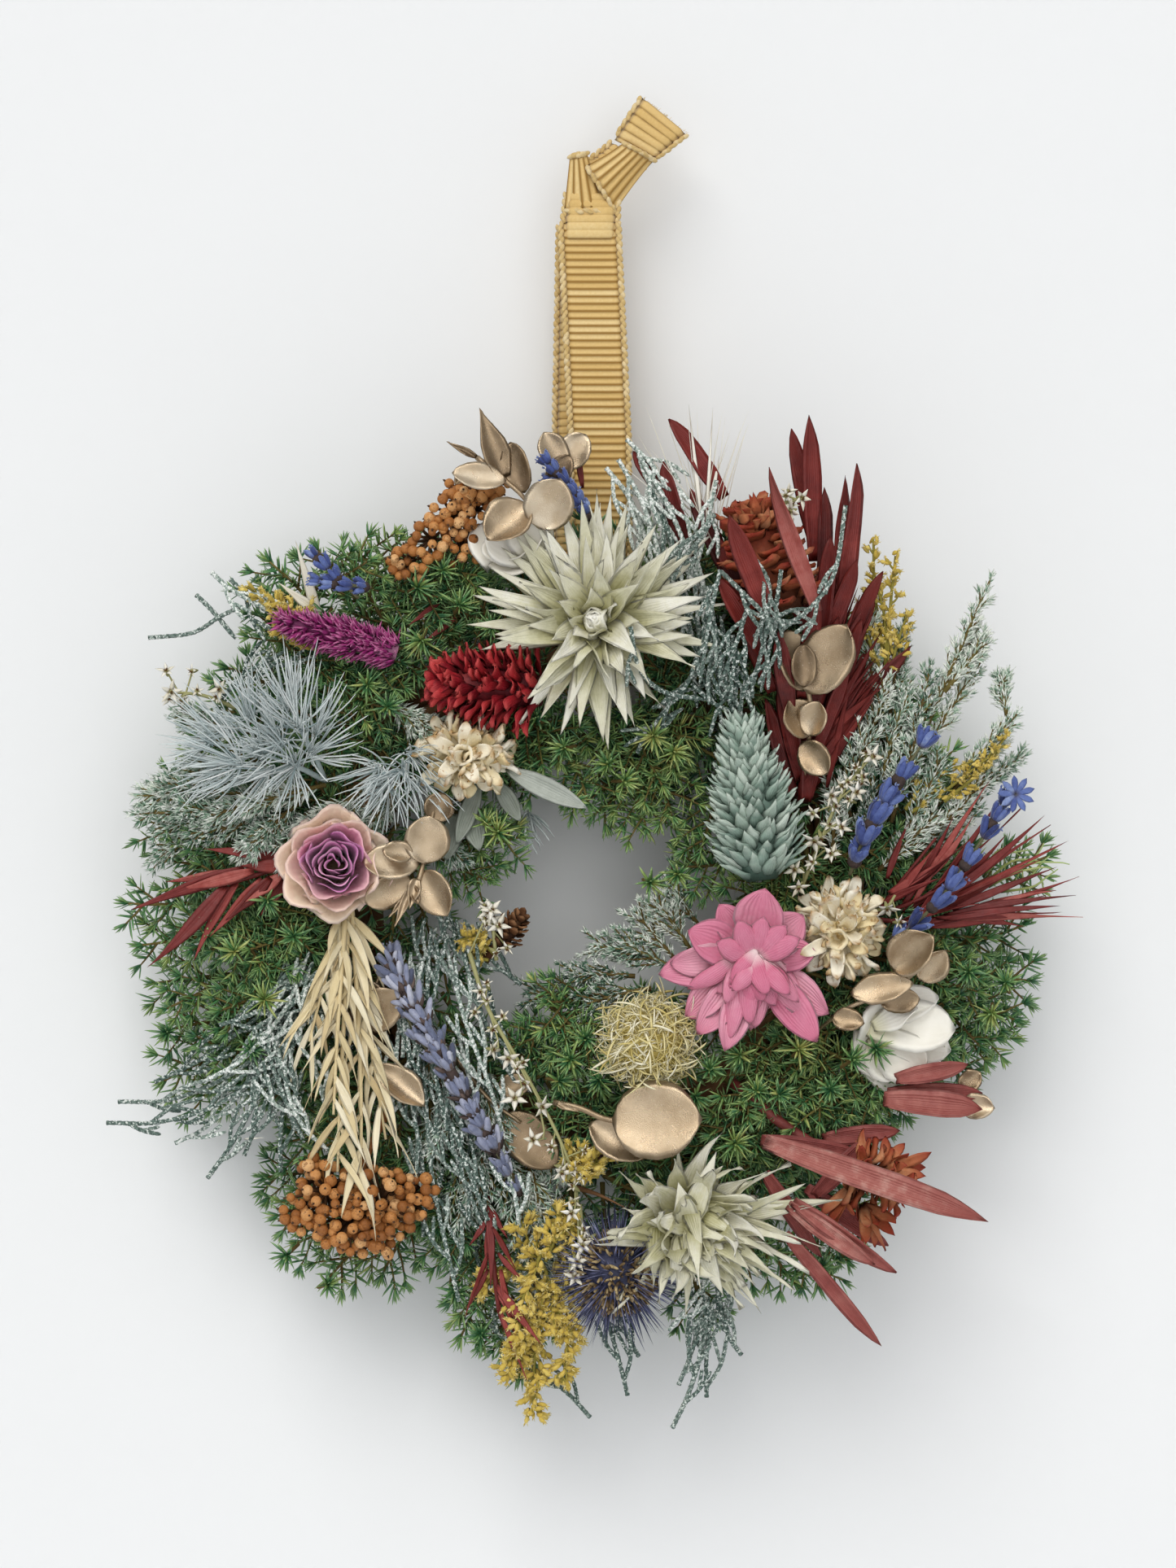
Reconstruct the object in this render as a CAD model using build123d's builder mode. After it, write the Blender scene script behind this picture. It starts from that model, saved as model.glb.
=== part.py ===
from build123d import *
import math
import os

# Dried-flower harvest wreath on a ribbon hanger.
# Millimetres, +Z up, the front faces -Y and the back rests against a door in the
# plane y = BACK_Y.  The origin is the point inside the top of the ribbon loop,
# just under the knot, where the hook bears.

# ---- driving dimensions -------------------------------------------------------
RING_Z = -182.0         # height of the centre of the wreath
RING_R = 65.0           # radius of the cane ring's centre line
CANE_R = 2.95           # radius of one cane
CANE_PITCH = 6.0        # centre distance of the outer canes from the core cane
BUNDLE_R = CANE_PITCH + CANE_R
WIRE_R = 0.35           # binding wire radius
WIRE_LOOP_R = 9.45      # radius of one turn of wire round the canes
CHANNEL_R = 10.0        # radius of the channel the foliage leaves round the canes

FRONT_Y = -16.0         # front plane of the foliage bunches
BACK_Y = 19.0           # back plane of the foliage bunches
INNER_R = 24.0          # radius of the open centre of the wreath
ROUND_R = 9.5           # rounding of the bunches' edges
GAP_DEG = 0.35          # gap between neighbouring bunches
NOTCH_HALF = 14.5       # half width of the gap left for the ribbon
NOTCH_LOW = -133.0      # lowest point of that gap

RIBBON_W = 15.6         # ribbon width
RIBBON_T = 1.0          # ribbon thickness
LOOP_R = 10.4           # inside radius of the ribbon round the canes
HOOK_R = 1.6            # inside radius of the ribbon at the hook
RING_TOP_Z = RING_Z + RING_R

STEM_R = 1.0            # radius of a wired stem
STEM_END_Y = -11.8      # how deep the wired stems go into the foliage
POCKET_R = 1.25         # pocket for a wired stem

FRONT = Plane(origin=(0, 0, 0), x_dir=(1, 0, 0), z_dir=(0, -1, 0))
RING_AXIS = Axis((0, 0, RING_Z), (0, -1, 0))

nodes = []              # (name, part)
feet = []               # (x, z) of every stem that enters the foliage


def keep(name, part):
    """Gives a finished piece its label and puts it on the list to write."""
    part.label = name
    nodes.append((name, part))


# ---- small shapes used inside a part's own block --------------------------------
def front_plane(y):
    return Plane(origin=(0, y, 0), x_dir=(1, 0, 0), z_dir=(0, -1, 0))


def rod(a, b, r, r_end=None):
    """A round stem from a to b."""
    a, b = Vector(*a), Vector(*b)
    with Locations(Plane(origin=a, z_dir=b - a)):
        if r_end is None:
            Cylinder(r, (b - a).length, align=(Align.CENTER, Align.CENTER, Align.MIN))
        else:
            Cone(r, r_end, (b - a).length, align=(Align.CENTER, Align.CENTER, Align.MIN))


def ball(p, r):
    with Locations(p):
        Sphere(r)


def foot(x, z, y):
    """The end of a stem that is wired into the foliage."""
    rod((x, y, z), (x, STEM_END_Y, z), STEM_R)
    feet.append((x, z))


SPINDLE_PROFILE = ((0, 0), (0.1, 0.55), (0.28, 0.9), (0.5, 1.0), (0.72, 0.88), (0.9, 0.52), (1, 0))


def spindle(a, b, r):
    """A closed bud or cone, tapered to both ends, turned about the line from a to b."""
    a, b = Vector(*a), Vector(*b)
    along = b - a
    side = Vector(0, 1, 0) if abs(along.normalized().Y) < 0.9 else Vector(1, 0, 0)
    place = Plane(origin=a, x_dir=along, z_dir=along.cross(side).normalized())
    with BuildSketch(place, mode=Mode.PRIVATE) as profile:
        Polygon(*[(s * along.length, t * r) for s, t in SPINDLE_PROFILE], align=None)
    revolve(profile.sketch, axis=Axis(a, along))


def beaded(a, b, r, beads):
    """A stem from a to b with round florets on it; beads holds (share of the length, radius)."""
    a, b = Vector(*a), Vector(*b)
    along = b - a
    length = along.length
    side = Vector(0, 1, 0) if abs(along.normalized().Y) < 0.9 else Vector(1, 0, 0)
    place = Plane(origin=a, x_dir=along, z_dir=along.cross(side).normalized())
    outline = [(0, 0), (0, r)]
    for s, big in beads:
        m = s * length
        outline += [(m - 0.95 * big, r), (m - 0.45 * big, 0.9 * big), (m, big), (m + 0.45 * big, 0.9 * big)]
        if m + 0.95 * big < length:
            outline += [(m + 0.95 * big, r)]
    if outline[-1][0] < length - 0.05:
        outline += [(length, r)]
        outline += [(length, 0)]
    else:
        outline += [(outline[-1][0] + 0.5 * beads[-1][1], 0)]
    with BuildSketch(place, mode=Mode.PRIVATE) as profile:
        Polygon(*outline, align=None)
    revolve(profile.sketch, axis=Axis(a, along))


def leaf(a, b, width):
    """A pointed leaf outline from a to b, each an (x, z) pair."""
    (ax, az), (bx, bz) = a, b
    length = math.hypot(bx - ax, bz - az)
    ux, uz = (bx - ax) / length, (bz - az) / length
    half = ((0.0, 0.06), (0.12, 0.48), (0.3, 0.86), (0.5, 1.0), (0.7, 0.82), (0.88, 0.42), (1.0, 0.05))
    left = [(ax + ux * s * length - uz * t * width / 2, az + uz * s * length + ux * t * width / 2) for s, t in half]
    right = [(ax + ux * s * length + uz * t * width / 2, az + uz * s * length - ux * t * width / 2) for s, t in half]
    Polygon(*(left + right[::-1]), align=None)


def strip(a, b, w_a, w_b):
    """A tapered stem outline from a to b, each an (x, z) pair."""
    (ax, az), (bx, bz) = a, b
    length = math.hypot(bx - ax, bz - az)
    ux, uz = (bx - ax) / length, (bz - az) / length
    Polygon(
        (ax - uz * w_a / 2, az + ux * w_a / 2),
        (ax + uz * w_a / 2, az - ux * w_a / 2),
        (bx + uz * w_b / 2, bz - ux * w_b / 2),
        (bx - uz * w_b / 2, bz + ux * w_b / 2),
        align=None,
    )


def disc(c, r):
    """A round leaf outline centred on c, an (x, z) pair."""
    with Locations(c):
        Circle(r)


def star(c, r_out, r_in, points, y, thick, turn=0.0):
    """A plate of pointed petals centred on c, an (x, z) pair."""
    corners = []
    for k in range(2 * points):
        a = math.radians(turn + 180.0 * k / points)
        r = r_out if k % 2 == 0 else r_in
        corners.append((c[0] + r * math.cos(a), c[1] + r * math.sin(a)))
    with BuildSketch(front_plane(y), mode=Mode.PRIVATE) as plate:
        Polygon(*corners, align=None)
    extrude(plate.sketch, amount=thick)


def calyx(c, y_back, y_front, r_back, r_front):
    """The cup that carries a flower's petals, along -Y."""
    with Locations(Plane(origin=(c[0], y_back, c[1]), z_dir=(0, -1, 0))):
        Cone(r_back, r_front, y_back - y_front, align=(Align.CENTER, Align.CENTER, Align.MIN))


# ================================================================================
# Base: cane ring, binding wire, ribbon
# ================================================================================
with BuildPart() as vine_ring:
    # one core cane and six round it, each a closed hoop
    with Locations((0, 0, RING_Z)):
        Torus(RING_R, CANE_R, rotation=(90, 0, 0))
    for k in range(6):
        a = math.radians(60 * k)
        with Locations((0, CANE_PITCH * math.sin(a), RING_Z)):
            Torus(RING_R + CANE_PITCH * math.cos(a), CANE_R, rotation=(90, 0, 0))
keep("vine_ring", vine_ring.part)

WIRE_ANGLES = [112, 128, 146, 163, 180, 198, 214, 231, 248, 262, 279, 296, 312, 330, 347, 4, 22, 38, 53, 68]
with BuildPart() as binding_wire:
    for deg in WIRE_ANGLES:
        a = math.radians(deg)
        c = (RING_R * math.cos(a), 0, RING_Z + RING_R * math.sin(a))
        along = (-math.sin(a), 0, math.cos(a))
        with Locations(Plane(origin=c, z_dir=along)):
            Torus(WIRE_LOOP_R, WIRE_R)
keep("binding_wire", binding_wire.part)


def loop_outline(r_low, r_top, z_top):
    """The shape between a circle round the canes and a small one at the hook."""
    d = z_top - RING_TOP_Z
    phi = math.acos((r_low - r_top) / d)
    s, c = math.sin(phi), math.cos(phi)
    with BuildSketch(Plane.YZ, mode=Mode.PRIVATE) as outline:
        with Locations((0, RING_TOP_Z)):
            Circle(r_low)
        with Locations((0, z_top)):
            Circle(r_top)
        Polygon(
            (r_low * s, RING_TOP_Z + r_low * c),
            (r_top * s, z_top + r_top * c),
            (-r_top * s, z_top + r_top * c),
            (-r_low * s, RING_TOP_Z + r_low * c),
            align=None,
        )
    return outline.sketch


ribbon_outer = loop_outline(LOOP_R + RIBBON_T, HOOK_R + RIBBON_T, -HOOK_R)
ribbon_inner = loop_outline(LOOP_R, HOOK_R, -HOOK_R)
with BuildPart() as hanging_ribbon:
    extrude(ribbon_outer, amount=RIBBON_W / 2, both=True)
    extrude(ribbon_inner, amount=RIBBON_W, both=True, mode=Mode.SUBTRACT)
    # the overhand knot and the folded band across it
    with BuildSketch(front_plane(3.4)):
        Polygon((-7.4, 0.2), (-5.8, 16.2), (-1.3, 17.3), (8.1, 20.1), (16.6, 15.8), (6.6, 2.6), (4.6, 0.2), align=None)
    extrude(amount=6.8)
    # the short cut tail
    with BuildSketch(front_plane(0.9)):
        Polygon((5.6, 21.0), (13.9, 32.4), (25.4, 22.4), (16.4, 15.6), (8.0, 12.0), align=None)
    extrude(amount=1.8)
keep("hanging_ribbon", hanging_ribbon.part)

# ================================================================================
# Flowers, cones, leaves and sprays, from the top of the wreath clockwise
# ================================================================================
with BuildPart() as star_bloom_top:
    c = (2.1, -109.4)
    calyx(c, -19.2, -30, 3.0, 9.0)
    star(c, 28.0, 17.0, 14, -30, 3.5, 10)
    ball((c[0], -33.5, c[1]), 7.5)
    rod((c[0], -20.4, c[1]), (-16.5, -20.4, -117.5), 1.1)
    f = (-16.5, -117.4)
    foot(f[0], f[1], -20.4)

with BuildPart() as white_rose_top:
    c = (-18.7, -87.6)
    calyx(c, -17.2, -27, 4.0, 8.6)
    foot(c[0], c[1], -18)
keep("white_rose_top", white_rose_top.part)

with BuildPart() as eucalyptus_top_left:
    with BuildSketch(front_plane(-36.6)):
        leaf((-23.4, -73.3), (-29.2, -55.0), 6.5)
        leaf((-22.3, -74.1), (-35.6, -72.4), 6.0)
        leaf((-16.8, -76.1), (-20.6, -63.2), 6.0)
        leaf((-18.5, -78.9), (-27.1, -88.3), 8.0)
        disc((-10.7, -79.1), 6.8)
        disc((-7.7, -64.9), 5.8)
        strip((-27.1, -97.7), (-21.0, -75.0), 1.8, 1.6)
        strip((-25.8, -71.4), (-37.6, -62.8), 1.6, 1.2)
        strip((-26.0, -70.7), (-18.5, -77.1), 1.6, 1.6)
        strip((-22.3, -75.9), (-11.2, -76.3), 1.6, 1.4)
        strip((-12.5, -76.3), (-7.7, -66.4), 1.5, 1.2)
        leaf((-23.2, -77.6), (-16.3, -78.4), 4.0)
    extrude(amount=0.9)
    f = (-27.1, -96.5)
    foot(f[0], f[1], -37.0)
keep("eucalyptus_top_left", eucalyptus_top_left.part)

with BuildPart() as lavender_top:
    beaded((-1.3, -28.0, -80.1), (-11.7, -28.0, -65.0), 0.7, ((0.3, 2.4), (0.62, 2.8), (0.92, 2.6)))
    beaded((-15.4, -22.0, -102.4), (-1.3, -28.0, -80.1), 0.75, ((0.985, 1.0),))
    f = (-15.0, -101.7)
    foot(f[0], f[1], -22.2)
keep("lavender_top", lavender_top.part)

with BuildPart() as thread_cypress_upper_right:
    with BuildSketch(front_plane(-16.6)):
        for t in ((14.3, -71.4), (24.8, -74.0), (44.8, -87.0), (66.1, -93.5)):
            strip((34.6, -115.3), t, 2.2, 1.4)
        disc((34.6, -115.3), 2.0)
    extrude(amount=1.8)
    f = (34.6, -115.3)
    foot(f[0], f[1], -17.5)
keep("thread_cypress_upper_right", thread_cypress_upper_right.part)

with BuildPart() as leucadendron_leaves_upper:
    with BuildSketch(front_plane(-20.4)):
        for t, w in (
            ((34.3, -87.2), 5.6), ((44.2, -100.6), 6.0), ((58.3, -56.8), 6.4), ((70.7, -68.7), 6.2),
            ((76.8, -96.3), 5.0), ((84.8, -115.4), 4.6), ((56.2, -157.7), 4.6),
        ):
            leaf((50.3, -130.5), t, w)
        leaf((47.3, -118.8), (21.2, -56.8), 6.6)
        leaf((45.5, -120.1), (19.7, -68.1), 6.4)
        disc((50.3, -129.7), 4.2)
    extrude(amount=1.2)
    f = (50.3, -130.5)
    foot(f[0], f[1], -21.2)
keep("leucadendron_leaves_upper", leucadendron_leaves_upper.part)

with BuildPart() as leucadendron_cone_upper:
    spindle((46.4, -33.6, -113.1), (42.6, -33.6, -73.5), 11.2)
    f = (46.1, -91.9)
    foot(f[0], f[1], -30)

with BuildPart() as eucalyptus_right:
    with BuildSketch(front_plane(-27.4)):
        disc((63.2, -119.0), 6.8)
        leaf((57.2, -127.6), (53.1, -114.2), 8.6)
        disc((57.0, -136.3), 5.6)
        disc((60.0, -147.1), 5.0)
        strip((59.4, -147.1), (57.4, -124.2), 1.8, 1.6)
        strip((57.4, -126.8), (62.2, -119.4), 1.6, 1.4)
    extrude(amount=0.9)
    f = (61.3, -145.8)
    foot(f[0], f[1], -27.9)
keep("eucalyptus_right", eucalyptus_right.part)

with BuildPart() as goldenrod_upper_right:
    beads = ((0.42, 1.8), (0.58, 2.0), (0.74, 2.0), (0.9, 1.8))
    beaded((73.6, -24.5, -133.2), (75.3, -24.5, -89.1), 0.8, beads)
    beaded((80.9, -24.5, -131.9), (83.5, -24.5, -93.8), 0.8, beads)
    rod((72.3, -24.5, -133.2), (82.2, -24.5, -131.5), 0.9)
    beaded((80.5, -24.5, -161.5), (111.2, -24.5, -139.3), 0.8, beads)
    f = (74.5, -132.8)
    foot(f[0], f[1], -24.8)
    f = (81.4, -160.9)
    foot(f[0], f[1], -24.8)
keep("goldenrod_upper_right", goldenrod_upper_right.part)

with BuildPart() as frosted_sprig_right:
    with BuildSketch(front_plane(-17.4)):
        for t in ((106.0, -98.3), (110.0, -123.6), (93.4, -109.2), (107.8, -113.1)):
            strip((79.1, -150.1), t, 2.4, 1.6)
        disc((79.5, -149.6), 2.6)
    extrude(amount=1.9)
    f = (79.1, -150.1)
    foot(f[0], f[1], -18.2)
keep("frosted_sprig_right", frosted_sprig_right.part)

with BuildPart() as sage_cone:
    spindle((43.5, -31.2, -180.3), (39.6, -31.2, -130.7), 12.8)
    f = (43.0, -169.5)
    foot(f[0], f[1], -26)
keep("sage_cone", sage_cone.part)

with BuildPart() as lavender_right_inner:
    beaded((71.4, -28.5, -173.8), (89.3, -28.5, -141.0), 0.8, ((0.2, 2.8), (0.38, 3.0), (0.56, 3.4), (0.75, 3.4), (0.92, 3.0)))
    f = (71.9, -173.0)
    foot(f[0], f[1], -28.8)
keep("lavender_right_inner", lavender_right_inner.part)

with BuildPart() as starflowers_right:
    base = (65.5, -20.0, -179.2)
    with BuildSketch(front_plane(-19.4)):
        for t in ((74.7, -145.7), (64.2, -156.1), (70.3, -155.3), (59.9, -168.1), (66.8, -165.3), (56.9, -176.1), (77.7, -184.4)):
            strip((base[0], base[2]), t, 1.4, 1.1)
            disc(t, 2.2)
        disc((base[0], base[2]), 1.8)
    extrude(amount=1.4)
    foot(base[0], base[2], -20.0)
keep("starflowers_right", starflowers_right.part)

with BuildPart() as ruscus_right:
    with BuildSketch(front_plane(-17.6)):
        for t in ((130.2, -180.9), (129.5, -187.0), (122.1, -163.5), (121.3, -169.6), (106.1, -154.8)):
            leaf((83.9, -189.6), t, 2.8)
        disc((84.3, -189.4), 2.0)
    extrude(amount=0.9)
    f = (83.9, -189.6)
    foot(f[0], f[1], -18.0)
keep("ruscus_right", ruscus_right.part)

with BuildPart() as lavender_right_outer:
    beaded((79.9, -26.5, -193.3), (112.4, -26.5, -156.6), 0.8, ((0.22, 2.6), (0.4, 3.0), (0.56, 3.0), (0.72, 3.2), (0.92, 2.8)))
    f = (80.4, -192.9)
    foot(f[0], f[1], -26.8)
keep("lavender_right_outer", lavender_right_outer.part)

with BuildPart() as pod_cluster_lower:
    c = (66.4, -191.6)
    calyx(c, -17.2, -26, 4.0, 10.6)
    star(c, 11.6, 8.6, 8, -26, 3.0)
    foot(c[0], c[1], -18)
keep("pod_cluster_lower", pod_cluster_lower.part)

with BuildPart() as strawflower_pink:
    c = (44.7, -200.2)
    calyx(c, -17.2, -31.4, 3.0, 8.0)
    star(c, 18.6, 12.0, 11, -31.4, 3.2, 6)
    ball((c[0], -35.0, c[1]), 7.6)
    foot(c[0], c[1], -18)
keep("strawflower_pink", strawflower_pink.part)

with BuildPart() as eucalyptus_lower_right:
    with BuildSketch(front_plane(-32.6)):
        disc((86.5, -198.3), 6.8)
        leaf((70.6, -208.2), (85.2, -205.6), 7.0)
        leaf((74.9, -209.0), (65.4, -217.7), 5.0)
        strip((73.1, -208.6), (83.0, -200.0), 1.6, 1.4)
        disc((74.4, -206.9), 2.2)
    extrude(amount=0.9)
    f = (74.4, -206.9)
    foot(f[0], f[1], -33.0)
keep("eucalyptus_lower_right", eucalyptus_lower_right.part)

with BuildPart() as white_rose_right:
    c = (82.8, -220.3)
    calyx(c, -17.2, -26, 4.0, 9.8)
    calyx(c, -26, -28.6, 9.8, 8.4)
    foot(c[0], c[1], -18)
keep("white_rose_right", white_rose_right.part)

with BuildPart() as leucadendron_leaves_lower:
    with BuildSketch(front_plane(-19.8)):
        leaf((46.2, -248.2), (104.8, -268.8), 6.6)
        leaf((47.7, -254.3), (81.2, -282.7), 6.0)
        leaf((47.7, -254.3), (76.8, -301.1), 4.2)
        disc((48.6, -252.1), 4.0)
        leaf((74.2, -233.0), (100.3, -228.4), 6.0)
        leaf((74.2, -232.6), (104.0, -239.9), 6.4)
        disc((76.4, -233.0), 3.0)
    extrude(amount=1.2)
    f = (48.6, -252.5)
    foot(f[0], f[1], -20.4)
    f = (76.4, -233.0)
    foot(f[0], f[1], -20.4)
keep("leucadendron_leaves_lower", leucadendron_leaves_lower.part)

with BuildPart() as leucadendron_cone_lower:
    spindle((65.5, -31.4, -253.1), (86.1, -31.4, -264.3), 9.0)
    f = (61.3, -245.4)
    foot(f[0], f[1], -30.0)
    rod((f[0], -29.4, f[1]), (71.1, -30.6, -256.6), 1.1)
keep("leucadendron_cone_lower", leucadendron_cone_lower.part)

with BuildPart() as star_bloom_bottom:
    c = (26.4, -267.3)
    calyx(c, -17.4, -31, 3.0, 8.6)
    star(c, 25.5, 15.0, 14, -31, 3.5, 4)
    ball((c[0], -34.5, c[1]), 7.5)
    foot(c[0], c[1], -18)
keep("star_bloom_bottom", star_bloom_bottom.part)

with BuildPart() as curly_seed_ball:
    c = (15.3, -221.8)
    spindle((c[0], -17.2, c[1]), (c[0], -45.4, c[1]), 13.4)
    foot(c[0], c[1], -26)
keep("curly_seed_ball", curly_seed_ball.part)

with BuildPart() as eucalyptus_bottom:
    with BuildSketch(front_plane(-37.0)):
        disc((17.6, -244.5), 9.8)
        leaf((-2.2, -240.2), (10.7, -249.2), 8.6)
        strip((-8.2, -238.5), (13.7, -243.7), 1.8, 1.6)
    extrude(amount=0.9)
    f = (-6.5, -238.9)
    foot(f[0], f[1], -37.4)
keep("eucalyptus_bottom", eucalyptus_bottom.part)

with BuildPart() as thistle_blue:
    c = (6.7, -284.3)
    spindle((c[0], -16.8, c[1]), (c[0], -30.2, c[1]), 14.6)
    f = (6.7, -278.1)
    foot(f[0], f[1], -22)
keep("thistle_blue", thistle_blue.part)

with BuildPart() as thread_cypress_bottom:
    with BuildSketch(front_plane(-16.8)):
        for t in ((22.2, -324.4), (30.9, -316.6), (39.6, -305.3), (13.5, -302.7)):
            strip((29.6, -288.8), t, 2.2, 1.5)
        disc((29.6, -288.8), 2.0)
        strip((13.9, -301.8), (10.0, -316.2), 2.2, 1.5)
        strip((14.3, -302.3), (0.2, -321.8), 2.2, 1.5)
        disc((13.9, -302.3), 1.6)
    extrude(amount=1.8)
    f = (29.6, -288.8)
    foot(f[0], f[1], -17.6)
keep("thread_cypress_bottom", thread_cypress_bottom.part)

with BuildPart() as goldenrod_bottom:
    beaded((-13.4, -24.4, -265.6), (-13.9, -24.4, -319.8), 1.0, ((0.1, 3.0), (0.25, 3.3), (0.4, 3.5), (0.55, 3.5), (0.7, 3.3), (0.84, 2.8), (0.95, 2.2)))
    f = (-13.4, -266.5)
    foot(f[0], f[1], -24.8)
keep("goldenrod_bottom", goldenrod_bottom.part)

with BuildPart() as ruscus_bottom:
    with BuildSketch(front_plane(-18.2)):
        for t in ((-34.8, -295.2), (-17.8, -312.2), (-13.3, -302.2)):
            leaf((-25.6, -269.6), t, 2.8)
        disc((-25.6, -270.0), 2.0)
    extrude(amount=0.9)
    f = (-25.6, -269.8)
    foot(f[0], f[1], -18.6)
keep("ruscus_bottom", ruscus_bottom.part)

with BuildPart() as starflowers_left:
    pts = [(-32.2, -198.0), (-19.7, -225.4), (-8.0, -248.3), (-3.3, -265.8)]
    with BuildSketch(front_plane(-27.4)):
        for p, q in zip(pts, pts[1:]):
            strip(p, q, 1.5, 1.5)
            disc(q, 0.9)
        for t in ((-21.2, -226.1), (-18.1, -233.4), (-13.8, -240.3), (-10.4, -247.7), (-3.9, -265.8)):
            disc(t, 2.4)
        disc(pts[0], 1.6)
    extrude(amount=1.4)
    foot(pts[0][0], pts[0][1], -28.0)
keep("starflowers_left", starflowers_left.part)

with BuildPart() as eucalyptus_centre:
    with BuildSketch(front_plane(-21.6)):
        leaf((-57.2, -219.4), (-54.6, -204.3), 9.0)
        leaf((-57.2, -225.9), (-47.3, -240.3), 8.0)
        strip((-56.4, -214.2), (-55.5, -229.8), 1.6, 1.6)
        leaf((-18.7, -236.8), (-13.5, -256.3), 14.0)
    extrude(amount=0.9)
    f = (-56.2, -221.6)
    foot(f[0], f[1], -22)
    f = (-15.6, -246.5)
    foot(f[0], f[1], -22)
keep("eucalyptus_centre", eucalyptus_centre.part)

with BuildPart() as lavender_long:
    beaded((-52.1, -27.2, -205.4), (-21.4, -27.2, -256.8), 0.8, ((0.1, 2.8), (0.25, 3.0), (0.4, 3.2), (0.55, 3.2), (0.7, 3.2), (0.83, 3.0), (0.95, 2.6)))
    f = (-51.9, -206.0)
    foot(f[0], f[1], -27.5)
keep("lavender_long", lavender_long.part)

with BuildPart() as thread_cypress_left:
    with BuildSketch(front_plane(-16.9)):
        for t in ((-128.9, -243.3), (-125.9, -238.1), (-110.7, -248.8), (-102.2, -257.9), (-75.2, -247.9)):
            strip((-74.4, -200.1), t, 2.4, 1.5)
        disc((-74.8, -200.5), 2.2)
    extrude(amount=1.8)
    f = (-74.4, -200.1)
    foot(f[0], f[1], -17.8)
    with BuildSketch(front_plane(-19.1)):
        for t in ((-40.8, -247.7), (-35.6, -284.7), (-27.4, -256.4)):
            strip((-42.1, -193.5), t, 2.2, 1.5)
        disc((-42.1, -193.5), 2.0)
    extrude(amount=1.8)
    f = (-42.1, -193.5)
    foot(f[0], f[1], -20.0)
keep("thread_cypress_left", thread_cypress_left.part)

with BuildPart() as berries_bottom:
    spindle((-82.0, -29.6, -266.1), (-42.3, -29.6, -266.1), 12.0)
    for p in ((-72.4, -32.0, -260.3), (-62.4, -34.0, -263.2), (-51.3, -32.0, -261.6), (-70.2, -32.0, -271.1), (-55.1, -32.0, -271.5)):
        ball(p, 6.4)
    f = (-61.9, -263.9)
    foot(f[0], f[1], -24)
keep("berries_bottom", berries_bottom.part)

with BuildPart() as cream_leaf_spray:
    a, b = (-68.0, -193.8), (-67.1, -251.9)
    with BuildSketch(front_plane(-22.8)):
        strip(a, b, 2.0, 1.6)
        for s, t, w in (
            (0.0, (-79.9, -212.0), 3.4), (0.05, (-55.5, -214.2), 3.4), (0.2, (-78.0, -226.3), 3.4),
            (0.2, (-49.0, -227.2), 3.4), (0.35, (-80.6, -231.3), 3.2), (0.4, (-50.7, -247.6), 3.4),
            (0.55, (-56.8, -251.9), 3.2), (0.5, (-72.4, -247.6), 3.2), (0.7, (-62.0, -253.2), 3.0),
        ):
            leaf((a[0] + (b[0] - a[0]) * s, a[1] + (b[1] - a[1]) * s), t, w)
        disc(a, 1.8)
    extrude(amount=1.2)
    foot(a[0], a[1], -23.4)
keep("cream_leaf_spray", cream_leaf_spray.part)

with BuildPart() as ruscus_left:
    with BuildSketch(front_plane(-20.0)):
        for t in ((-122.2, -184.4), (-115.5, -203.0), (-105.5, -173.9)):
            leaf((-87.7, -175.2), t, 3.4)
        disc((-87.9, -175.5), 2.0)
    extrude(amount=0.9)
    f = (-87.7, -175.2)
    foot(f[0], f[1], -20.4)
keep("ruscus_left", ruscus_left.part)

with BuildPart() as rose_head:
    c = (-68.0, -175.8)
    spindle((c[0], -16.8, c[1]), (c[0], -42.0, c[1]), 15.0)
    foot(c[0], c[1], -20)
keep("rose_head", rose_head.part)

with BuildPart() as eucalyptus_left:
    with BuildSketch(front_plane(-27.6)):
        disc((-43.2, -167.6), 6.2)
        disc((-47.3, -178.2), 4.4)
        leaf((-42.3, -174.3), (-39.7, -187.7), 8.0)
        strip((-42.8, -168.7), (-41.7, -179.0), 1.8, 1.6)
        strip((-42.1, -172.1), (-48.4, -189.4), 1.6, 1.4)
    extrude(amount=0.9)
    f = (-42.3, -173.8)
    foot(f[0], f[1], -28.0)
keep("eucalyptus_left", eucalyptus_left.part)

with BuildPart() as pod_cluster_upper:
    c = (-33.4, -145.7)
    calyx(c, -17.2, -28, 4.0, 10.8)
    star(c, 11.6, 8.6, 8, -28, 3.0, 12)
    foot(c[0], c[1], -18)
keep("pod_cluster_upper", pod_cluster_upper.part)

with BuildPart() as fern_tufts:
    for p, r, d in (((-81.0, -136.7), 13.0, 15), ((-97.4, -145.3), 12.0, 12), ((-54.1, -151.4), 9.2, 12), ((-19.5, -167.7), 4.4, 9)):
        spindle((p[0], -16.8, p[1]), (p[0], -17 - d, p[1]), r)
    for f in ((-81.2, -136.6), (-54.3, -151.4), (-24.1, -167.7)):
        foot(f[0], f[1], -19)
    rod((-24.1, -18.4, -167.7), (-18.7, -18.4, -167.7), 0.9)
keep("fern_tufts", fern_tufts.part)

with BuildPart() as frosted_sprig_left:
    with BuildSketch(front_plane(-16.8)):
        for t in ((-120.5, -159.6), (-119.2, -167.5), (-94.8, -172.2)):
            strip((-81.3, -164.0), t, 2.4, 1.6)
        disc((-81.5, -164.0), 2.2)
    extrude(amount=1.8)
    f = (-81.3, -164.0)
    foot(f[0], f[1], -17.6)
keep("frosted_sprig_left", frosted_sprig_left.part)

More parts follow.
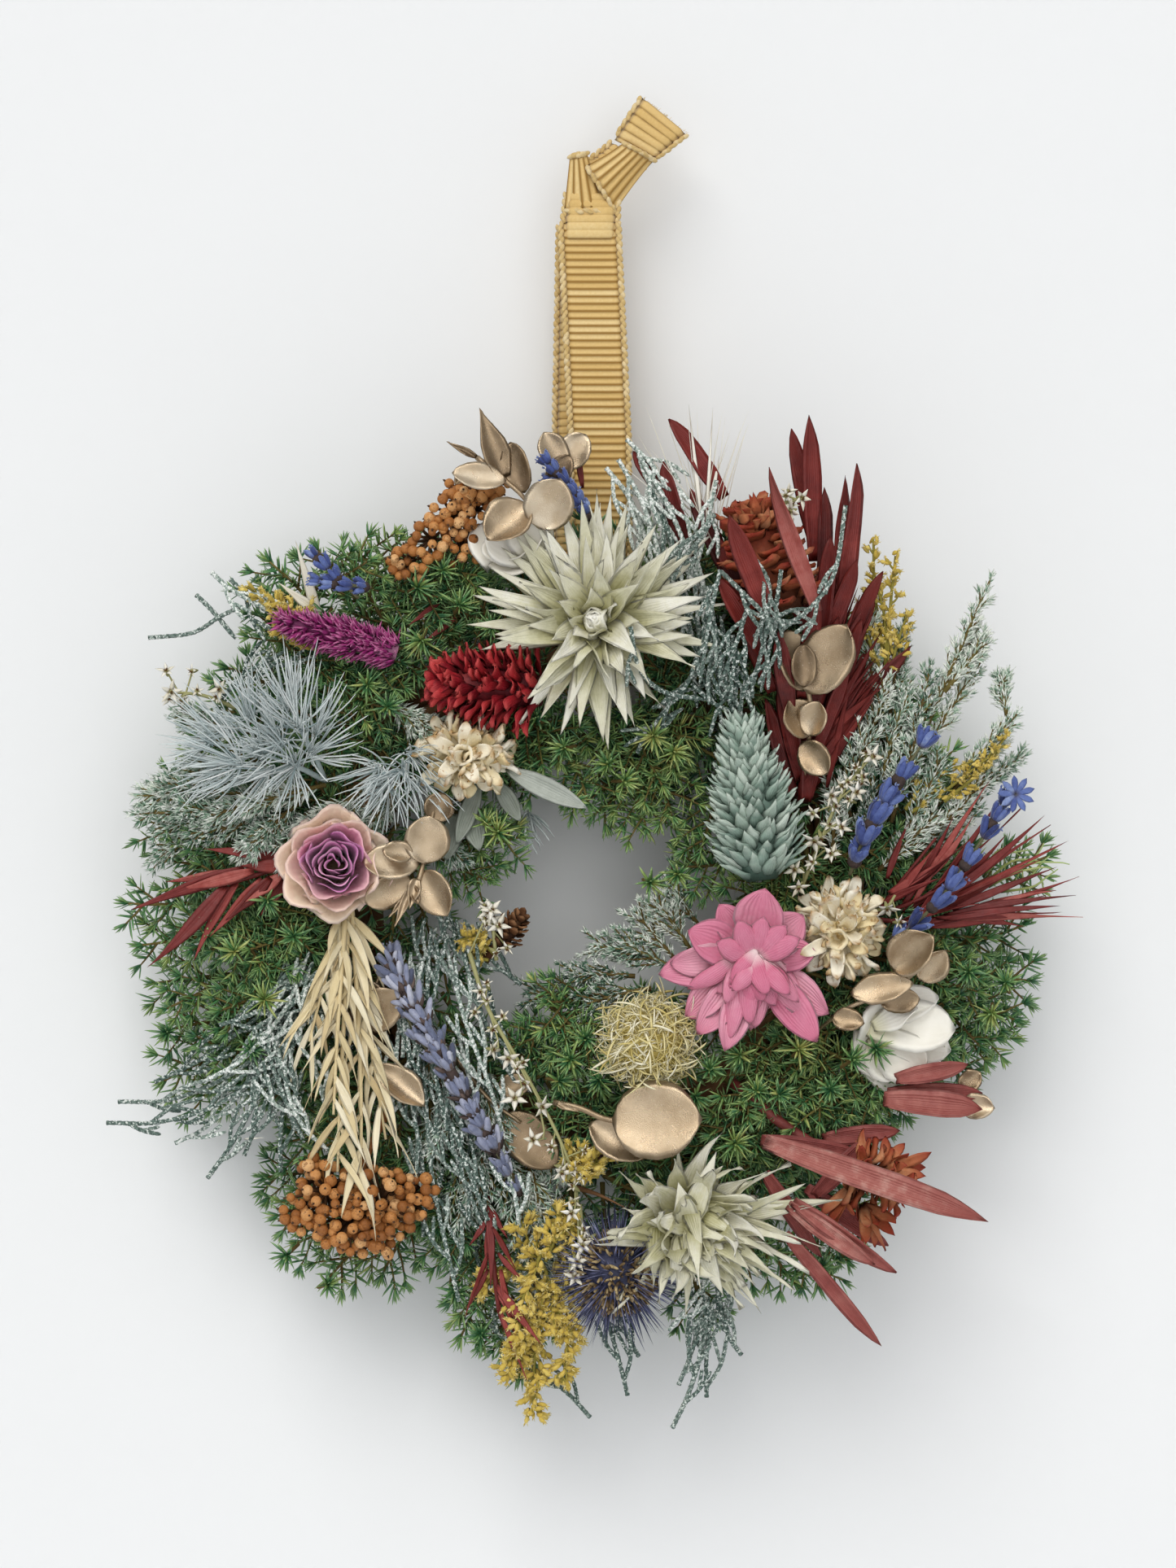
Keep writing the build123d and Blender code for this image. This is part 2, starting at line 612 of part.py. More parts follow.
with BuildPart() as small_pine_cone:
    c = (-22.6, -191.7)
    spindle((c[0], -16.8, c[1]), (c[0], -26.5, c[1]), 4.6)
    f = (-25.7, -193.5)
    rod((f[0], -19, f[1]), (c[0], -19.5, c[1]), 0.8)
    foot(f[0], f[1], -19.5)
keep("small_pine_cone", small_pine_cone.part)

with BuildPart() as goldenrod_upper_left:
    beaded((-77.7, -19.9, -116.2), (-89.9, -19.9, -99.3), 0.8, ((0.3, 1.8), (0.5, 2.2), (0.7, 2.2), (0.9, 2.0)))
    f = (-78.2, -115.6)
    foot(f[0], f[1], -20.2)
keep("goldenrod_upper_left", goldenrod_upper_left.part)

with BuildPart() as lavender_upper_left:
    beads = ((0.4, 2.2), (0.66, 2.7), (0.9, 2.4))
    beaded((-60.5, -27.0, -103.9), (-72.2, -27.0, -91.3), 0.75, beads)
    beaded((-60.1, -27.0, -103.0), (-77.8, -27.0, -99.5), 0.75, beads)
    f = (-61.2, -103.2)
    foot(f[0], f[1], -27.4)
keep("lavender_upper_left", lavender_upper_left.part)

with BuildPart() as celosia_magenta:
    spindle((-81.2, -27.0, -109.0), (-51.4, -27.0, -118.1), 5.8)
    f = (-57.2, -116.0)
    foot(f[0], f[1], -25)
keep("celosia_magenta", celosia_magenta.part)

with BuildPart() as berries_top:
    spindle((-52.7, -26.5, -94.8), (-27.2, -26.5, -73.6), 8.8)
    f = (-41.2, -88.1)
    foot(f[0], f[1], -22)
keep("berries_top", berries_top.part)

with BuildPart() as red_bract_cone:
    spindle((-44.0, -30.0, -125.1), (-10.8, -30.0, -127.7), 8.6)
    f = (-27.3, -126.3)
    foot(f[0], f[1], -26)
keep("red_bract_cone", red_bract_cone.part)

# the petals of the top bloom stop short of the red cone's scales, and the upper
# leucadendron leaves leave room for the cone's own stem
with BuildPart() as red_cone_room:
    spindle((-45.3, -30.0, -124.9), (-9.5, -30.0, -127.9), 9.2)
with BuildPart() as bloom_trimmed:
    add(star_bloom_top.part)
    add(red_cone_room.part, mode=Mode.SUBTRACT)
keep("star_bloom_top", bloom_trimmed.part)
keep("leucadendron_cone_upper", leucadendron_cone_upper.part)

# ================================================================================
# Himuro cypress bunches: eight round the ring and a small one under the ribbon
# ================================================================================
BUNCHES = (
    ("cypress_top_right", 45, 90, 108.0),
    ("cypress_right_upper", 0, 45, 113.0),
    ("cypress_right_lower", -45, 0, 116.0),
    ("cypress_bottom_right", -90, -45, 116.0),
    ("cypress_bottom_left", -135, -90, 119.0),
    ("cypress_left_lower", 180, 225, 118.0),
    ("cypress_left_upper", 135, 180, 115.0),
    ("cypress_top_left", 90, 135, 108.0),
)


def bunch_profile(angle, r_in, r_out):
    """A rounded section across the ring, with the channel that takes the canes."""
    a = math.radians(angle)
    place = Plane(
        origin=(0, 0, RING_Z),
        x_dir=(math.cos(a), 0, math.sin(a)),
        z_dir=(-math.sin(a), 0, math.cos(a)),
    )
    with BuildSketch(place, mode=Mode.PRIVATE) as section:
        with Locations(((r_in + r_out) / 2, (FRONT_Y + BACK_Y) / 2)):
            RectangleRounded(r_out - r_in, BACK_Y - FRONT_Y, ROUND_R)
        if r_out > RING_R:
            with Locations((RING_R, 0)):
                Circle(CHANNEL_R, mode=Mode.SUBTRACT)
    return section.sketch


for name, a0, a1, r_out in BUNCHES:
    mine = []
    for fx, fz in feet:
        ang = math.degrees(math.atan2(fz - RING_Z, fx)) % 360
        lo, hi = a0 % 360, a0 % 360 + (a1 - a0)
        if lo - 6 <= ang <= hi + 6 or lo - 6 <= ang + 360 <= hi + 6 or lo - 6 <= ang - 360 <= hi + 6:
            mine.append((fx, fz))
    with BuildPart() as bunch:
        revolve(bunch_profile(a0 + GAP_DEG, INNER_R, r_out), axis=RING_AXIS, revolution_arc=(a1 - a0) - 2 * GAP_DEG)
        for fx, fz in mine:
            with Locations(Plane(origin=(fx, STEM_END_Y + 0.4, fz), z_dir=(0, -1, 0))):
                Cylinder(POCKET_R, 12, align=(Align.CENTER, Align.CENTER, Align.MIN), mode=Mode.SUBTRACT)
        if 45 <= a0 <= 90:
            with Locations((0, 0, RING_Z)):
                Box(2 * NOTCH_HALF, 60, 150, align=(Align.CENTER, Align.CENTER, Align.MIN), mode=Mode.SUBTRACT)
    keep(name, bunch.part)

with BuildPart() as cypress_inner_top:
    revolve(bunch_profile(42, INNER_R, RING_TOP_Z - RING_Z - 16.0), axis=RING_AXIS, revolution_arc=96)
    with Locations((0, 0, RING_Z)):
        Box(2 * (NOTCH_HALF - 0.3), 60, 120, align=(Align.CENTER, Align.CENTER, Align.MIN), mode=Mode.INTERSECT)
keep("cypress_inner_top", cypress_inner_top.part)

# ================================================================================
os.makedirs("parts", exist_ok=True)
for name, part in nodes:
    export_step(part, "parts/" + name + ".step")
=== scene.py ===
"""Harvest door wreath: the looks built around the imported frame. Lengths in the mesh code are in millimetres."""

import math

import bpy
import numpy as np
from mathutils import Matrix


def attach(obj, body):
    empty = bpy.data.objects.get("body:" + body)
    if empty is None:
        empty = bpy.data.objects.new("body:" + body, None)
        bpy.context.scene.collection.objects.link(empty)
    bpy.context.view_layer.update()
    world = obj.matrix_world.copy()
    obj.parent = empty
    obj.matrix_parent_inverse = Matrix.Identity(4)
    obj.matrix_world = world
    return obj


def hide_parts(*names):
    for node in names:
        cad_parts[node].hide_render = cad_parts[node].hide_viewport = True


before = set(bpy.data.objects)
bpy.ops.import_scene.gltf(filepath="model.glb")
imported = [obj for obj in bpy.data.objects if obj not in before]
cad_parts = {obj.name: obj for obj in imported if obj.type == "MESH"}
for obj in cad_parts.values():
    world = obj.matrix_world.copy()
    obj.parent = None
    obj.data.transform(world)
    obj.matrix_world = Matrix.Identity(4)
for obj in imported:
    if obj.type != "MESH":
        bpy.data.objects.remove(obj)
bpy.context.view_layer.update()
RNG = np.random.default_rng(20)
TAU = 2 * math.pi
A = np.array
RING = A([0.0, 0.0, -182.0])


# ---------------------------------------------------------------- vector help
def unit(a):
    a = np.asarray(a, float)
    return a / np.maximum(np.linalg.norm(a, axis=-1, keepdims=True), 1e-12)


def perp(d):
    """Two unit vectors across each row of d."""
    d = np.atleast_2d(d)
    ref = np.where(np.abs(d[:, 2:3]) < 0.9, A([[0.0, 0.0, 1.0]]), A([[1.0, 0.0, 0.0]]))
    u = unit(np.cross(d, ref))
    return u, np.cross(d, u)


def wob(n, s):
    return RNG.normal(0, s, (n, 3))


def smooth_path(pts, n):
    """n points on a Catmull-Rom line through pts."""
    p = np.asarray(pts, float)
    if len(p) == 2:
        return p[0] + (p[1] - p[0]) * np.linspace(0, 1, n)[:, None]
    q = np.vstack([2 * p[0] - p[1], p, 2 * p[-1] - p[-2]])
    t = np.linspace(0, len(p) - 1 - 1e-9, n)
    i = t.astype(int)
    f = (t - i)[:, None]
    a, b, c, d = q[i], q[i + 1], q[i + 2], q[i + 3]
    return 0.5 * (2 * b + (c - a) * f + (2 * a - 5 * b + 4 * c - d) * f**2 + (3 * b - a - 3 * c + d) * f**3)


def length_of(path):
    return float(np.linalg.norm(np.diff(path, axis=0), axis=1).sum())


def tangents(path):
    return unit(np.gradient(path, axis=0))


# ---------------------------------------------------------------- mesh gathering
class Acc:
    """Gathers points, faces, a material index per face and a tint per point."""

    def __init__(self):
        self.v, self.c, self.t, self.q, self.tm, self.qm, self.n = [], [], [], [], [], [], 0

    def add(self, v, t=None, q=None, c=(0.5, 0.5, 0.5), m=0):
        v = np.asarray(v, float).reshape(-1, 3)
        c = np.broadcast_to(np.asarray(c, float), (len(v), 3)) if np.ndim(c) == 1 else np.asarray(c, float).reshape(-1, 3)
        self.v.append(v)
        self.c.append(c)
        if t is not None and len(t):
            self.t.append(np.asarray(t, int) + self.n)
            self.tm.append(np.full(len(t), m))
        if q is not None and len(q):
            self.q.append(np.asarray(q, int) + self.n)
            self.qm.append(np.full(len(q), m))
        self.n += len(v)


def spindles(acc, P, D, L, W, ts=(0, 0.5, 1), rs=(0.8, 1, 0), sides=3, flat=1.0, bend=None, r=0.5, b=0.5, m=0):
    """Many tapered rods at once. W is the diameter; a ring factor of 0 is a point."""
    P, D = np.atleast_2d(P).astype(float), unit(np.atleast_2d(D))
    n = len(P)
    if n == 0:
        return
    L = np.broadcast_to(np.asarray(L, float), (n,))
    W = np.broadcast_to(np.asarray(W, float), (n,))
    r = np.broadcast_to(np.asarray(r, float), (n,))
    b = np.broadcast_to(np.asarray(b, float), (n,))
    u, v = perp(D)
    ang = RNG.uniform(0, TAU, n)[:, None]
    a1 = np.cos(ang) * u + np.sin(ang) * v
    a2 = np.cross(D, a1) * flat
    rings, index, count = [], [], 0
    for t, k in zip(ts, rs):
        c = P + D * (L * t)[:, None]
        if bend is not None:
            c = c + bend * t * t
        if k == 0:
            rings.append(c[:, None])
            index.append((count, 1, t))
            count += 1
        else:
            ph = np.arange(sides) * TAU / sides
            rad = (W / 2 * k)[:, None, None]
            rings.append(c[:, None] + rad * (a1[:, None] * np.cos(ph)[None, :, None] + a2[:, None] * np.sin(ph)[None, :, None]))
            index.append((count, sides, t))
            count += sides
    V = np.concatenate(rings, 1)
    tri, quad = [], []
    for (s0, n0, _), (s1, n1, _) in zip(index[:-1], index[1:]):
        for k in range(sides):
            k2 = (k + 1) % sides
            if n0 == 1:
                tri.append((s0, s1 + k2, s1 + k))
            elif n1 == 1:
                tri.append((s0 + k, s0 + k2, s1))
            else:
                quad.append((s0 + k, s0 + k2, s1 + k2, s1 + k))
    off = (np.arange(n) * count)[:, None, None]
    tri = (A(tri).reshape(-1, 3)[None] + off).reshape(-1, 3) if tri else None
    quad = (A(quad).reshape(-1, 4)[None] + off).reshape(-1, 4) if quad else None
    g = np.concatenate([np.full(k, t, float) for _, k, t in index])
    C = np.zeros((n, count, 3))
    C[:, :, 0], C[:, :, 1], C[:, :, 2] = r[:, None], g[None], b[:, None]
    acc.add(V, tri, quad, C, m)


def tube(acc, path, rad, sides=6, r=0.5, b=0.5, m=0, caps=True, twist=0.0, mod=None):
    """A tube along path. rad is one radius or one per point; mod(s, phi) scales it."""
    path = np.asarray(path, float)
    k = len(path)
    rad = np.broadcast_to(np.asarray(rad, float), (k,))
    T = tangents(path)
    u = perp(T[:1])[0][0]
    U = np.zeros((k, 3))
    for i in range(k):
        u = u - T[i] * (u @ T[i])
        u = u / max(np.linalg.norm(u), 1e-9)
        U[i] = u
    Wv = np.cross(T, U)
    s = np.concatenate([[0], np.cumsum(np.linalg.norm(np.diff(path, axis=0), axis=1))])
    ph = np.arange(sides) * TAU / sides
    phi = ph[None] + twist * s[:, None]
    R = rad[:, None] * (mod(s[:, None], ph[None]) if mod else 1.0)
    V = path[:, None] + R[..., None] * (U[:, None] * np.cos(phi)[..., None] + Wv[:, None] * np.sin(phi)[..., None])
    i = np.arange(k - 1)[:, None] * sides
    j = np.arange(sides)[None]
    j2 = (j + 1) % sides
    quad = np.stack([i + j, i + j2, i + sides + j2, i + sides + j], -1).reshape(-1, 4)
    C = np.zeros((k, sides, 3))
    C[..., 0], C[..., 2] = r, b
    C[..., 1] = (s / max(s[-1], 1e-9))[:, None]
    # with mod, blue holds how far the surface stands out; the thread cypress finishes paint shade into the low parts by
    # it
    if mod is not None:
        C[..., 2] = np.clip((R / np.maximum(rad[:, None], 1e-9) - 0.7) / 0.7, 0, 1)
    V, C = V.reshape(-1, 3), C.reshape(-1, 3)
    tri = None
    if caps:
        n = len(V)
        V = np.vstack([V, path[0], path[-1]])
        C = np.vstack([C, [r, 0, b], [r, 1, b]])
        tri = [(n, (q + 1) % sides, q) for q in range(sides)] + [(n + 1, n - sides + q, n - sides + (q + 1) % sides) for q in range(sides)]
    acc.add(V, tri, quad, C, m)


def shell(acc, G, th=0.3, r=0.5, c=None, m=0):
    """A closed thin leaf or petal over a grid of points G (rows along it, columns across)."""
    G = np.asarray(G, float)
    k, w = G.shape[:2]
    nr = unit(np.cross(np.gradient(G, axis=0), np.gradient(G, axis=1)))
    top = np.arange(k * w).reshape(k, w)
    bot = top.copy()
    inner = (k - 2) * (w - 2)
    bot[1:-1, 1:-1] = k * w + np.arange(inner).reshape(k - 2, w - 2)
    V = np.vstack([G.reshape(-1, 3), (G - nr * th)[1:-1, 1:-1].reshape(-1, 3)])
    if c is None:
        c = np.zeros((k, w, 3))
        c[..., 0] = r
        c[..., 1] = np.linspace(0, 1, k)[:, None]
        c[..., 2] = np.linspace(0, 1, w)[None]
    C = np.vstack([c.reshape(-1, 3), c[1:-1, 1:-1].reshape(-1, 3)])
    q1 = np.stack([top[:-1, :-1], top[:-1, 1:], top[1:, 1:], top[1:, :-1]], -1).reshape(-1, 4)
    q2 = np.stack([bot[:-1, :-1], bot[1:, :-1], bot[1:, 1:], bot[:-1, 1:]], -1).reshape(-1, 4)
    acc.add(V, None, np.vstack([q1, q2]), C, m)


PROF = {
    "lance": ([0, 0.12, 0.3, 0.5, 0.7, 0.86, 1], [0.45, 0.72, 1, 0.86, 0.52, 0.24, 0.015]),
    "oval": ([0, 0.06, 0.18, 0.36, 0.55, 0.75, 0.9, 0.97, 1], [0.05, 0.38, 0.75, 0.97, 1, 0.86, 0.56, 0.3, 0.03]),
    "round": ([0, 0.04, 0.12, 0.28, 0.5, 0.72, 0.86, 0.94, 0.98, 1], [0.06, 0.36, 0.66, 0.93, 1, 0.9, 0.62, 0.32, 0.12, 0.02]),
    "strap": ([0, 0.1, 0.3, 0.6, 0.8, 0.93, 1], [0.55, 0.7, 0.95, 1, 0.82, 0.42, 0.05]),
    "petal": ([0, 0.15, 0.35, 0.6, 0.8, 0.93, 1], [0.32, 0.52, 0.82, 1, 0.86, 0.5, 0.06]),
    "tongue": ([0, 0.12, 0.3, 0.5, 0.68, 0.82, 0.92, 1], [0.3, 0.5, 0.8, 1, 0.97, 0.74, 0.42, 0.03]),
    "wisp": ([0, 0.1, 0.26, 0.44, 0.62, 0.8, 1], [0.5, 0.82, 1, 0.78, 0.42, 0.18, 0.012]),
    "blunt": ([0, 0.1, 0.3, 0.6, 0.8, 0.9, 0.96, 1], [0.55, 0.72, 0.95, 1, 0.84, 0.52, 0.22, 0.02]),
    "scale": ([0, 0.2, 0.45, 0.7, 0.88, 1], [0.6, 0.85, 1, 0.8, 0.42, 0.03]),
    "boat": ([0, 0.1, 0.3, 0.5, 0.7, 0.9, 1], [0.1, 0.5, 0.92, 1, 0.9, 0.45, 0.03]),
}


def leaf(acc, P, d, up, L, w, prof="lance", curl=0.0, curl2=0.0, twist=0.0, cup=0.3, th=0.25, k=8, mm=5, r=0.5, m=0, wave=0.0, side=0.0):
    """One leaf from P along d. up is the side it faces; curl turns it towards up over its length."""
    d = unit(d)
    up = unit(np.asarray(up, float) - d * (np.asarray(up, float) @ d))
    sd = np.cross(d, up)
    t = np.linspace(0, 1, k + 1)
    a = curl * t + curl2 * t * t
    T = np.cos(a)[:, None] * d + np.sin(a)[:, None] * up
    if side:
        T = unit(T + sd * (side * t)[:, None])
    steps = (T[1:] + T[:-1]) / 2 * (L / k)
    C = np.vstack([P, P + np.cumsum(steps, 0)])
    N = -np.sin(a)[:, None] * d + np.cos(a)[:, None] * up
    S = np.broadcast_to(sd, C.shape)
    if twist:
        q = (twist * t)[:, None]
        S, N = np.cos(q) * S + np.sin(q) * N, -np.sin(q) * S + np.cos(q) * N
    hw = np.interp(t, *PROF[prof]) * w
    u = np.linspace(-1, 1, mm)
    x = hw[:, None] * u
    z = (cup * hw)[:, None] * (u * u)
    if wave:
        z = z + wave * np.sin(t * 9 + r * 40)[:, None] * u * np.abs(u)
    G = C[:, None] + S[:, None] * x[..., None] + N[:, None] * z[..., None]
    shell(acc, G, th, r, m=m)
    return C


def _ico(level):
    p = (1 + 5**0.5) / 2
    v = [(-1, p, 0), (1, p, 0), (-1, -p, 0), (1, -p, 0), (0, -1, p), (0, 1, p), (0, -1, -p), (0, 1, -p), (p, 0, -1), (p, 0, 1), (-p, 0, -1), (-p, 0, 1)]
    f = [(0, 11, 5), (0, 5, 1), (0, 1, 7), (0, 7, 10), (0, 10, 11), (1, 5, 9), (5, 11, 4), (11, 10, 2), (10, 7, 6), (7, 1, 8), (3, 9, 4), (3, 4, 2), (3, 2, 6), (3, 6, 8), (3, 8, 9), (4, 9, 5), (2, 4, 11), (6, 2, 10), (8, 6, 7), (9, 8, 1)]
    v = [tuple(unit(A(q, float))) for q in v]
    for _ in range(level):
        mid, out = {}, []

        def half(a, b):
            key = (min(a, b), max(a, b))
            if key not in mid:
                v.append(tuple(unit(A(v[a]) + A(v[b]))))
                mid[key] = len(v) - 1
            return mid[key]

        for a, b, c in f:
            x, y, z = half(a, b), half(b, c), half(c, a)
            out += [(a, x, z), (x, b, y), (z, y, c), (x, y, z)]
        f = out
    return A(v), A(f)


ICO = [_ico(1), _ico(2)]


def balls(acc, P, R, level=1, r=0.5, b=0.5, stretch=None, m=0):
    """Many round grains. stretch is a direction per grain times how much longer it is that way."""
    P = np.atleast_2d(P).astype(float)
    n = len(P)
    R = np.broadcast_to(np.asarray(R, float), (n,))
    v, f = ICO[level]
    V = v[None] * R[:, None, None]
    if stretch is not None:
        ax = unit(stretch)
        k = np.linalg.norm(stretch, axis=1)
        V = V + ((V @ ax[..., None]) * (k[:, None, None] - 1)) * ax[:, None]
    V = P[:, None] + V
    C = np.zeros((n, len(v), 3))
    C[..., 0] = np.broadcast_to(np.asarray(r, float), (n,))[:, None]
    C[..., 1] = (v[:, 1] * -0.5 + 0.5)[None]
    C[..., 2] = np.broadcast_to(np.asarray(b, float), (n,))[:, None]
    F = (f[None] + (np.arange(n) * len(v))[:, None, None]).reshape(-1, 3)
    acc.add(V, F, None, C, m)


PIECES = []


def piece(name, acc, mats, nodes, body="wreath", smooth=True):
    """Makes the Blender object, which stands for its CAD nodes and rides on their body."""
    me = bpy.data.meshes.new(name)
    V = np.concatenate(acc.v)
    if body == "wreath":
        V[:, 1] = np.where(V[:, 1] > 17.0, 17.0 + 2.2 * np.tanh((V[:, 1] - 17.0) / 2.2), V[:, 1])
    V = (V * 0.001).astype(np.float32)
    C = np.concatenate(acc.c)
    T = np.concatenate(acc.t) if acc.t else np.zeros((0, 3), int)
    Q = np.concatenate(acc.q) if acc.q else np.zeros((0, 4), int)
    mi = np.concatenate((acc.tm + acc.qm) or [np.zeros(0, int)])
    if name.startswith("himuro_"):
        V0 = V * 1000
        bad = (np.abs(V0[:, 0]) < 11.4) & (V0[:, 1] > -12.6) & (V0[:, 2] > -130.6) & (np.hypot(V0[:, 1], V0[:, 2] + 117) > 9.2)
        if bad.any():
            for _ in range(7):
                for F in (T, Q):
                    if len(F):
                        bad[F[bad[F].any(1)]] = True
            kt = ~bad[T].any(1) if len(T) else np.zeros(0, bool)
            kq = ~bad[Q].any(1) if len(Q) else np.zeros(0, bool)
            mi = mi[np.concatenate([kt, kq])]
            new = np.cumsum(~bad) - 1
            T, Q = new[T[kt]], new[Q[kq]]
            V, C = V[~bad], C[~bad]
    loops = np.concatenate([T.ravel(), Q.ravel()]).astype(np.int32)
    starts = np.concatenate([np.arange(len(T)) * 3, len(T) * 3 + np.arange(len(Q)) * 4]).astype(np.int32)
    me.vertices.add(len(V))
    me.vertices.foreach_set("co", V.ravel())
    me.loops.add(len(loops))
    me.loops.foreach_set("vertex_index", loops)
    me.polygons.add(len(starts))
    me.polygons.foreach_set("loop_start", starts)
    for mt in mats:
        me.materials.append(mt)
    me.polygons.foreach_set("material_index", mi.astype(np.int32))
    me.polygons.foreach_set("use_smooth", np.full(len(starts), smooth))
    me.update(calc_edges=True)
    col = me.color_attributes.new("Tint", "FLOAT_COLOR", "POINT")
    rgba = np.ones((len(V), 4), np.float32)
    rgba[:, :3] = np.clip(C, 0, 1)
    col.data.foreach_set("color", rgba.ravel())
    me.validate()
    ob = bpy.data.objects.new(name, me)
    bpy.context.scene.collection.objects.link(ob)
    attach(ob, body)
    if nodes:
        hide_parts(*nodes)
    PIECES.append((name, len(T) + 2 * len(Q)))
    return ob


# ---------------------------------------------------------------- materials
def rgb(h, k=1.0):
    """Linear colour from a hex code."""
    h = h.lstrip("#")
    s = [int(h[i : i + 2], 16) / 255 for i in (0, 2, 4)]
    return tuple(min(1.0, k * (x / 12.92 if x <= 0.04045 else ((x + 0.055) / 1.055) ** 2.4)) for x in s) + (1.0,)


def material(name, ramp, tip=None, tip_at=(0.6, 1.0), base=None, base_at=(0.0, 0.3), rough=(0.5, 0.7), spec=0.35, sheen=0.0, metal=0.0,
             noise=(700.0, 0.5), bump=(1500.0, 0.25), fibre=None, fleck=None, coat=0.0, painted_recess_shade=None, sss=0.0, warp=0.0):
    """A procedural finish. The tint's red picks a colour on the ramp for each leaf, green runs along it and blue across it."""
    mt = bpy.data.materials.new(name)
    mt.use_nodes = True
    nt = mt.node_tree
    N, K = nt.nodes, nt.links
    bs = next(n for n in N if n.type == "BSDF_PRINCIPLED")
    at = N.new("ShaderNodeAttribute")
    at.attribute_name = "Tint"
    sep = N.new("ShaderNodeSeparateColor")
    K.new(at.outputs["Color"], sep.inputs[0])
    tc = N.new("ShaderNodeTexCoord")
    obj = tc.outputs["Object"]

    def math_(op, a, b=None, c=None, clamp=False):
        n = N.new("ShaderNodeMath")
        n.operation = op
        n.use_clamp = clamp
        for i, x in enumerate((a, b, c)):
            if x is None:
                continue
            if isinstance(x, (int, float)):
                n.inputs[i].default_value = x
            else:
                K.new(x, n.inputs[i])
        return n.outputs[0]

    def noise_(scale, detail=3.0, rough_=0.6):
        n = N.new("ShaderNodeTexNoise")
        n.inputs["Scale"].default_value = scale
        n.inputs["Detail"].default_value = detail
        n.inputs["Roughness"].default_value = rough_
        K.new(obj, n.inputs["Vector"])
        return n.outputs["Fac"]

    def span(x, a, b, lo=0.0, hi=1.0):
        n = N.new("ShaderNodeMapRange")
        n.inputs["From Min"].default_value, n.inputs["From Max"].default_value = a, b
        n.inputs["To Min"].default_value, n.inputs["To Max"].default_value = lo, hi
        K.new(x, n.inputs["Value"])
        return n.outputs[0]

    def mix(f, a, b, mode="MIX"):
        n = N.new("ShaderNodeMix")
        n.data_type = "RGBA"
        n.blend_type = mode
        for sock, x in ((n.inputs["Factor"], f), (n.inputs[6], a), (n.inputs[7], b)):
            if isinstance(x, (int, float, tuple)):
                sock.default_value = x
            else:
                K.new(x, sock)
        return n.outputs[2]

    nz = noise_(noise[0])
    fac = math_("ADD", sep.outputs[0], math_("MULTIPLY", math_("SUBTRACT", nz, 0.5), noise[1]), clamp=True)
    cr = N.new("ShaderNodeValToRGB")
    el = cr.color_ramp.elements
    while len(el) < len(ramp):
        el.new(0.5)
    for e, (pos, h) in zip(el, ramp):
        e.position = pos
        e.color = rgb(h) if isinstance(h, str) else h
    K.new(fac, cr.inputs[0])
    col = cr.outputs[0]
    if base:
        col = mix(span(sep.outputs[1], base_at[0], base_at[1], 1.0, 0.0), col, rgb(base))
    if tip:
        col = mix(span(math_("ADD", sep.outputs[1], math_("MULTIPLY", math_("SUBTRACT", nz, 0.5), 0.25)), tip_at[0], tip_at[1]), col, rgb(tip))
    # painted shade: where the tint's blue is low, in the grooves between ribbon ribs and the recesses between cypress
    # scales, the colour is mixed towards a darker one
    if painted_recess_shade:
        col = mix(span(sep.outputs[2], painted_recess_shade[1], painted_recess_shade[2], 1.0, 0.0), col, rgb(painted_recess_shade[0]))
    if fleck:
        col = mix(math_("MULTIPLY", span(noise_(fleck[1], 2.0, 0.7), fleck[2], fleck[2] + 0.06), fleck[3]), col, rgb(fleck[0]))
    K.new(col, bs.inputs["Base Color"])
    rn = span(noise_(noise[0] * 1.7, 2.0), 0.35, 0.65, rough[0], rough[1])
    K.new(rn, bs.inputs["Roughness"])
    bs.inputs["Specular IOR Level"].default_value = spec
    bs.inputs["Metallic"].default_value = metal
    if sheen:
        bs.inputs["Sheen Weight"].default_value = sheen
        bs.inputs["Sheen Roughness"].default_value = 0.4
    if coat:
        bs.inputs["Coat Weight"].default_value = coat
        bs.inputs["Coat Roughness"].default_value = 0.35
    if sss:
        bs.inputs["Subsurface Weight"].default_value = sss
        bs.inputs["Subsurface Scale"].default_value = 0.002
    h = noise_(bump[0], 4.0)
    if fibre:
        lines = math_("SINE", math_("ADD", math_("MULTIPLY", sep.outputs[2], fibre[0]), math_("MULTIPLY", nz, 3.0)))
        h = math_("ADD", h, math_("MULTIPLY", lines, fibre[1]))
    bp = N.new("ShaderNodeBump")
    bp.inputs["Strength"].default_value = bump[1]
    bp.inputs["Distance"].default_value = 0.0004
    K.new(h, bp.inputs["Height"])
    K.new(bp.outputs["Normal"], bs.inputs["Normal"])
    return mt


# ---------------------------------------------------------------- ribbon
# The darker third colour in the petersham finish is painted shade in the grooves between the ribs.
RIB = material("petersham", [(0, "#cfa961"), (0.5, "#e0bf7e"), (1, "#efd8a2")], rough=(0.5, 0.72), spec=0.3, sheen=0.25,
               noise=(1500.0, 0.5), bump=(5200.0, 0.35), painted_recess_shade=("#96702f", 0.15, 0.85))
EDGE = material("ribbon_edge_cord", [(0, "#c4a466"), (0.5, "#d8bc82"), (1, "#ead5a8")], rough=(0.6, 0.8), spec=0.2, sheen=0.3,
                noise=(3000.0, 0.6), bump=(4200.0, 0.5))


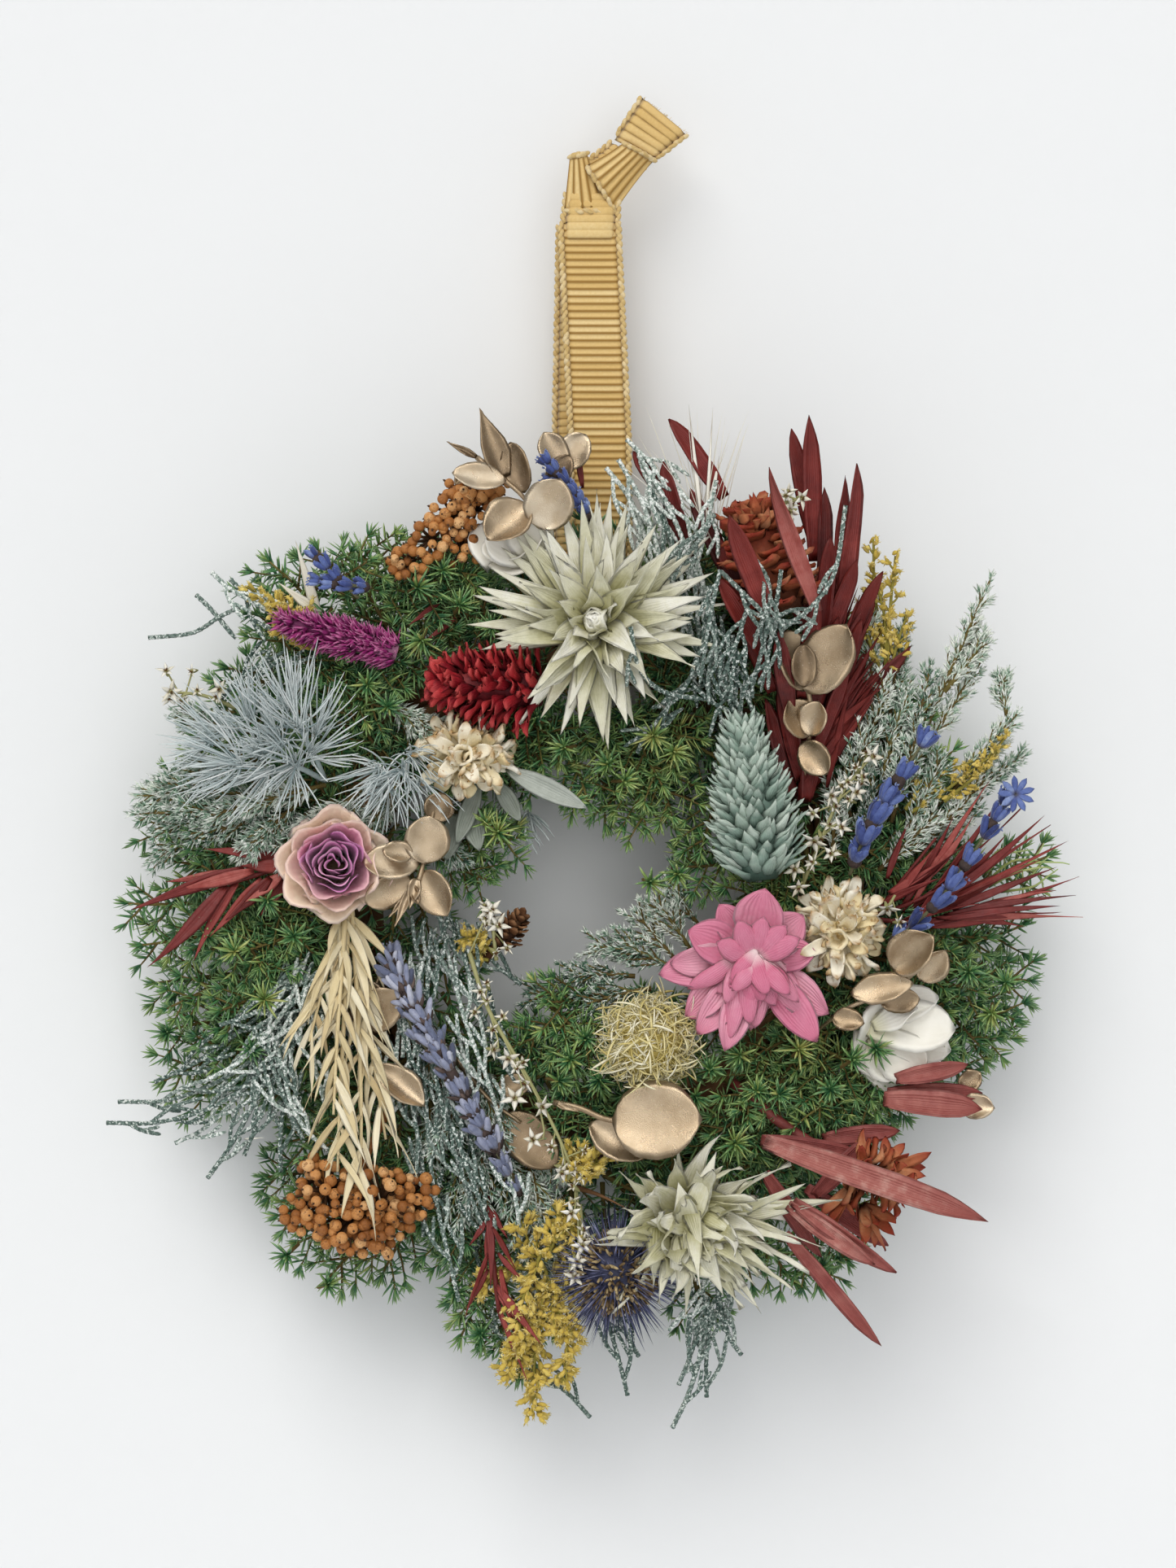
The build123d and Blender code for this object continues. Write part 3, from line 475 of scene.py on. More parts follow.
def ribbed(acc, C, S, W, pitch=2.0, amp=0.35, th=0.8, edge=True, taper=None, start=0.0, hump=0.0):
    """A ribbed strip along C (points) with S across it. Ribs run across the strip."""
    L = np.concatenate([[0], np.cumsum(np.linalg.norm(np.diff(C, axis=0), axis=1))])
    n = max(12, int(L[-1] / pitch * 8))
    s = np.linspace(0, L[-1], n)
    P = np.stack([np.interp(s, L, C[:, i]) for i in range(3)], 1)
    X = unit(np.stack([np.interp(s, L, S[:, i]) for i in range(3)], 1))
    T = tangents(P)
    Nn = unit(np.cross(X, T))
    W = np.interp(s, L, W) if np.ndim(W) else np.full(n, W)
    h = np.abs(np.sin(math.pi * (s + start) / pitch)) ** 1.15
    u = np.linspace(-1, 1, 9)
    rib = amp * h[:, None] * np.clip((1 - np.abs(u)) * 9, 0, 1)[None] ** 0.5
    G = P[:, None] + X[:, None] * (W[:, None] / 2 * u)[..., None] + Nn[:, None] * (rib + hump * (1 - u * u)[None])[..., None]
    c = np.zeros((n, 9, 3))
    idx = np.floor((s + start) / pitch).astype(int)
    tone = np.random.default_rng(5).uniform(0.25, 0.75, idx.max() + 2)
    c[..., 0] = tone[idx][:, None]
    c[..., 1] = (s / L[-1])[:, None]
    # blue holds the rib height, so the petersham finish paints shade into the grooves between ribs
    c[..., 2] = h[:, None]
    shell(acc, G, th, c=c)
    if edge:
        for sg in (-1, 1):
            k = np.arange(pitch * 0.5 - (start % pitch), L[-1], pitch)
            k = k[k > 0.3]
            Q = np.stack([np.interp(k, s, (P + X * (sg * W / 2)[:, None])[:, i]) for i in range(3)], 1)
            Tq = np.stack([np.interp(k, s, T[:, i]) for i in range(3)], 1)
            Xq = np.stack([np.interp(k, s, X[:, i]) for i in range(3)], 1) * sg
            d = unit(Tq + Xq * 0.35)
            for j, o in ((0, -0.35), (1, 0.55)):
                spindles(acc, Q + Xq * (0.12 + 0.4 * j) - d * 1.2 + Tq * o, d, 2.4, 1.55, (0, 0.2, 0.5, 0.8, 1), (0, 0.75, 1, 0.75, 0), 6, 0.85,
                         r=RNG.uniform(0.2, 0.9, len(k)), m=1)


def loop_points():
    """The ribbon's loop: down the front leg, round the ring and up the back leg."""
    a0 = math.asin((10.9 - 2.1) / 115.4)
    pts = []
    for z in np.linspace(0.0, 1.0, 60):
        y = -(2.1 + (10.9 - 2.1) * z)
        pts.append((np.interp(z, [0, 0.5, 1], [-0.4, 2.4, 3.0]), y, -1.6 - 115.4 * z))
    for a in np.linspace(a0, math.pi - a0, 40)[1:-1]:
        pts.append((3.0 * math.cos(a), -10.9 * math.cos(a), -117 - 10.9 * math.sin(a)))
    for z in np.linspace(1.0, 0.0, 60):
        y = 2.1 + (10.9 - 2.1) * z
        pts.append((np.interp(z, [0, 0.5, 1], [-0.9, -2.0, -3.0]), y, -1.6 - 115.4 * z))
    return A(pts)


RB = Acc()
lp = loop_points()
lp[:, 1] += 0.35 * np.sin(lp[:, 2] / 17.0) * np.clip((-lp[:, 2]) / 20, 0, 1) * (lp[:, 2] > -112)
ribbed(RB, lp, np.tile([1.0, 0, 0], (len(lp), 1)), 15.0)
loop = piece("ribbon_loop", RB, [RIB, EDGE], ["hanging_ribbon"], "hanger")


def quad_strip(acc, a, b, c, d, y0, y1, bow, **kw):
    """A ribbed strip between the side a-b (start) and d-c (end), points given as x, z."""
    k = 14
    t = np.linspace(0, 1, k)[:, None]
    a, b, c, d = (A([p[0], 0, p[1]], float) for p in (a, b, c, d))
    l, rr = a + (d - a) * t, b + (c - b) * t
    C = (l + rr) / 2
    C[:, 1] = y0 + (y1 - y0) * t[:, 0] - bow * np.sin(math.pi * t[:, 0])
    ribbed(acc, C, unit(rr - l), np.linalg.norm(rr - l, axis=1), **kw)


KN = Acc()
# folded panel at the left of the knot, its ribs upright
quad_strip(KN, (-7.2, 1.9), (-5.7, 16.2), (-0.9, 16.8), (3.3, 1.9), -1.6, -2.2, 1.0, pitch=1.95, amp=0.36, th=1.3)
# turn of the ribbon behind the knot, and the fold under it
quad_strip(KN, (-7.7, -5.4), (7.0, -5.4), (7.0, 6.1), (-6.4, 6.1), -1.3, -0.6, 0.3, pitch=2.0, amp=0.35, th=1.5)
quad_strip(KN, (-5.7, 3.5), (5.7, 4.0), (9.2, 15.0), (-3.1, 15.8), 0.9, 0.6, 0.2, pitch=2.0, amp=0.3, th=1.4, edge=False)
quad_strip(KN, (-4.8, 12.1), (4.0, 3.7), (14.1, 14.1), (5.7, 20.5), 2.2, 2.6, 0.3, pitch=2.0, amp=0.3, th=1.2)
# band across the front of the knot, its ribs along the slope
quad_strip(KN, (-1.1, 13.9), (8.6, 19.8), (16.9, 15.2), (6.8, 1.8), -3.0, -1.4, 1.7, pitch=2.1, amp=0.5, th=1.4, hump=0.6)
knot = piece("ribbon_knot", KN, [RIB, EDGE], None, "hanger")

TL = Acc()
quad_strip(TL, (6.4, 21.1), (16.9, 15.6), (25.7, 22.7), (13.9, 32.6), -0.2, 0.5, 0.9, pitch=2.25, amp=0.45, th=0.8, start=1.1)
frn = RNG.uniform(0, 1, (46, 1))
fa, fb = A([*(13.9, 32.6)]), A([*(25.7, 22.7)])
fp = fa + (fb - fa) * frn
fp = np.stack([fp[:, 0], np.full(46, 0.4), fp[:, 1]], 1)
spindles(TL, fp + wob(46, 0.2), A([0.62, 0, 0.75]) + wob(46, 0.3), RNG.uniform(0.5, 1.1, 46), 0.16, r=0.8, m=1)
fp2 = A([*(6.8, 13.9)])
tail = piece("ribbon_tail", TL, [RIB, EDGE], None, "hanger")

# ---------------------------------------------------------------- cane ring and wire
CANE = material("cane_bark", [(0, "#3d2a1c"), (0.5, "#6b4c33"), (1, "#94714d")], rough=(0.7, 0.9), spec=0.2, noise=(260.0, 0.8), bump=(900.0, 0.7), fibre=(30.0, 0.5))
VR = Acc()
th_ = np.linspace(0, TAU, 181)
for i in range(7):
    ph = i * TAU / 6
    tw = 2 * (1 if i < 6 else 0)
    rad = 6.0 if i < 6 else 0.0
    ang = ph + tw * th_
    off = rad + 0.35 * np.sin(th_ * 7 + i)
    R = 65 + off * np.cos(ang)
    pa = np.stack([R * np.cos(th_), off * np.sin(ang), -182 + R * np.sin(th_)], 1)
    tube(VR, pa, 2.85 + 0.18 * np.sin(th_ * 11 + i * 2) - 0.1, 8, r=RNG.uniform(0.2, 0.8), b=0.3 + 0.1 * i)
piece("cane_ring", VR, [CANE], ["vine_ring"])
WIRE = material("florist_wire_finish", [(0, "#3a4a34"), (1, "#5c6b4c")], rough=(0.3, 0.45), spec=0.5, metal=0.6, noise=(900.0, 0.6), bump=(2500.0, 0.1))
wire_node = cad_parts["binding_wire"]
wire_node.data.materials.clear()
wire_node.data.materials.append(WIRE)

# ---------------------------------------------------------------- greens
TWIG = material("green_twig", [(0, "#4a3a22"), (0.5, "#6a5a32"), (1, "#7f7a42")], rough=(0.7, 0.85), spec=0.2, bump=(2000.0, 0.3))
HIM = material("himuro_needles", [(0, "#1f4430"), (0.28, "#3a6f4a"), (0.5, "#558a55"), (0.75, "#8da85c"), (1, "#c3c274")], tip="#a3bf7c", tip_at=(0.4, 1.35),
               base="#3a5a2c", base_at=(0, 0.25), rough=(0.28, 0.45), spec=0.6, noise=(230.0, 0.6), bump=(2400.0, 0.15))
FRO = material("frosted_needles", [(0, "#2a4638"), (0.35, "#50755d"), (0.65, "#93b099"), (1, "#eef3e8")], tip="#f6f8ee", tip_at=(0.48, 1.12),
               rough=(0.6, 0.8), spec=0.25, noise=(500.0, 0.8), bump=(2400.0, 0.3), fleck=("#f6f8f2", 620.0, 0.54, 0.85))
# The dark third colour in both thread cypress finishes is painted shade in the recesses between the scales.
THR = material("thread_cypress_scales", [(0, "#3d5249"), (0.5, "#6f837a"), (1, "#a9b7ad")], rough=(0.6, 0.85), spec=0.25, noise=(900.0, 0.8),
               bump=(2600.0, 0.4), painted_recess_shade=("#1a2c28", 0.12, 0.7), fleck=("#e6ece6", 1250.0, 0.54, 0.85))
THR2 = material("thread_cypress_frosted", [(0, "#62776c"), (0.5, "#9cada2"), (1, "#d6dfd6")], rough=(0.6, 0.85), spec=0.25, noise=(900.0, 0.8),
                bump=(2600.0, 0.4), painted_recess_shade=("#203f3c", 0.1, 0.64), fleck=("#f6f9f5", 1150.0, 0.5, 0.9))


class Sprays:
    """Gathers needles for one piece, so that they are meshed in one go."""

    def __init__(self):
        self.p, self.d, self.l, self.w, self.r, self.b, self.k = [], [], [], [], [], [], []
        self.acc = Acc()

    def dress(self, path, L0, pitch, spread=0.95, w=0.78, tone=0.5, from_=0.0, tuft=7, droop=None, end=0.55):
        ln = length_of(path)
        n = max(3, int(ln / pitch))
        t = np.sort(RNG.uniform(from_, 1, n))
        x = t * (len(path) - 1)
        i = np.minimum(x.astype(int), len(path) - 2)
        f = (x - i)[:, None]
        P = path[i] * (1 - f) + path[i + 1] * f
        T = unit(path[i + 1] - path[i])
        u, v = perp(T)
        a = RNG.uniform(0, TAU, n)[:, None]
        rad = np.cos(a) * u + np.sin(a) * v
        sp = (spread * (1 - 0.35 * t**3) + RNG.normal(0, 0.12, n))[:, None]
        D = np.cos(sp) * T + np.sin(sp) * rad
        L = L0 * RNG.uniform(0.75, 1.12, n) * np.clip(0.6 + 3 * (1 - t), end, 1)
        if tuft:
            m = tuft
            a = RNG.uniform(0, TAU, m)[:, None]
            u2, v2 = perp(T[-1:])
            sp2 = RNG.uniform(0.15, 0.75, m)[:, None]
            D2 = np.cos(sp2) * T[-1] + np.sin(sp2) * (np.cos(a) * u2 + np.sin(a) * v2)
            P = np.vstack([P, np.repeat(path[-1:], m, 0)])
            D = np.vstack([D, D2])
            L = np.concatenate([L, L0 * RNG.uniform(0.6, 0.85, m)])
            t = np.concatenate([t, np.ones(m)])
        self.p.append(P)
        self.d.append(D)
        self.l.append(L)
        self.w.append(np.full(len(P), w))
        self.r.append(np.clip(tone + RNG.normal(0, 0.13, len(P)), 0, 1))
        self.b.append(RNG.uniform(0, 1, len(P)))

    def mesh(self, ts=(0, 0.25, 0.72, 1), rs=(0.65, 1, 0.8, 0), sides=3, flat=0.4, curve=0.1, ymax=18.6, ymin=-44.0):
        P, D, L = np.concatenate(self.p), np.concatenate(self.d), np.concatenate(self.l)
        W, r, b = np.concatenate(self.w), np.concatenate(self.r), np.concatenate(self.b)
        tip = P + D * L[:, None]
        over = tip[:, 1] > ymax
        D[over, 1] -= (tip[over, 1] - ymax) / L[over]
        D = unit(D)
        tip = P + D * L[:, None]
        keep = clear_of_ribbon(P) & clear_of_ribbon(tip) & (P[:, 1] < ymax)
        P, D, L, W, r, b = P[keep], D[keep], L[keep], W[keep], r[keep], b[keep]
        bend = unit(wob(len(P), 1.0)) * (L * curve)[:, None]
        bend[:, 1] = np.minimum(bend[:, 1], np.where(P[:, 1] > 12, 0, bend[:, 1]))
        spindles(self.acc, P, D, L, W, ts, rs, sides, flat, bend, r, b)
        return self.acc


def clear_of_ribbon(P):
    """False inside the space that the ribbon and its swing need."""
    return ~((np.abs(P[:, 0]) < 13.2) & (P[:, 2] > -134) & (P[:, 1] > -14.4) & (P[:, 1] < 15.0))


def himuro(sp, P, d, L, lift=A([0, -1.0, 0]), bend=0.25, twigs=5, L0=5.9, tone=0.5, pitch=0.6, tw=(8, 15), w=0.86, spread=1.22, angle=0.85, tuft=9, start=0.12):
    """A sprig: a stem from P along d with side twigs, all dressed with needles."""
    d = unit(d)
    side = unit(np.cross(d, lift + 1e-3))
    t = np.linspace(0, 1, 9)[:, None]
    sway = RNG.normal(0, 0.12)
    path = P + d * L * t + lift * (bend * L * 0.5) * t * t + side * (sway * L) * t * t
    sp_acc = sp.acc
    ok = clear_of_ribbon(path[::4]).all()
    if ok:
        tube(sp_acc, path[::2], np.linspace(0.75, 0.3, 5), 5, r=RNG.uniform(0.3, 0.7), m=1)
    sp.dress(path, L0, pitch, spread, w, tone, from_=start, tuft=tuft)
    for i in range(twigs):
        f = 0.18 + 0.72 * (i + RNG.uniform(0, 0.6)) / max(1, twigs)
        q = path[0] + (path[-1] - path[0]) * 0
        x = f * 8
        j = min(int(x), 7)
        q = path[j] * (1 - (x - j)) + path[j + 1] * (x - j)
        T = unit(path[j + 1] - path[j])
        sg = 1 if i % 2 else -1
        o = unit(side * sg + lift * RNG.uniform(-0.35, 0.45))
        dd = unit(T * math.cos(angle) + o * math.sin(angle))
        l = RNG.uniform(*tw) * (1.1 - 0.4 * f)
        s = np.linspace(0, 1, 5)[:, None]
        pth = q + dd * l * s + T * (l * 0.16) * s * s
        if ok and clear_of_ribbon(pth[::2]).all():
            tube(sp_acc, pth[::2], (0.4, 0.3, 0.2), 4, r=RNG.uniform(0.3, 0.8), m=1, caps=False)
        sp.dress(pth, L0 * 0.93, pitch, spread, w, np.clip(tone + RNG.normal(0, 0.08), 0, 1), tuft=tuft)
    return path


PADS = [("cypress_top_right", 45, 90, 104), ("cypress_right_upper", 0, 45, 104), ("cypress_right_lower", -45, 0, 111), ("cypress_bottom_right", -90, -45, 108),
        ("cypress_bottom_left", 225, 270, 110), ("cypress_left_lower", 180, 225, 112), ("cypress_left_upper", 135, 180, 110), ("cypress_top_left", 90, 135, 104),
        ("cypress_inner_top", 74, 106, 64)]
# sprigs that make the outline: tip, root, pad they belong to
EDGE_SPRIGS = [
    ((-85.2, -14.0, -86.0), (-71.3, -8.0, -108.5), 7), ((-75.1, -12.0, -84.6), (-62.6, -8.0, -104.1), 7), ((-64.9, -15.0, -92.1), (-56.0, -9.0, -108.5), 7), ((-93.3, -6.0, -95.3), (-78.3, 0.0, -114.8), 7),
    ((-101.8, -4.0, -117.1), (-82.8, 2.0, -128.0), 6), ((-121.7, -8.0, -152.2), (-102.2, -4.0, -158.8), 6), ((-124.1, -10.0, -163.2), (-104.3, -6.0, -167.6), 6), ((-107.2, 4.0, -123.6), (-89.6, 4.0, -134.6), 6), ((-112.6, 2.0, -139.0), (-94.1, 6.0, -145.6), 6),
    ((-129.4, -12.0, -188.9), (-106.4, -8.0, -185.1), 5), ((-125.9, -10.0, -198.6), (-104.3, -6.0, -193.9), 5), ((-119.6, -12.0, -214.7), (-99.8, -8.0, -206.9), 5), ((-118.3, -6.0, -221.5), (-98.1, 0.0, -216.0), 5),
    ((-121.1, -4.0, -233.4), (-98.2, 2.0, -224.9), 5), ((-123.9, 6.0, -207.4), (-103.1, 8.0, -205.3), 5), ((-113.8, 4.0, -236.1), (-94.1, 6.0, -234.0), 5),
    ((-88.2, -12.0, -272.7), (-71.3, -8.0, -263.8), 4), ((-83.2, -8.0, -280.9), (-64.9, -4.0, -270.7), 4), ((-73.4, -10.0, -290.3), (-60.5, -6.0, -274.9), 4), ((-59.8, -12.0, -289.3), (-49.5, -8.0, -272.6), 4),
    ((-39.5, -14.0, -293.0), (-36.3, -10.0, -270.2), 4), ((-36.3, -10.0, -307.0), (-27.6, -8.0, -285.7), 4), ((-24.9, -12.0, -312.0), (-23.2, -8.0, -290.1), 4), ((-18.8, -6.0, -312.2), (-16.7, -4.0, -292.7), 4), ((-94.0, 4.0, -258.1), (-76.5, 8.0, -258.4), 4),
    ((68.6, -10.0, -289.5), (55.6, -8.0, -272.6), 3), ((73.2, -14.0, -284.3), (59.9, -10.0, -270.2), 3), ((60.0, -6.0, -290.7), (47.0, -4.0, -277.3), 3), ((51.3, -4.0, -286.1), (38.3, 0.0, -277.6), 3), ((29.5, 2.0, -304.2), (27.4, 6.0, -284.8), 3), ((78.0, 2.0, -275.6), (62.7, 6.0, -267.1), 3),
    ((123.7, -10.0, -206.0), (101.5, -8.0, -204.8), 2), ((119.8, -12.0, -215.5), (99.3, -8.0, -211.3), 2), ((117.3, -8.0, -226.6), (99.5, -6.0, -220.2), 2), ((109.6, -12.0, -226.4), (95.0, -8.0, -213.5), 2),
    ((122.7, -6.0, -193.9), (101.8, -4.0, -196.1), 2), ((112.2, -12.0, -193.7), (92.8, -8.0, -193.8), 2), ((107.7, 2.0, -235.9), (91.4, 6.0, -227.3), 2), ((119.1, 6.0, -203.0), (98.2, 8.0, -203.1), 2),
    ((128.2, -8.0, -171.1), (108.2, -6.0, -178.5), 1), ((99.9, 0.0, -152.2), (82.5, 4.0, -156.6), 1), ((104.6, 4.0, -169.9), (84.9, 8.0, -172.1), 1), ((78.2, 6.0, -116.9), (69.5, 8.0, -132.3), 1),
    ((56.0, 4.0, -94.9), (45.1, 8.0, -114.6), 0), ((38.4, 6.0, -90.4), (31.9, 8.0, -112.4), 0), ((71.6, 6.0, -108.1), (56.2, 8.0, -121.3), 0),
]
# sprigs seen inside: tip, root, pad, tone
FACE_SPRIGS = [
    ((-38.6, -20.0, -105.6), (-55.9, -12.0, -99.9), 7, 0.45), ((-27.4, -18.0, -95.7), (-45.0, -12.0, -95.5), 7, 0.55), ((-55.7, -18.0, -95.7), (-71.2, -12.0, -99.9), 7, 0.5), ((-36.0, -20.0, -117.5), (-53.6, -14.0, -115.2), 7, 0.4),
    ((-66.4, -20.0, -130.5), (-79.8, -14.0, -117.4), 6, 0.45), ((-53.4, -20.0, -134.9), (-66.7, -14.0, -128.3), 6, 0.5), ((-49.1, -20.0, -124.0), (-62.3, -14.0, -119.5), 7, 0.4), ((-44.8, -16.0, -95.6), (-60.3, -10.0, -93.2), 7, 0.55), ((-88.4, -16.0, -104.4), (-77.8, -10.0, -117.3), 7, 0.45),
    ((-5.6, -22.0, -145.7), (-18.8, -14.0, -134.8), 8, 0.5), ((3.0, -22.0, -158.7), (-5.7, -14.0, -143.5), 8, 0.5), ((9.5, -22.0, -143.6), (-1.3, -14.0, -134.8), 8, 0.6), ((18.2, -22.0, -156.6), (11.8, -14.0, -139.2), 8, 0.6),
    ((24.7, -20.0, -163.1), (16.1, -12.0, -145.7), 0, 0.62), ((29.0, -22.0, -145.7), (20.5, -14.0, -134.8), 0, 0.6), ((16.1, -18.0, -167.5), (11.8, -12.0, -150.1), 0, 0.6), ((-7.8, -18.0, -152.2), (-16.6, -12.0, -139.1), 8, 0.5), ((29.1, -18.0, -174.0), (33.6, -12.0, -156.6), 1, 0.6),
    ((3.0, -14.0, -163.1), (7.4, -8.0, -145.7), 8, 0.5), ((-36.1, -18.0, -150.1), (-49.3, -12.0, -143.5), 6, 0.45), ((-18.7, -20.0, -143.6), (-31.8, -14.0, -134.8), 7, 0.45),
    ((37.8, -20.0, -184.8), (51.0, -14.0, -178.4), 1, 0.6), ((24.8, -14.0, -180.6), (38.1, -8.0, -174.1), 1, 0.5), ((44.3, -20.0, -180.5), (55.4, -14.0, -174.0), 1, 0.6),
    ((-107.8, -18.0, -178.3), (-88.6, -12.0, -182.8), 5, 0.42), ((-110.0, -18.0, -191.4), (-90.8, -12.0, -191.5), 5, 0.45), ((-85.9, -22.0, -208.6), (-92.9, -14.0, -193.6), 5, 0.55), ((-101.3, -18.0, -215.3), (-86.4, -12.0, -209.0), 5, 0.42),
    ((-75.1, -20.0, -202.2), (-84.1, -14.0, -187.1), 5, 0.45), ((-105.8, -16.0, -226.2), (-88.7, -10.0, -220.0), 5, 0.42), ((-92.5, -20.0, -200.0), (-79.8, -14.0, -193.6), 5, 0.5), ((-97.2, -14.0, -232.9), (-82.3, -8.0, -222.3), 5, 0.4),
    ((-25.2, -18.0, -167.5), (-38.4, -12.0, -158.8), 5, 0.5), ((-18.7, -16.0, -174.0), (-31.9, -10.0, -169.7), 5, 0.5), ((-27.4, -16.0, -182.7), (-38.5, -10.0, -174.1), 5, 0.5), ((-107.8, -18.0, -163.1), (-90.8, -12.0, -169.7), 6, 0.45), ((-114.6, -14.0, -174.0), (-95.4, -8.0, -176.3), 5, 0.42),
    ((-84.1, -14.0, -248.1), (-67.0, -8.0, -246.3), 4, 0.4), ((-75.2, -18.0, -234.8), (-62.5, -10.0, -226.5), 5, 0.4), ((-62.3, -16.0, -256.7), (-51.6, -10.0, -248.4), 4, 0.4), ((-36.1, -18.0, -256.6), (-40.6, -12.0, -241.7), 4, 0.4), ((-31.7, -20.0, -278.1), (-36.2, -14.0, -261.2), 4, 0.42), ((-27.4, -18.0, -295.7), (-29.7, -12.0, -276.6), 4, 0.45),
    ((-23.0, -20.0, -226.0), (-7.9, -14.0, -217.6), 4, 0.5), ((-5.7, -20.0, -234.7), (-1.3, -14.0, -217.6), 4, 0.5), ((-14.3, -20.0, -213.0), (-1.3, -14.0, -211.1), 4, 0.5), ((3.0, -22.0, -225.9), (-7.8, -16.0, -215.4), 4, 0.52), ((-7.8, -20.0, -247.7), (3.0, -14.0, -235.1), 3, 0.45), ((7.4, -20.0, -252.1), (11.8, -14.0, -235.1), 3, 0.45),
    ((33.3, -24.0, -236.7), (46.6, -16.0, -226.2), 3, 0.52), ((44.1, -24.0, -243.2), (53.1, -16.0, -228.4), 3, 0.52), ((59.3, -24.0, -245.3), (61.8, -16.0, -228.4), 3, 0.5), ((76.7, -22.0, -243.3), (68.4, -14.0, -228.5), 2, 0.52), ((78.8, -24.0, -232.3), (66.2, -16.0, -226.2), 2, 0.56),
    ((31.2, -22.0, -249.8), (44.4, -16.0, -239.3), 3, 0.45), ((50.7, -22.0, -223.8), (61.8, -16.0, -219.7), 2, 0.56), ((37.7, -22.0, -228.1), (50.9, -16.0, -221.9), 3, 0.55), ((72.4, -22.0, -221.6), (81.5, -14.0, -215.4), 2, 0.5), ((33.5, -16.0, -256.7), (42.4, -10.0, -244.0), 3, 0.4), ((70.3, -20.0, -252.1), (61.9, -14.0, -237.2), 3, 0.48),
    ((98.8, -16.0, -195.8), (83.9, -10.0, -198.1), 2, 0.5), ((105.3, -16.0, -211.0), (90.5, -10.0, -204.7), 2, 0.55), ((94.5, -16.0, -204.5), (81.7, -10.0, -204.7), 2, 0.5), ((77.1, -14.0, -180.6), (68.7, -8.0, -167.6), 1, 0.45), ((57.5, -14.0, -187.1), (62.1, -8.0, -171.9), 1, 0.45),
    ((81.6, -12.0, -132.6), (71.0, -6.0, -139.1), 1, 0.45), ((51.1, -12.0, -130.4), (44.7, -6.0, -117.2), 0, 0.4), ((62.1, -10.0, -139.1), (55.7, -6.0, -125.9), 1, 0.4), ((37.9, -16.0, -130.5), (29.3, -8.0, -117.2), 0, 0.4), ((26.9, -18.0, -130.5), (20.5, -10.0, -117.3), 0, 0.45),
    ((16.1, -12.0, -270.1), (14.0, -8.0, -255.1), 3, 0.38), ((37.9, -14.0, -283.0), (35.9, -8.0, -263.8), 3, 0.38), ((-5.7, -14.0, -278.6), (-5.7, -8.0, -261.6), 4, 0.4), ((50.9, -16.0, -265.4), (44.6, -8.0, -252.9), 3, 0.42), ((3.1, -8.0, -283.5), (3.1, -4.0, -266.3), 4, 0.38),
]
for k, (node, a0, a1, ro) in enumerate(PADS):
    sp = Sprays()
    for tip, root, pad in EDGE_SPRIGS:
        if pad == k:
            tip, root = A(tip, float), A(root, float)
            d = tip - root
            himuro(sp, root - unit(d) * 6, unit(d), np.linalg.norm(d), bend=0.1, twigs=5, tone=0.48 + RNG.normal(0, 0.08), tw=(6, 11), pitch=0.58)
    for tip, root, pad, tone in FACE_SPRIGS:
        if pad == k:
            tip, root = A(tip, float), A(root, float)
            d = tip - root
            himuro(sp, root - unit(d) * 6, unit(d), np.linalg.norm(d) + 3, bend=0.12, twigs=6, tone=tone + 0.04, tw=(7, 12), pitch=0.56)
    inner = node == "cypress_inner_top"
    nf, nb, ns = (6, 6, 0) if inner else (17, 15, 8)
    for kind, n in (("front", nf), ("back", nb), ("side", ns)):
        for _ in range(n):
            th = math.radians(RNG.uniform(a0 + 2, a1 - 2))
            rad, tan = A([math.cos(th), 0, math.sin(th)]), A([-math.sin(th), 0, math.cos(th)])
            if kind == "front":
                rho, y = (RNG.uniform(30, 50) if inner else RNG.uniform(48, 82)), RNG.uniform(-13, -8)
                hd = RNG.uniform(-2.4, 2.4) if rho < 60 else RNG.uniform(-1.1, 1.1)
                lift, lean = A([0, -1.0, 0]), -0.12
            elif kind == "back":
                rho, y = (RNG.uniform(34, 50) if inner else RNG.uniform(46, 86)), RNG.uniform(10, 15.5)
                hd = RNG.uniform(-2.6, 2.6) if rho < 62 else RNG.uniform(-1.2, 1.2)
                lift, lean = A([0, 0.5, 0]), 0.03
            else:
                rho, y = RNG.uniform(74, 86), RNG.uniform(-6, 12)
                hd = RNG.uniform(-0.8, 0.8)
                lift, lean = A([0, RNG.uniform(-0.6, 0.4), 0]), RNG.uniform(-0.1, 0.1)
            d = math.cos(hd) * rad + math.sin(hd) * tan
            L = RNG.uniform(20, 30)
            far = np.linalg.norm(rad * rho + d * L)
            if not inner and far > ro - 6:
                L = max(12, L - (far - ro + 6))
            near = np.linalg.norm(rad * rho + d * L)
            if near < 40:
                L = max(8, L - (40 - near))
            P = RING + rad * rho + A([0, y, 0])
            himuro(sp, P, d + A([0, lean, 0]), L, lift=lift, bend=0.2, twigs=5, tone=RNG.uniform(0.25, 0.6), tw=(7, 11), pitch=0.62)
    acc = sp.mesh()
    piece("himuro_" + node[8:], acc, [HIM, TWIG], [node])


# ---------------------------------------------------------------- frosted and thread foliage
def towards(tip, root):
    tip, root = A(tip, float), A(root, float)
    return root, unit(tip - root), float(np.linalg.norm(tip - root))


def plume(sp, tip, root, twigs=12, L0=3.8, tone=0.5, tw=(9, 17), pitch=0.36, bend=0.1, angle=0.55):
    P, d, L = towards(tip, root)
    himuro(sp, P, d, L, bend=bend, twigs=twigs, L0=L0, tone=tone, pitch=pitch, tw=tw, w=0.72, spread=0.72, angle=angle, tuft=5, start=0.05)


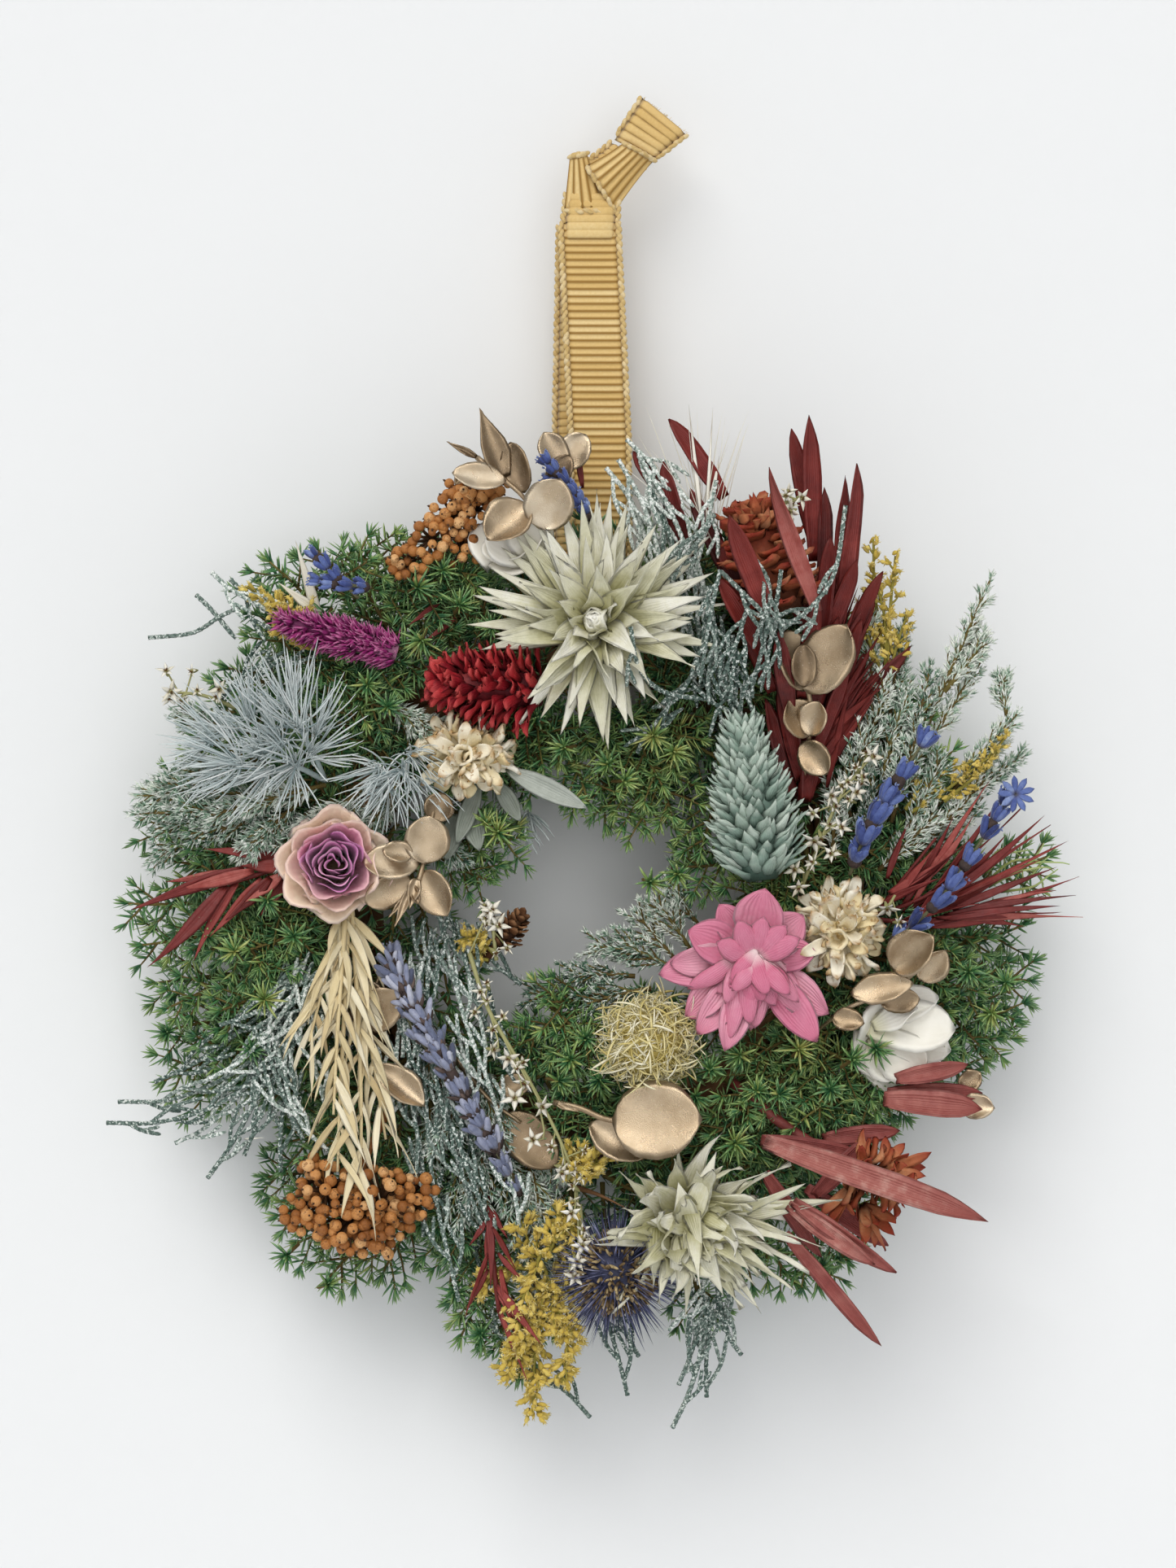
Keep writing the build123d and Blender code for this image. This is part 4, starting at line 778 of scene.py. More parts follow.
sp = Sprays()
for tip, root, tw in [
    ((106.2, -22.0, -98.0), (90.0, -18.0, -137.0), 4.2), ((107.0, -20.0, -114.5), (94.2, -20.0, -128.4), 3.6), ((105.1, -16.0, -119.2), (87.9, -16.0, -145.7), 3.8), ((108.3, -20.0, -124.2), (111.1, -20.0, -134.9), 3.4), ((111.6, -20.0, -133.1), (96.5, -18.0, -155.5), 3.8), ((113.3, -14.0, -140.3), (92.4, -14.0, -158.8), 3.6),
    ((115.6, -16.0, -144.6), (98.9, -14.0, -157.7), 3.4), ((102.1, -18.0, -110.9), (89.5, -18.0, -134.9), 3.6), ((74.1, -22.0, -105.0), (75.2, -18.0, -134.9), 4.2), ((81.6, -20.0, -109.3), (79.5, -18.0, -139.2), 4.2), ((86.5, -18.0, -116.4), (82.4, -18.0, -145.7), 4.5), ((69.8, -18.0, -117.5), (70.9, -18.0, -147.9), 5.5),
    ((92.0, -20.0, -121.9), (83.5, -18.0, -150.1), 4.5), ((75.5, -24.0, -124.1), (72.6, -18.0, -152.2), 6.0), ((81.0, -24.0, -128.4), (76.9, -18.0, -156.6), 6.0), ((87.4, -24.0, -137.1), (80.2, -18.0, -163.1), 6.0), ((72.3, -24.0, -139.3), (68.2, -18.0, -163.1), 6.5), ((67.1, -20.0, -128.4), (68.2, -18.0, -152.2), 5.0),
    ((94.1, -22.0, -145.7), (83.5, -18.0, -167.5), 5.0), ((108.5, -18.0, -151.2), (87.8, -18.0, -169.6), 4.5), ((92.0, -20.0, -160.9), (76.9, -18.0, -176.1), 5.0), ((68.1, -20.0, -152.2), (64.0, -16.0, -174.0), 5.5), ((106.4, -16.0, -157.7), (87.9, -16.0, -174.0), 4.0), ((78.9, -22.0, -152.2), (70.4, -18.0, -174.0), 5.5),
]:
    plume(sp, tip, root, twigs=11, L0=3.5, tone=RNG.uniform(0.4, 0.95), tw=(tw * 0.6, tw * 1.3))
piece("frosted_sprigs_right", sp.mesh((0, 0.5, 1), (0.7, 1, 0), 3, 0.6), [FRO, TWIG], ["frosted_sprig_right"])
sp = Sprays()
for tip, root in [
    ((-120.3, -20.0, -159.2), (-92.6, -18.0, -152.2)), ((-121.8, -20.0, -162.0), (-86.1, -18.0, -158.8)), ((-118.8, -16.0, -152.2), (-92.7, -16.0, -145.7)), ((-114.0, -22.0, -157.7), (-81.7, -18.0, -155.5)), ((-106.4, -22.0, -167.4), (-81.7, -18.0, -160.9)), ((-94.5, -22.0, -172.2), (-75.2, -18.0, -160.9)), ((-108.5, -24.0, -163.1), (-83.9, -18.0, -157.7)),
    ((-100.9, -24.0, -163.1), (-77.4, -18.0, -154.4)), ((-83.6, -24.0, -169.6), (-66.5, -18.0, -158.8)), ((-70.7, -22.0, -167.4), (-60.0, -18.0, -152.2)), ((-59.9, -20.0, -167.4), (-51.4, -16.0, -152.2)), ((-36.1, -18.0, -174.0), (-42.7, -16.0, -156.6)), ((-111.2, -16.0, -134.8), (-90.6, -16.0, -139.2)), ((-92.1, -26.0, -157.6), (-70.8, -20.0, -153.3)),
    ((-92.1, -26.0, -168.5), (-77.3, -20.0, -157.7)), ((-118.8, -16.0, -169.7), (-92.7, -16.0, -163.1)), ((-44.7, -20.0, -139.2), (-55.7, -16.0, -130.5)), ((-76.0, -24.0, -165.2), (-62.1, -20.0, -155.5)), ((-116.5, -18.0, -164.2), (-90.4, -18.0, -160.9)),
]:
    plume(sp, tip, root, twigs=11, L0=4.0, tone=RNG.uniform(0.4, 0.9), tw=(3.5, 7.0))
piece("frosted_sprigs_left", sp.mesh((0, 0.5, 1), (0.7, 1, 0), 3, 0.6), [FRO, TWIG], ["frosted_sprig_left"])
sp = Sprays()
for tip, root in [
    ((-18.7, -22.0, -269.3), (-23.0, -18.0, -247.9)), ((-27.3, -22.0, -265.0), (-29.6, -18.0, -245.7)), ((-10.0, -22.0, -273.6), (-16.5, -18.0, -254.4)), ((-16.5, -20.0, -286.8), (-18.7, -18.0, -265.3)), ((-33.9, -20.0, -269.5), (-36.1, -16.0, -250.2)),
    ((-36.0, -22.0, -247.6), (-36.1, -18.0, -226.1)), ((-44.7, -20.0, -234.7), (-42.7, -16.0, -213.2)), ((-25.2, -22.0, -247.6), (-29.6, -18.0, -226.1)), ((-7.8, -18.0, -258.7), (-14.4, -16.0, -241.5)), ((-42.6, -18.0, -256.6), (-42.7, -16.0, -237.1)),
]:
    plume(sp, tip, root, twigs=8, tone=RNG.uniform(0.4, 0.8), tw=(7, 11))
piece("frosted_sprigs_centre", sp.mesh((0, 0.5, 1), (0.7, 1, 0), 3, 0.6), [FRO, TWIG], None)
sp = Sprays()
for tip, root, tn in [
    ((-5.7, -16.0, -202.3), (11.8, -14.0, -204.5), 0.3), ((-1.3, -18.0, -209.8), (16.1, -14.0, -207.8), 0.3), ((11.8, -14.0, -187.1), (22.7, -12.0, -200.2), 0.75), ((18.3, -16.0, -182.7), (27.1, -12.0, -198.1), 0.8), ((7.4, -14.0, -195.8), (22.7, -12.0, -202.4), 0.5),
    ((-16.6, -12.0, -207.9), (3.0, -12.0, -210.1), 0.25), ((2.0, -12.0, -193.7), (16.2, -10.0, -200.3), 0.6), ((-7.9, -8.0, -208.0), (9.6, -6.0, -210.3), 0.3), ((20.5, -10.0, -178.5), (29.3, -8.0, -191.6), 0.5),
]:
    plume(sp, tip, root, twigs=8, L0=3.4, tone=tn, tw=(5, 9))
piece("frosted_sprigs_opening", sp.mesh((0, 0.5, 1), (0.7, 1, 0), 3, 0.6), [FRO, TWIG], None)


def scaly(s, ph):
    a = np.mod(s / 1.75, 1.0)
    b = np.mod(s / 1.75 + 0.5, 1.0)
    f = lambda x: np.where(x < 0.72, (x / 0.72) ** 0.7, 1 - (x - 0.72) / 0.28)
    w = np.cos(ph) ** 2
    return 0.72 + 0.58 * (w * f(a) + (1 - w) * f(b))


def cord_run(acc, path, rad=0.62, m=0, tone=0.5):
    ln = length_of(path)
    n = max(6, int(ln / 0.44))
    path = smooth_path(path, n)
    tube(acc, path, rad * np.interp(np.linspace(0, 1, n), [0, 0.9, 1], [1, 1, 0.55]), 6, r=tone, m=m, mod=scaly)


def threads(acc, pts, m=0, side=4, tone=0.5, sl=(8, 16), rad=0.62, sub=True):
    """A scaly cord through pts with forked side cords."""
    p = smooth_path(pts, 24)
    cord_run(acc, p, rad, m, tone)
    T = tangents(p)
    for i in range(side):
        j = int(3 + 18 * (i + RNG.uniform(0, 0.7)) / max(side, 1))
        j = min(j, 22)
        sg = 1 if i % 2 else -1
        o = unit(np.cross(T[j], [0, 1, 0])) * sg + A([0, RNG.uniform(-0.5, 0.3), 0])
        d = unit(T[j] + o * RNG.uniform(0.4, 0.7))
        L = RNG.uniform(*sl)
        q = A([p[j], p[j] + d * L * 0.5, p[j] + d * L * 0.75 + T[j] * L * 0.35])
        cord_run(acc, smooth_path(q, 12), rad * 0.92, m, np.clip(tone + RNG.normal(0, 0.15), 0, 1))
        if sub:
            d2 = unit(T[j] - o * 0.25)
            q2 = A([q[1], q[1] + d2 * L * 0.28, q[1] + d2 * L * 0.55])
            cord_run(acc, smooth_path(q2, 8), rad * 0.85, m, np.clip(tone + RNG.normal(0, 0.15), 0, 1))


def thread_piece(name, runs, node):
    acc = Acc()
    for pts, m, side, tone in runs:
        threads(acc, [A(q, float) for q in pts], m, side, tone)
    piece(name, acc, [THR, THR2], [node] if node else None)


thread_piece("thread_cypress_upper", [
    (((67.0, -40.0, -79.7), (64.1, -42.0, -97.1), (57.9, -42.0, -106.5), (51.7, -38.0, -111.3), (44.0, -28.0, -117.7)), 0, 3, 0.6), (((34.3, -36.0, -96.9), (43.6, -42.0, -106.3), (46.8, -42.0, -109.7), (55.6, -36.0, -110.4)), 0, 2, 0.6),
    (((32.4, -44.0, -82.2), (29.1, -40.0, -88.0), (24.1, -34.0, -94.2), (19.2, -28.0, -104.7)), 0, 3, 0.7), (((42.7, -42.0, -93.0), (46.8, -42.0, -100.9), (46.1, -38.0, -112.8), (41.9, -28.0, -130.7)), 0, 4, 0.6), (((12.8, -22.0, -65.5), (20.3, -26.0, -78.7), (26.8, -28.0, -96.1), (29.0, -24.0, -117.6)), 1, 5, 0.6),
    (((16.0, -24.0, -74.3), (22.4, -28.0, -91.8), (26.8, -26.0, -113.3), (33.4, -22.0, -130.6)), 0, 5, 0.4), (((7.3, -24.0, -66.7), (13.8, -26.0, -78.7), (19.2, -26.0, -96.0), (22.5, -22.0, -115.4)), 1, 5, 0.7), (((30.9, -34.0, -100.6), (33.1, -34.0, -113.5), (36.4, -30.0, -128.5)), 0, 4, 0.4),
    (((10.4, -44.0, -111.7), (12.6, -42.0, -122.3), (19.1, -36.0, -128.6), (31.1, -28.0, -130.7)), 0, 1, 0.5), (((37.5, -30.0, -113.4), (38.6, -30.0, -124.2), (37.6, -26.0, -137.1)), 0, 4, 0.35), (((26.7, -30.0, -124.2), (22.4, -30.0, -130.7), (16.0, -28.0, -132.8)), 0, 2, 0.45), (((41.6, -38.0, -105.1), (38.4, -36.0, -115.7), (33.2, -30.0, -128.5)), 0, 4, 0.45),
    (((50.0, -42.0, -96.7), (48.0, -38.0, -111.5), (45.0, -30.0, -128.5)), 0, 3, 0.5), (((13.9, -20.0, -68.7), (18.6, -22.0, -80.7), (24.3, -22.0, -100.2)), 1, 6, 0.8), (((4.1, -18.0, -68.6), (10.6, -22.0, -77.5), (16.0, -24.0, -91.6)), 1, 5, 0.8), (((34.0, -40.0, -96.6), (31.3, -38.0, -109.4), (28.8, -32.0, -126.4)), 0, 3, 0.55),
    (((12.3, -22.0, -144.7), (16.0, -26.0, -138.2), (24.6, -26.0, -132.8)), 0, 2, 0.5), (((44.1, -26.0, -139.3), (37.6, -28.0, -132.8), (31.1, -26.0, -117.7)), 0, 3, 0.4), (((9.5, -20.0, -61.1), (16.0, -22.0, -67.7), (20.3, -24.0, -74.3)), 1, 4, 0.7), (((33.2, -30.0, -72.5), (31.0, -30.0, -83.3), (26.8, -28.0, -100.4)), 1, 4, 0.6),
], "thread_cypress_upper_right")
thread_piece("thread_cypress_corner", [
    (((-118.1, -20.0, -114.0), (-106.4, -20.0, -112.7), (-98.9, -21.0, -108.4), (-92.8, -22.0, -105.6)), 0, 0, 0.6), (((-105.4, -18.0, -102.5), (-100.7, -20.0, -107.1), (-94.7, -20.0, -114.3)), 0, 0, 0.6), (((-101.2, -20.0, -96.5), (-95.6, -22.0, -101.3), (-84.8, -22.0, -107.2)), 1, 2, 0.6), (((-96.3, -18.0, -98.3), (-89.9, -20.0, -104.5), (-79.5, -20.0, -111.0)), 0, 2, 0.5),
    (((-99.1, -18.0, -130.5), (-92.5, -20.0, -124.0), (-81.6, -20.0, -117.5)), 0, 3, 0.4),
], None)
thread_piece("thread_cypress_left_side", [
    (((-129.2, -20.0, -243.4), (-114.0, -22.0, -242.9), (-96.7, -22.0, -236.8), (-81.6, -20.0, -221.7)), 0, 6, 0.5), (((-126.3, -18.0, -237.9), (-110.9, -20.0, -236.9), (-92.5, -20.0, -228.2), (-77.4, -18.0, -213.1)), 0, 6, 0.6), (((-102.4, -18.0, -258.3), (-95.7, -20.0, -248.8), (-88.0, -22.0, -234.6), (-79.5, -20.0, -217.4)), 0, 6, 0.5),
    (((-111.2, -16.0, -249.1), (-101.3, -18.0, -243.5), (-88.1, -20.0, -228.2), (-79.6, -18.0, -208.8)), 1, 6, 0.5), (((-92.5, -20.0, -252.1), (-88.0, -22.0, -241.1), (-82.6, -22.0, -225.9), (-79.5, -20.0, -204.3)), 0, 6, 0.45), (((-69.9, -24.0, -250.5), (-77.1, -24.0, -243.2), (-81.4, -24.0, -230.2), (-79.5, -20.0, -213.0)), 1, 5, 0.6),
    (((-76.7, -22.0, -247.6), (-81.4, -24.0, -236.7), (-85.7, -24.0, -221.5), (-81.6, -20.0, -200.0)), 0, 5, 0.5), (((-103.2, -22.0, -232.4), (-92.2, -24.0, -225.8), (-81.4, -24.0, -212.9), (-75.1, -20.0, -197.8)), 1, 6, 0.6), (((-98.9, -22.0, -217.3), (-87.9, -24.0, -212.9), (-77.2, -22.0, -202.1)), 0, 5, 0.5), (((-116.8, -14.0, -232.9), (-103.6, -16.0, -226.2), (-86.1, -18.0, -213.1)), 0, 5, 0.4),
    (((-82.8, -18.0, -256.6), (-82.7, -20.0, -245.6), (-80.4, -22.0, -228.1), (-77.3, -20.0, -213.0)), 0, 5, 0.4), (((-70.5, -26.0, -238.7), (-73.7, -26.0, -225.7), (-73.8, -24.0, -210.7)), 1, 4, 0.6),
], "thread_cypress_left")
thread_piece("thread_cypress_centre", [
    (((-35.1, -22.0, -290.8), (-38.1, -24.0, -277.8), (-42.4, -24.0, -256.2), (-44.7, -22.0, -225.9)), 0, 6, 0.5), (((-25.6, -22.0, -282.5), (-29.5, -24.0, -269.1), (-35.9, -24.0, -251.8), (-40.3, -22.0, -225.9)), 0, 6, 0.5), (((-18.6, -24.0, -275.6), (-20.8, -26.0, -260.3), (-29.4, -26.0, -240.9), (-36.0, -22.0, -217.3)), 1, 6, 0.6),
    (((-44.7, -20.0, -273.8), (-44.7, -22.0, -256.3), (-47.9, -24.0, -234.5), (-49.0, -22.0, -208.6)), 0, 6, 0.4), (((-23.0, -24.0, -247.5), (-27.3, -26.0, -232.2), (-33.7, -26.0, -214.9), (-39.2, -22.0, -193.4)), 1, 6, 0.5), (((-18.7, -22.0, -234.6), (-25.1, -24.0, -223.7), (-31.6, -24.0, -206.4), (-36.0, -20.0, -189.1)), 0, 6, 0.45),
    (((-50.1, -22.0, -225.9), (-49.4, -24.0, -212.9), (-47.9, -22.0, -197.8)), 1, 5, 0.6), (((-42.4, -24.0, -217.2), (-43.5, -24.0, -206.4), (-42.5, -22.0, -191.3)), 0, 5, 0.4), (((-27.3, -26.0, -269.0), (-31.6, -26.0, -258.2), (-37.0, -26.0, -243.0)), 0, 5, 0.4), (((-38.1, -26.0, -245.2), (-41.3, -26.0, -230.1), (-44.6, -24.0, -212.9)), 0, 5, 0.35),
    (((-53.4, -20.0, -245.6), (-52.3, -22.0, -232.4), (-51.2, -22.0, -217.3)), 1, 4, 0.5), (((-20.9, -18.0, -265.3), (-25.2, -20.0, -252.1), (-29.5, -20.0, -236.9)), 0, 5, 0.35), (((-18.7, -16.0, -206.7), (-26.3, -18.0, -200.1), (-33.9, -18.0, -189.2)), 0, 4, 0.5), (((-29.6, -14.0, -283.0), (-34.0, -16.0, -265.4), (-36.1, -18.0, -247.9)), 0, 5, 0.3),
], None)
thread_piece("thread_cypress_base", [
    (((21.7, -20.0, -324.8), (25.8, -22.0, -315.9), (29.5, -22.0, -304.0), (31.2, -20.0, -291.2)), 0, 3, 0.6), (((30.9, -18.0, -316.8), (30.8, -20.0, -306.4), (32.3, -20.0, -291.2)), 0, 3, 0.5), (((23.4, -20.0, -313.3), (26.9, -22.0, -304.0), (30.8, -20.0, -289.0)), 0, 3, 0.6), (((40.2, -18.0, -305.5), (36.7, -20.0, -299.8), (33.4, -20.0, -286.8)), 0, 3, 0.5),
    (((20.6, -24.0, -298.4), (26.8, -24.0, -290.8), (33.4, -22.0, -282.3)), 1, 2, 0.6), (((9.8, -18.0, -316.3), (7.4, -20.0, -306.4), (3.0, -20.0, -291.2)), 0, 3, 0.35), (((12.8, -18.0, -305.9), (9.5, -20.0, -299.8), (4.1, -20.0, -286.8)), 0, 3, 0.35), (((-0.2, -16.0, -322.4), (-6.7, -18.0, -315.3), (-15.4, -18.0, -308.7), (-23.0, -18.0, -295.7)), 0, 4, 0.5),
], "thread_cypress_bottom")

# ---------------------------------------------------------------- cream star blooms
BRACT = material("cream_bract_finish", [(0, "#b8b48a"), (0.35, "#d4d1ac"), (0.7, "#e7e4ca"), (1, "#f8f6ea")], base="#97924f", base_at=(0.0, 0.65), tip="#e9e7d6", tip_at=(0.45, 1.2),
                 rough=(0.28, 0.5), spec=0.5, sheen=0.2, noise=(420.0, 0.9), bump=(900.0, 0.35), fibre=(46.0, 0.35))
PEARL = material("bloom_heart", [(0, "#d9d6c0"), (0.5, "#ebe9dc"), (1, "#f5f3ea")], rough=(0.25, 0.4), spec=0.5, noise=(500.0, 0.6), bump=(900.0, 0.25))


def bloom(acc, C, tips, layers, heart, face=A([0, -1.0, 0]), spin=0.0, prof="lance"):
    """Pointed papery bracts in layers round C. face is where the bloom looks."""
    face = unit(face)
    e1 = unit(np.cross(face, [0, 0, 1.0]))
    e2 = np.cross(e1, face)
    for tp in tips:
        P0 = C
        v = A(tp, float) - P0
        Pb = P0 + unit(v) * 3.0
        v = A(tp, float) - Pb
        L = float(np.linalg.norm(v))
        leaf(acc, Pb, unit(v) - face * -0.0 + face * -0.12, face, L * 1.03, RNG.uniform(2.5, 3.1), prof, curl=0.55 if prof == "wisp" else 0.25, cup=RNG.uniform(0.25, 0.6), twist=RNG.normal(0, 0.7 if prof == "wisp" else 0.35), side=RNG.normal(0, 0.25 if prof == "wisp" else 0.0), th=0.22, k=11, mm=5, r=RNG.uniform(0.2, 0.9), wave=0.9 if prof == "wisp" else 0.35)
    for n, L0, L1, el, w, rad, h, curl in layers:
        for i in range(n):
            a = spin + TAU * (i + RNG.uniform(-0.3, 0.3)) / n
            ra = math.cos(a) * e1 + math.sin(a) * e2
            e = math.radians(el + RNG.normal(0, 11))
            d = math.cos(e) * ra + math.sin(e) * face + wob(1, 0.12)[0]
            up = math.cos(e) * face - math.sin(e) * ra
            leaf(acc, C + ra * rad + face * h, d, up, RNG.uniform(L0, L1), w * (1.3 if prof == "wisp" else 1.0) * RNG.uniform(0.85, 1.15), prof, curl=curl + RNG.normal(0, 0.15) + (0.45 if prof == "wisp" else 0), cup=RNG.uniform(0.0, 0.7), twist=RNG.normal(0, 0.75),
                 th=0.22, k=9, mm=5, r=RNG.uniform(0.05, 1.0), wave=0.95 if prof == "wisp" else 0.6, side=RNG.normal(0, 0.4 if prof == "wisp" else 0.25))
    n, L, w = heart
    for i in range(n):
        a = i * 2.4
        q = 0.4 + 3.2 * (i / n) ** 0.5
        ra = math.cos(a) * e1 + math.sin(a) * e2
        d = unit(face + ra * 0.2 * q / 2)
        leaf(acc, C + ra * q + face * 1.5, d, -ra, L * (1.15 - 0.35 * i / n), w, "petal", curl=0.9, cup=0.9, th=0.3, k=7, mm=7, r=RNG.uniform(0.3, 1), m=1)
    tube(acc, A([C + face * 1.0, C - face * 5, C - face * 11]), (4.5, 3.6, 1.8), 10, r=0.3)


acc = Acc()
c_top = A((1.5, -31.0, -110.4))
bloom(acc, c_top, [(-32.1, -33.0, -110.9), (-30.4, -31.0, -103.3), (-28.5, -30.0, -117.3), (36.3, -34.0, -105.4), (33.7, -36.0, -116.6), (31.8, -33.0, -97.4), (28.4, -31.0, -93.0), (1.5, -34.0, -75.9), (-7.8, -33.0, -79.7), (-23.1, -31.0, -90.8), (16.8, -33.0, -85.1), (-16.2, -32.0, -134.2), (-7.8, -32.0, -139.3),
                   (4.5, -33.0, -143.2), (11.4, -33.0, -137.4), (-18.5, -32.0, -85.5), (-14.2, -33.0, -84.5), (9.5, -33.0, -79.1), (14.8, -40.0, -126.1), (-5.6, -38.0, -132.5), (-13.3, -34.0, -135.9), (-26.6, -36.0, -107.2), (-25.8, -33.0, -96.3), (30.6, -30.0, -88.0), (26.5, -40.0, -109.4), (-2.4, -36.0, -78.8), (5.2, -30.0, -77.2), (23.4, -36.0, -88.9), (-10.9, -42.0, -96.7), (15.8, -42.0, -94.5), (-1.3, -42.0, -88.1), (7.3, -40.0, -85.9)],
      [(24, 25, 31, 14, 3.4, 3.0, 0.0, 0.2), (19, 20, 27, 28, 3.4, 2.6, 0.8, 0.1), (12, 15, 21, 44, 3.3, 2.4, 1.4, 0.1), (6, 10, 14, 60, 3.2, 2.8, 2.0, 0.3)], (12, 6.8, 3.4),
      face=A([-0.10, -1.0, 0.16]))
piece("star_bloom_upper", acc, [BRACT, PEARL], ["star_bloom_top"])
acc = Acc()
c_bot = A((25.0, -31.0, -268.6))
bloom(acc, c_bot, [(22.4, -30.0, -249.3), (5.6, -31.0, -258.0), (0.8, -32.0, -274.1), (2.3, -33.0, -280.5), (4.5, -30.0, -286.3), (9.7, -29.0, -295.5), (27.3, -31.0, -293.6), (53.3, -33.0, -253.6), (65.9, -35.0, -259.9), (66.9, -34.0, -265.1), (59.3, -34.0, -277.4), (54.5, -32.0, -284.9), (47.4, -30.0, -290.4),
                   (40.7, -32.0, -293.9), (13.7, -36.0, -255.3), (62.7, -36.0, -268.2), (33.1, -34.0, -252.2), (43.8, -34.0, -251.2), (50.1, -40.0, -274.3), (15.9, -36.0, -289.7), (58.7, -40.0, -261.5), (56.5, -40.0, -272.2), (52.3, -38.0, -279.8), (43.7, -38.0, -285.2), (7.3, -36.0, -268.2)],
      [(16, 20, 27, 14, 2.7, 3.0, 0.0, 0.5), (14, 17, 24, 30, 2.9, 2.8, 0.8, 0.8)], (0, 4.5, 2.2),
      face=A([0.1, -1.0, -0.05]), spin=0.4, prof="wisp")
for i in range(34):
    q = i / 33
    P = c_bot + A([RNG.normal(1.0, 2.6), RNG.uniform(-4, -1), RNG.normal(0.5, 3.2)])
    a = RNG.uniform(-1.9, 0.5)
    d = unit(A([math.cos(a) + 0.25, -RNG.uniform(0.35, 1.1), math.sin(a)]))
    leaf(acc, P, d, A([-d[0] * 0.4, -1.0, 0.4]), RNG.uniform(13, 21), RNG.uniform(2.2, 3.1), "wisp", curl=-RNG.uniform(0.6, 1.5), cup=RNG.uniform(-0.5, 0.5), twist=RNG.normal(0, 0.9), th=0.2, k=12, mm=5, r=RNG.uniform(0.15, 1.0), wave=0.8, side=RNG.normal(0, 0.4))
for tp in [(24.0, -40.0, -261.5), (30.8, -40.0, -255.0), (19.0, -40.0, -267.9), (22.2, -40.0, -280.7), (33.0, -40.0, -282.9)]:
    P, d, L = towards(tp, A((25.8, -35.0, -270.0)))
    leaf(acc, P, d, A([0, -1.0, 0.3]), L * 1.3, 3.3, "lance", curl=-0.5, cup=0.4, th=0.22, k=10, mm=5, r=0.8, wave=0.3)
piece("star_bloom_lower", acc, [BRACT, PEARL], ["star_bloom_bottom"])

# ---------------------------------------------------------------- roses and strawflower
ROSE = material("rose_petal_finish", [(0, "#c87ba8"), (0.45, "#e6a4bc"), (0.7, "#f2c8c4"), (0.85, "#f6dcc8"), (1, "#faead4")], base="#c9b48e", base_at=(0.0, 0.35), tip="#dd9fb0", tip_at=(0.9, 1.2),
                rough=(0.55, 0.75), spec=0.25, sheen=0.3, noise=(330.0, 0.35), bump=(800.0, 0.4), fibre=(60.0, 0.3))
ROSE_IN = material("rose_heart_finish", [(0, "#c468b0"), (0.5, "#dc8cc6"), (1, "#ecb0d4")], tip="#ecb8d0", tip_at=(0.85, 1.15), rough=(0.55, 0.75), spec=0.25, sheen=0.3, noise=(330.0, 0.5), bump=(800.0, 0.4))
IVORY = material("ivory_petal_finish", [(0, "#dcd8c6"), (0.5, "#ece8da"), (1, "#f6f3ea")], base="#d4d0ac", base_at=(0, 0.4), rough=(0.4, 0.6), spec=0.35, sheen=0.2, noise=(200.0, 0.6), bump=(700.0, 0.25), fibre=(40.0, 0.25))
PINK = material("pink_petal_finish", [(0, "#c9587c"), (0.5, "#da859f"), (1, "#eab0bf")], base="#f6e9e6", base_at=(0.05, 0.42), tip="#cf7390", tip_at=(0.6, 1.15), rough=(0.34, 0.5), spec=0.45, sheen=0.2,
                noise=(260.0, 0.7), bump=(700.0, 0.35), fibre=(70.0, 0.5))


def cup_petal(acc, C, e1, e2, face, ang, half, r0, r1, h0, h1, flare=0.0, th=0.4, tone=0.5, m=0, k=9, mm=11, dip=0.25, roll=0.0, ruffle=0.15):
    """A rose petal: an arc of a bowl round C, from radius r0 at height h0 to r1 at h1."""
    v = np.linspace(0, 1, k)[:, None]
    u = np.linspace(-1, 1, mm)[None]
    rr = r0 + (r1 - r0) * np.sin(v * math.pi / 2) ** 0.9 + flare * v**3 * (1 - 0.2 * u * u)
    hh = h0 + (h1 - h0) * v * (1 - dip * u * u * v) - roll * v**6
    a = ang + half * u * (0.45 + 0.55 * np.sin(np.clip(v * 2.2, 0, math.pi / 2)))
    a = np.broadcast_to(a, (k, mm))
    ph = tone * 37 + ang * 3
    rr = np.broadcast_to(rr, (k, mm)) * (1 + 0.05 * np.sin(3 * u + ph)) + ruffle * v**2 * np.sin(5.5 * u + ph)
    hh = hh + ruffle * v**2 * np.sin(7.0 * u + ph * 1.7)
    G = C + (rr * np.cos(a))[..., None] * e1 + (rr * np.sin(a))[..., None] * e2 + np.broadcast_to(hh, (k, mm))[..., None] * face
    shell(acc, G, th, tone, m=m)


def basis(face):
    face = unit(face)
    e1 = unit(np.cross(face, [0, 0, 1.0]))
    return face, e1, np.cross(e1, face)


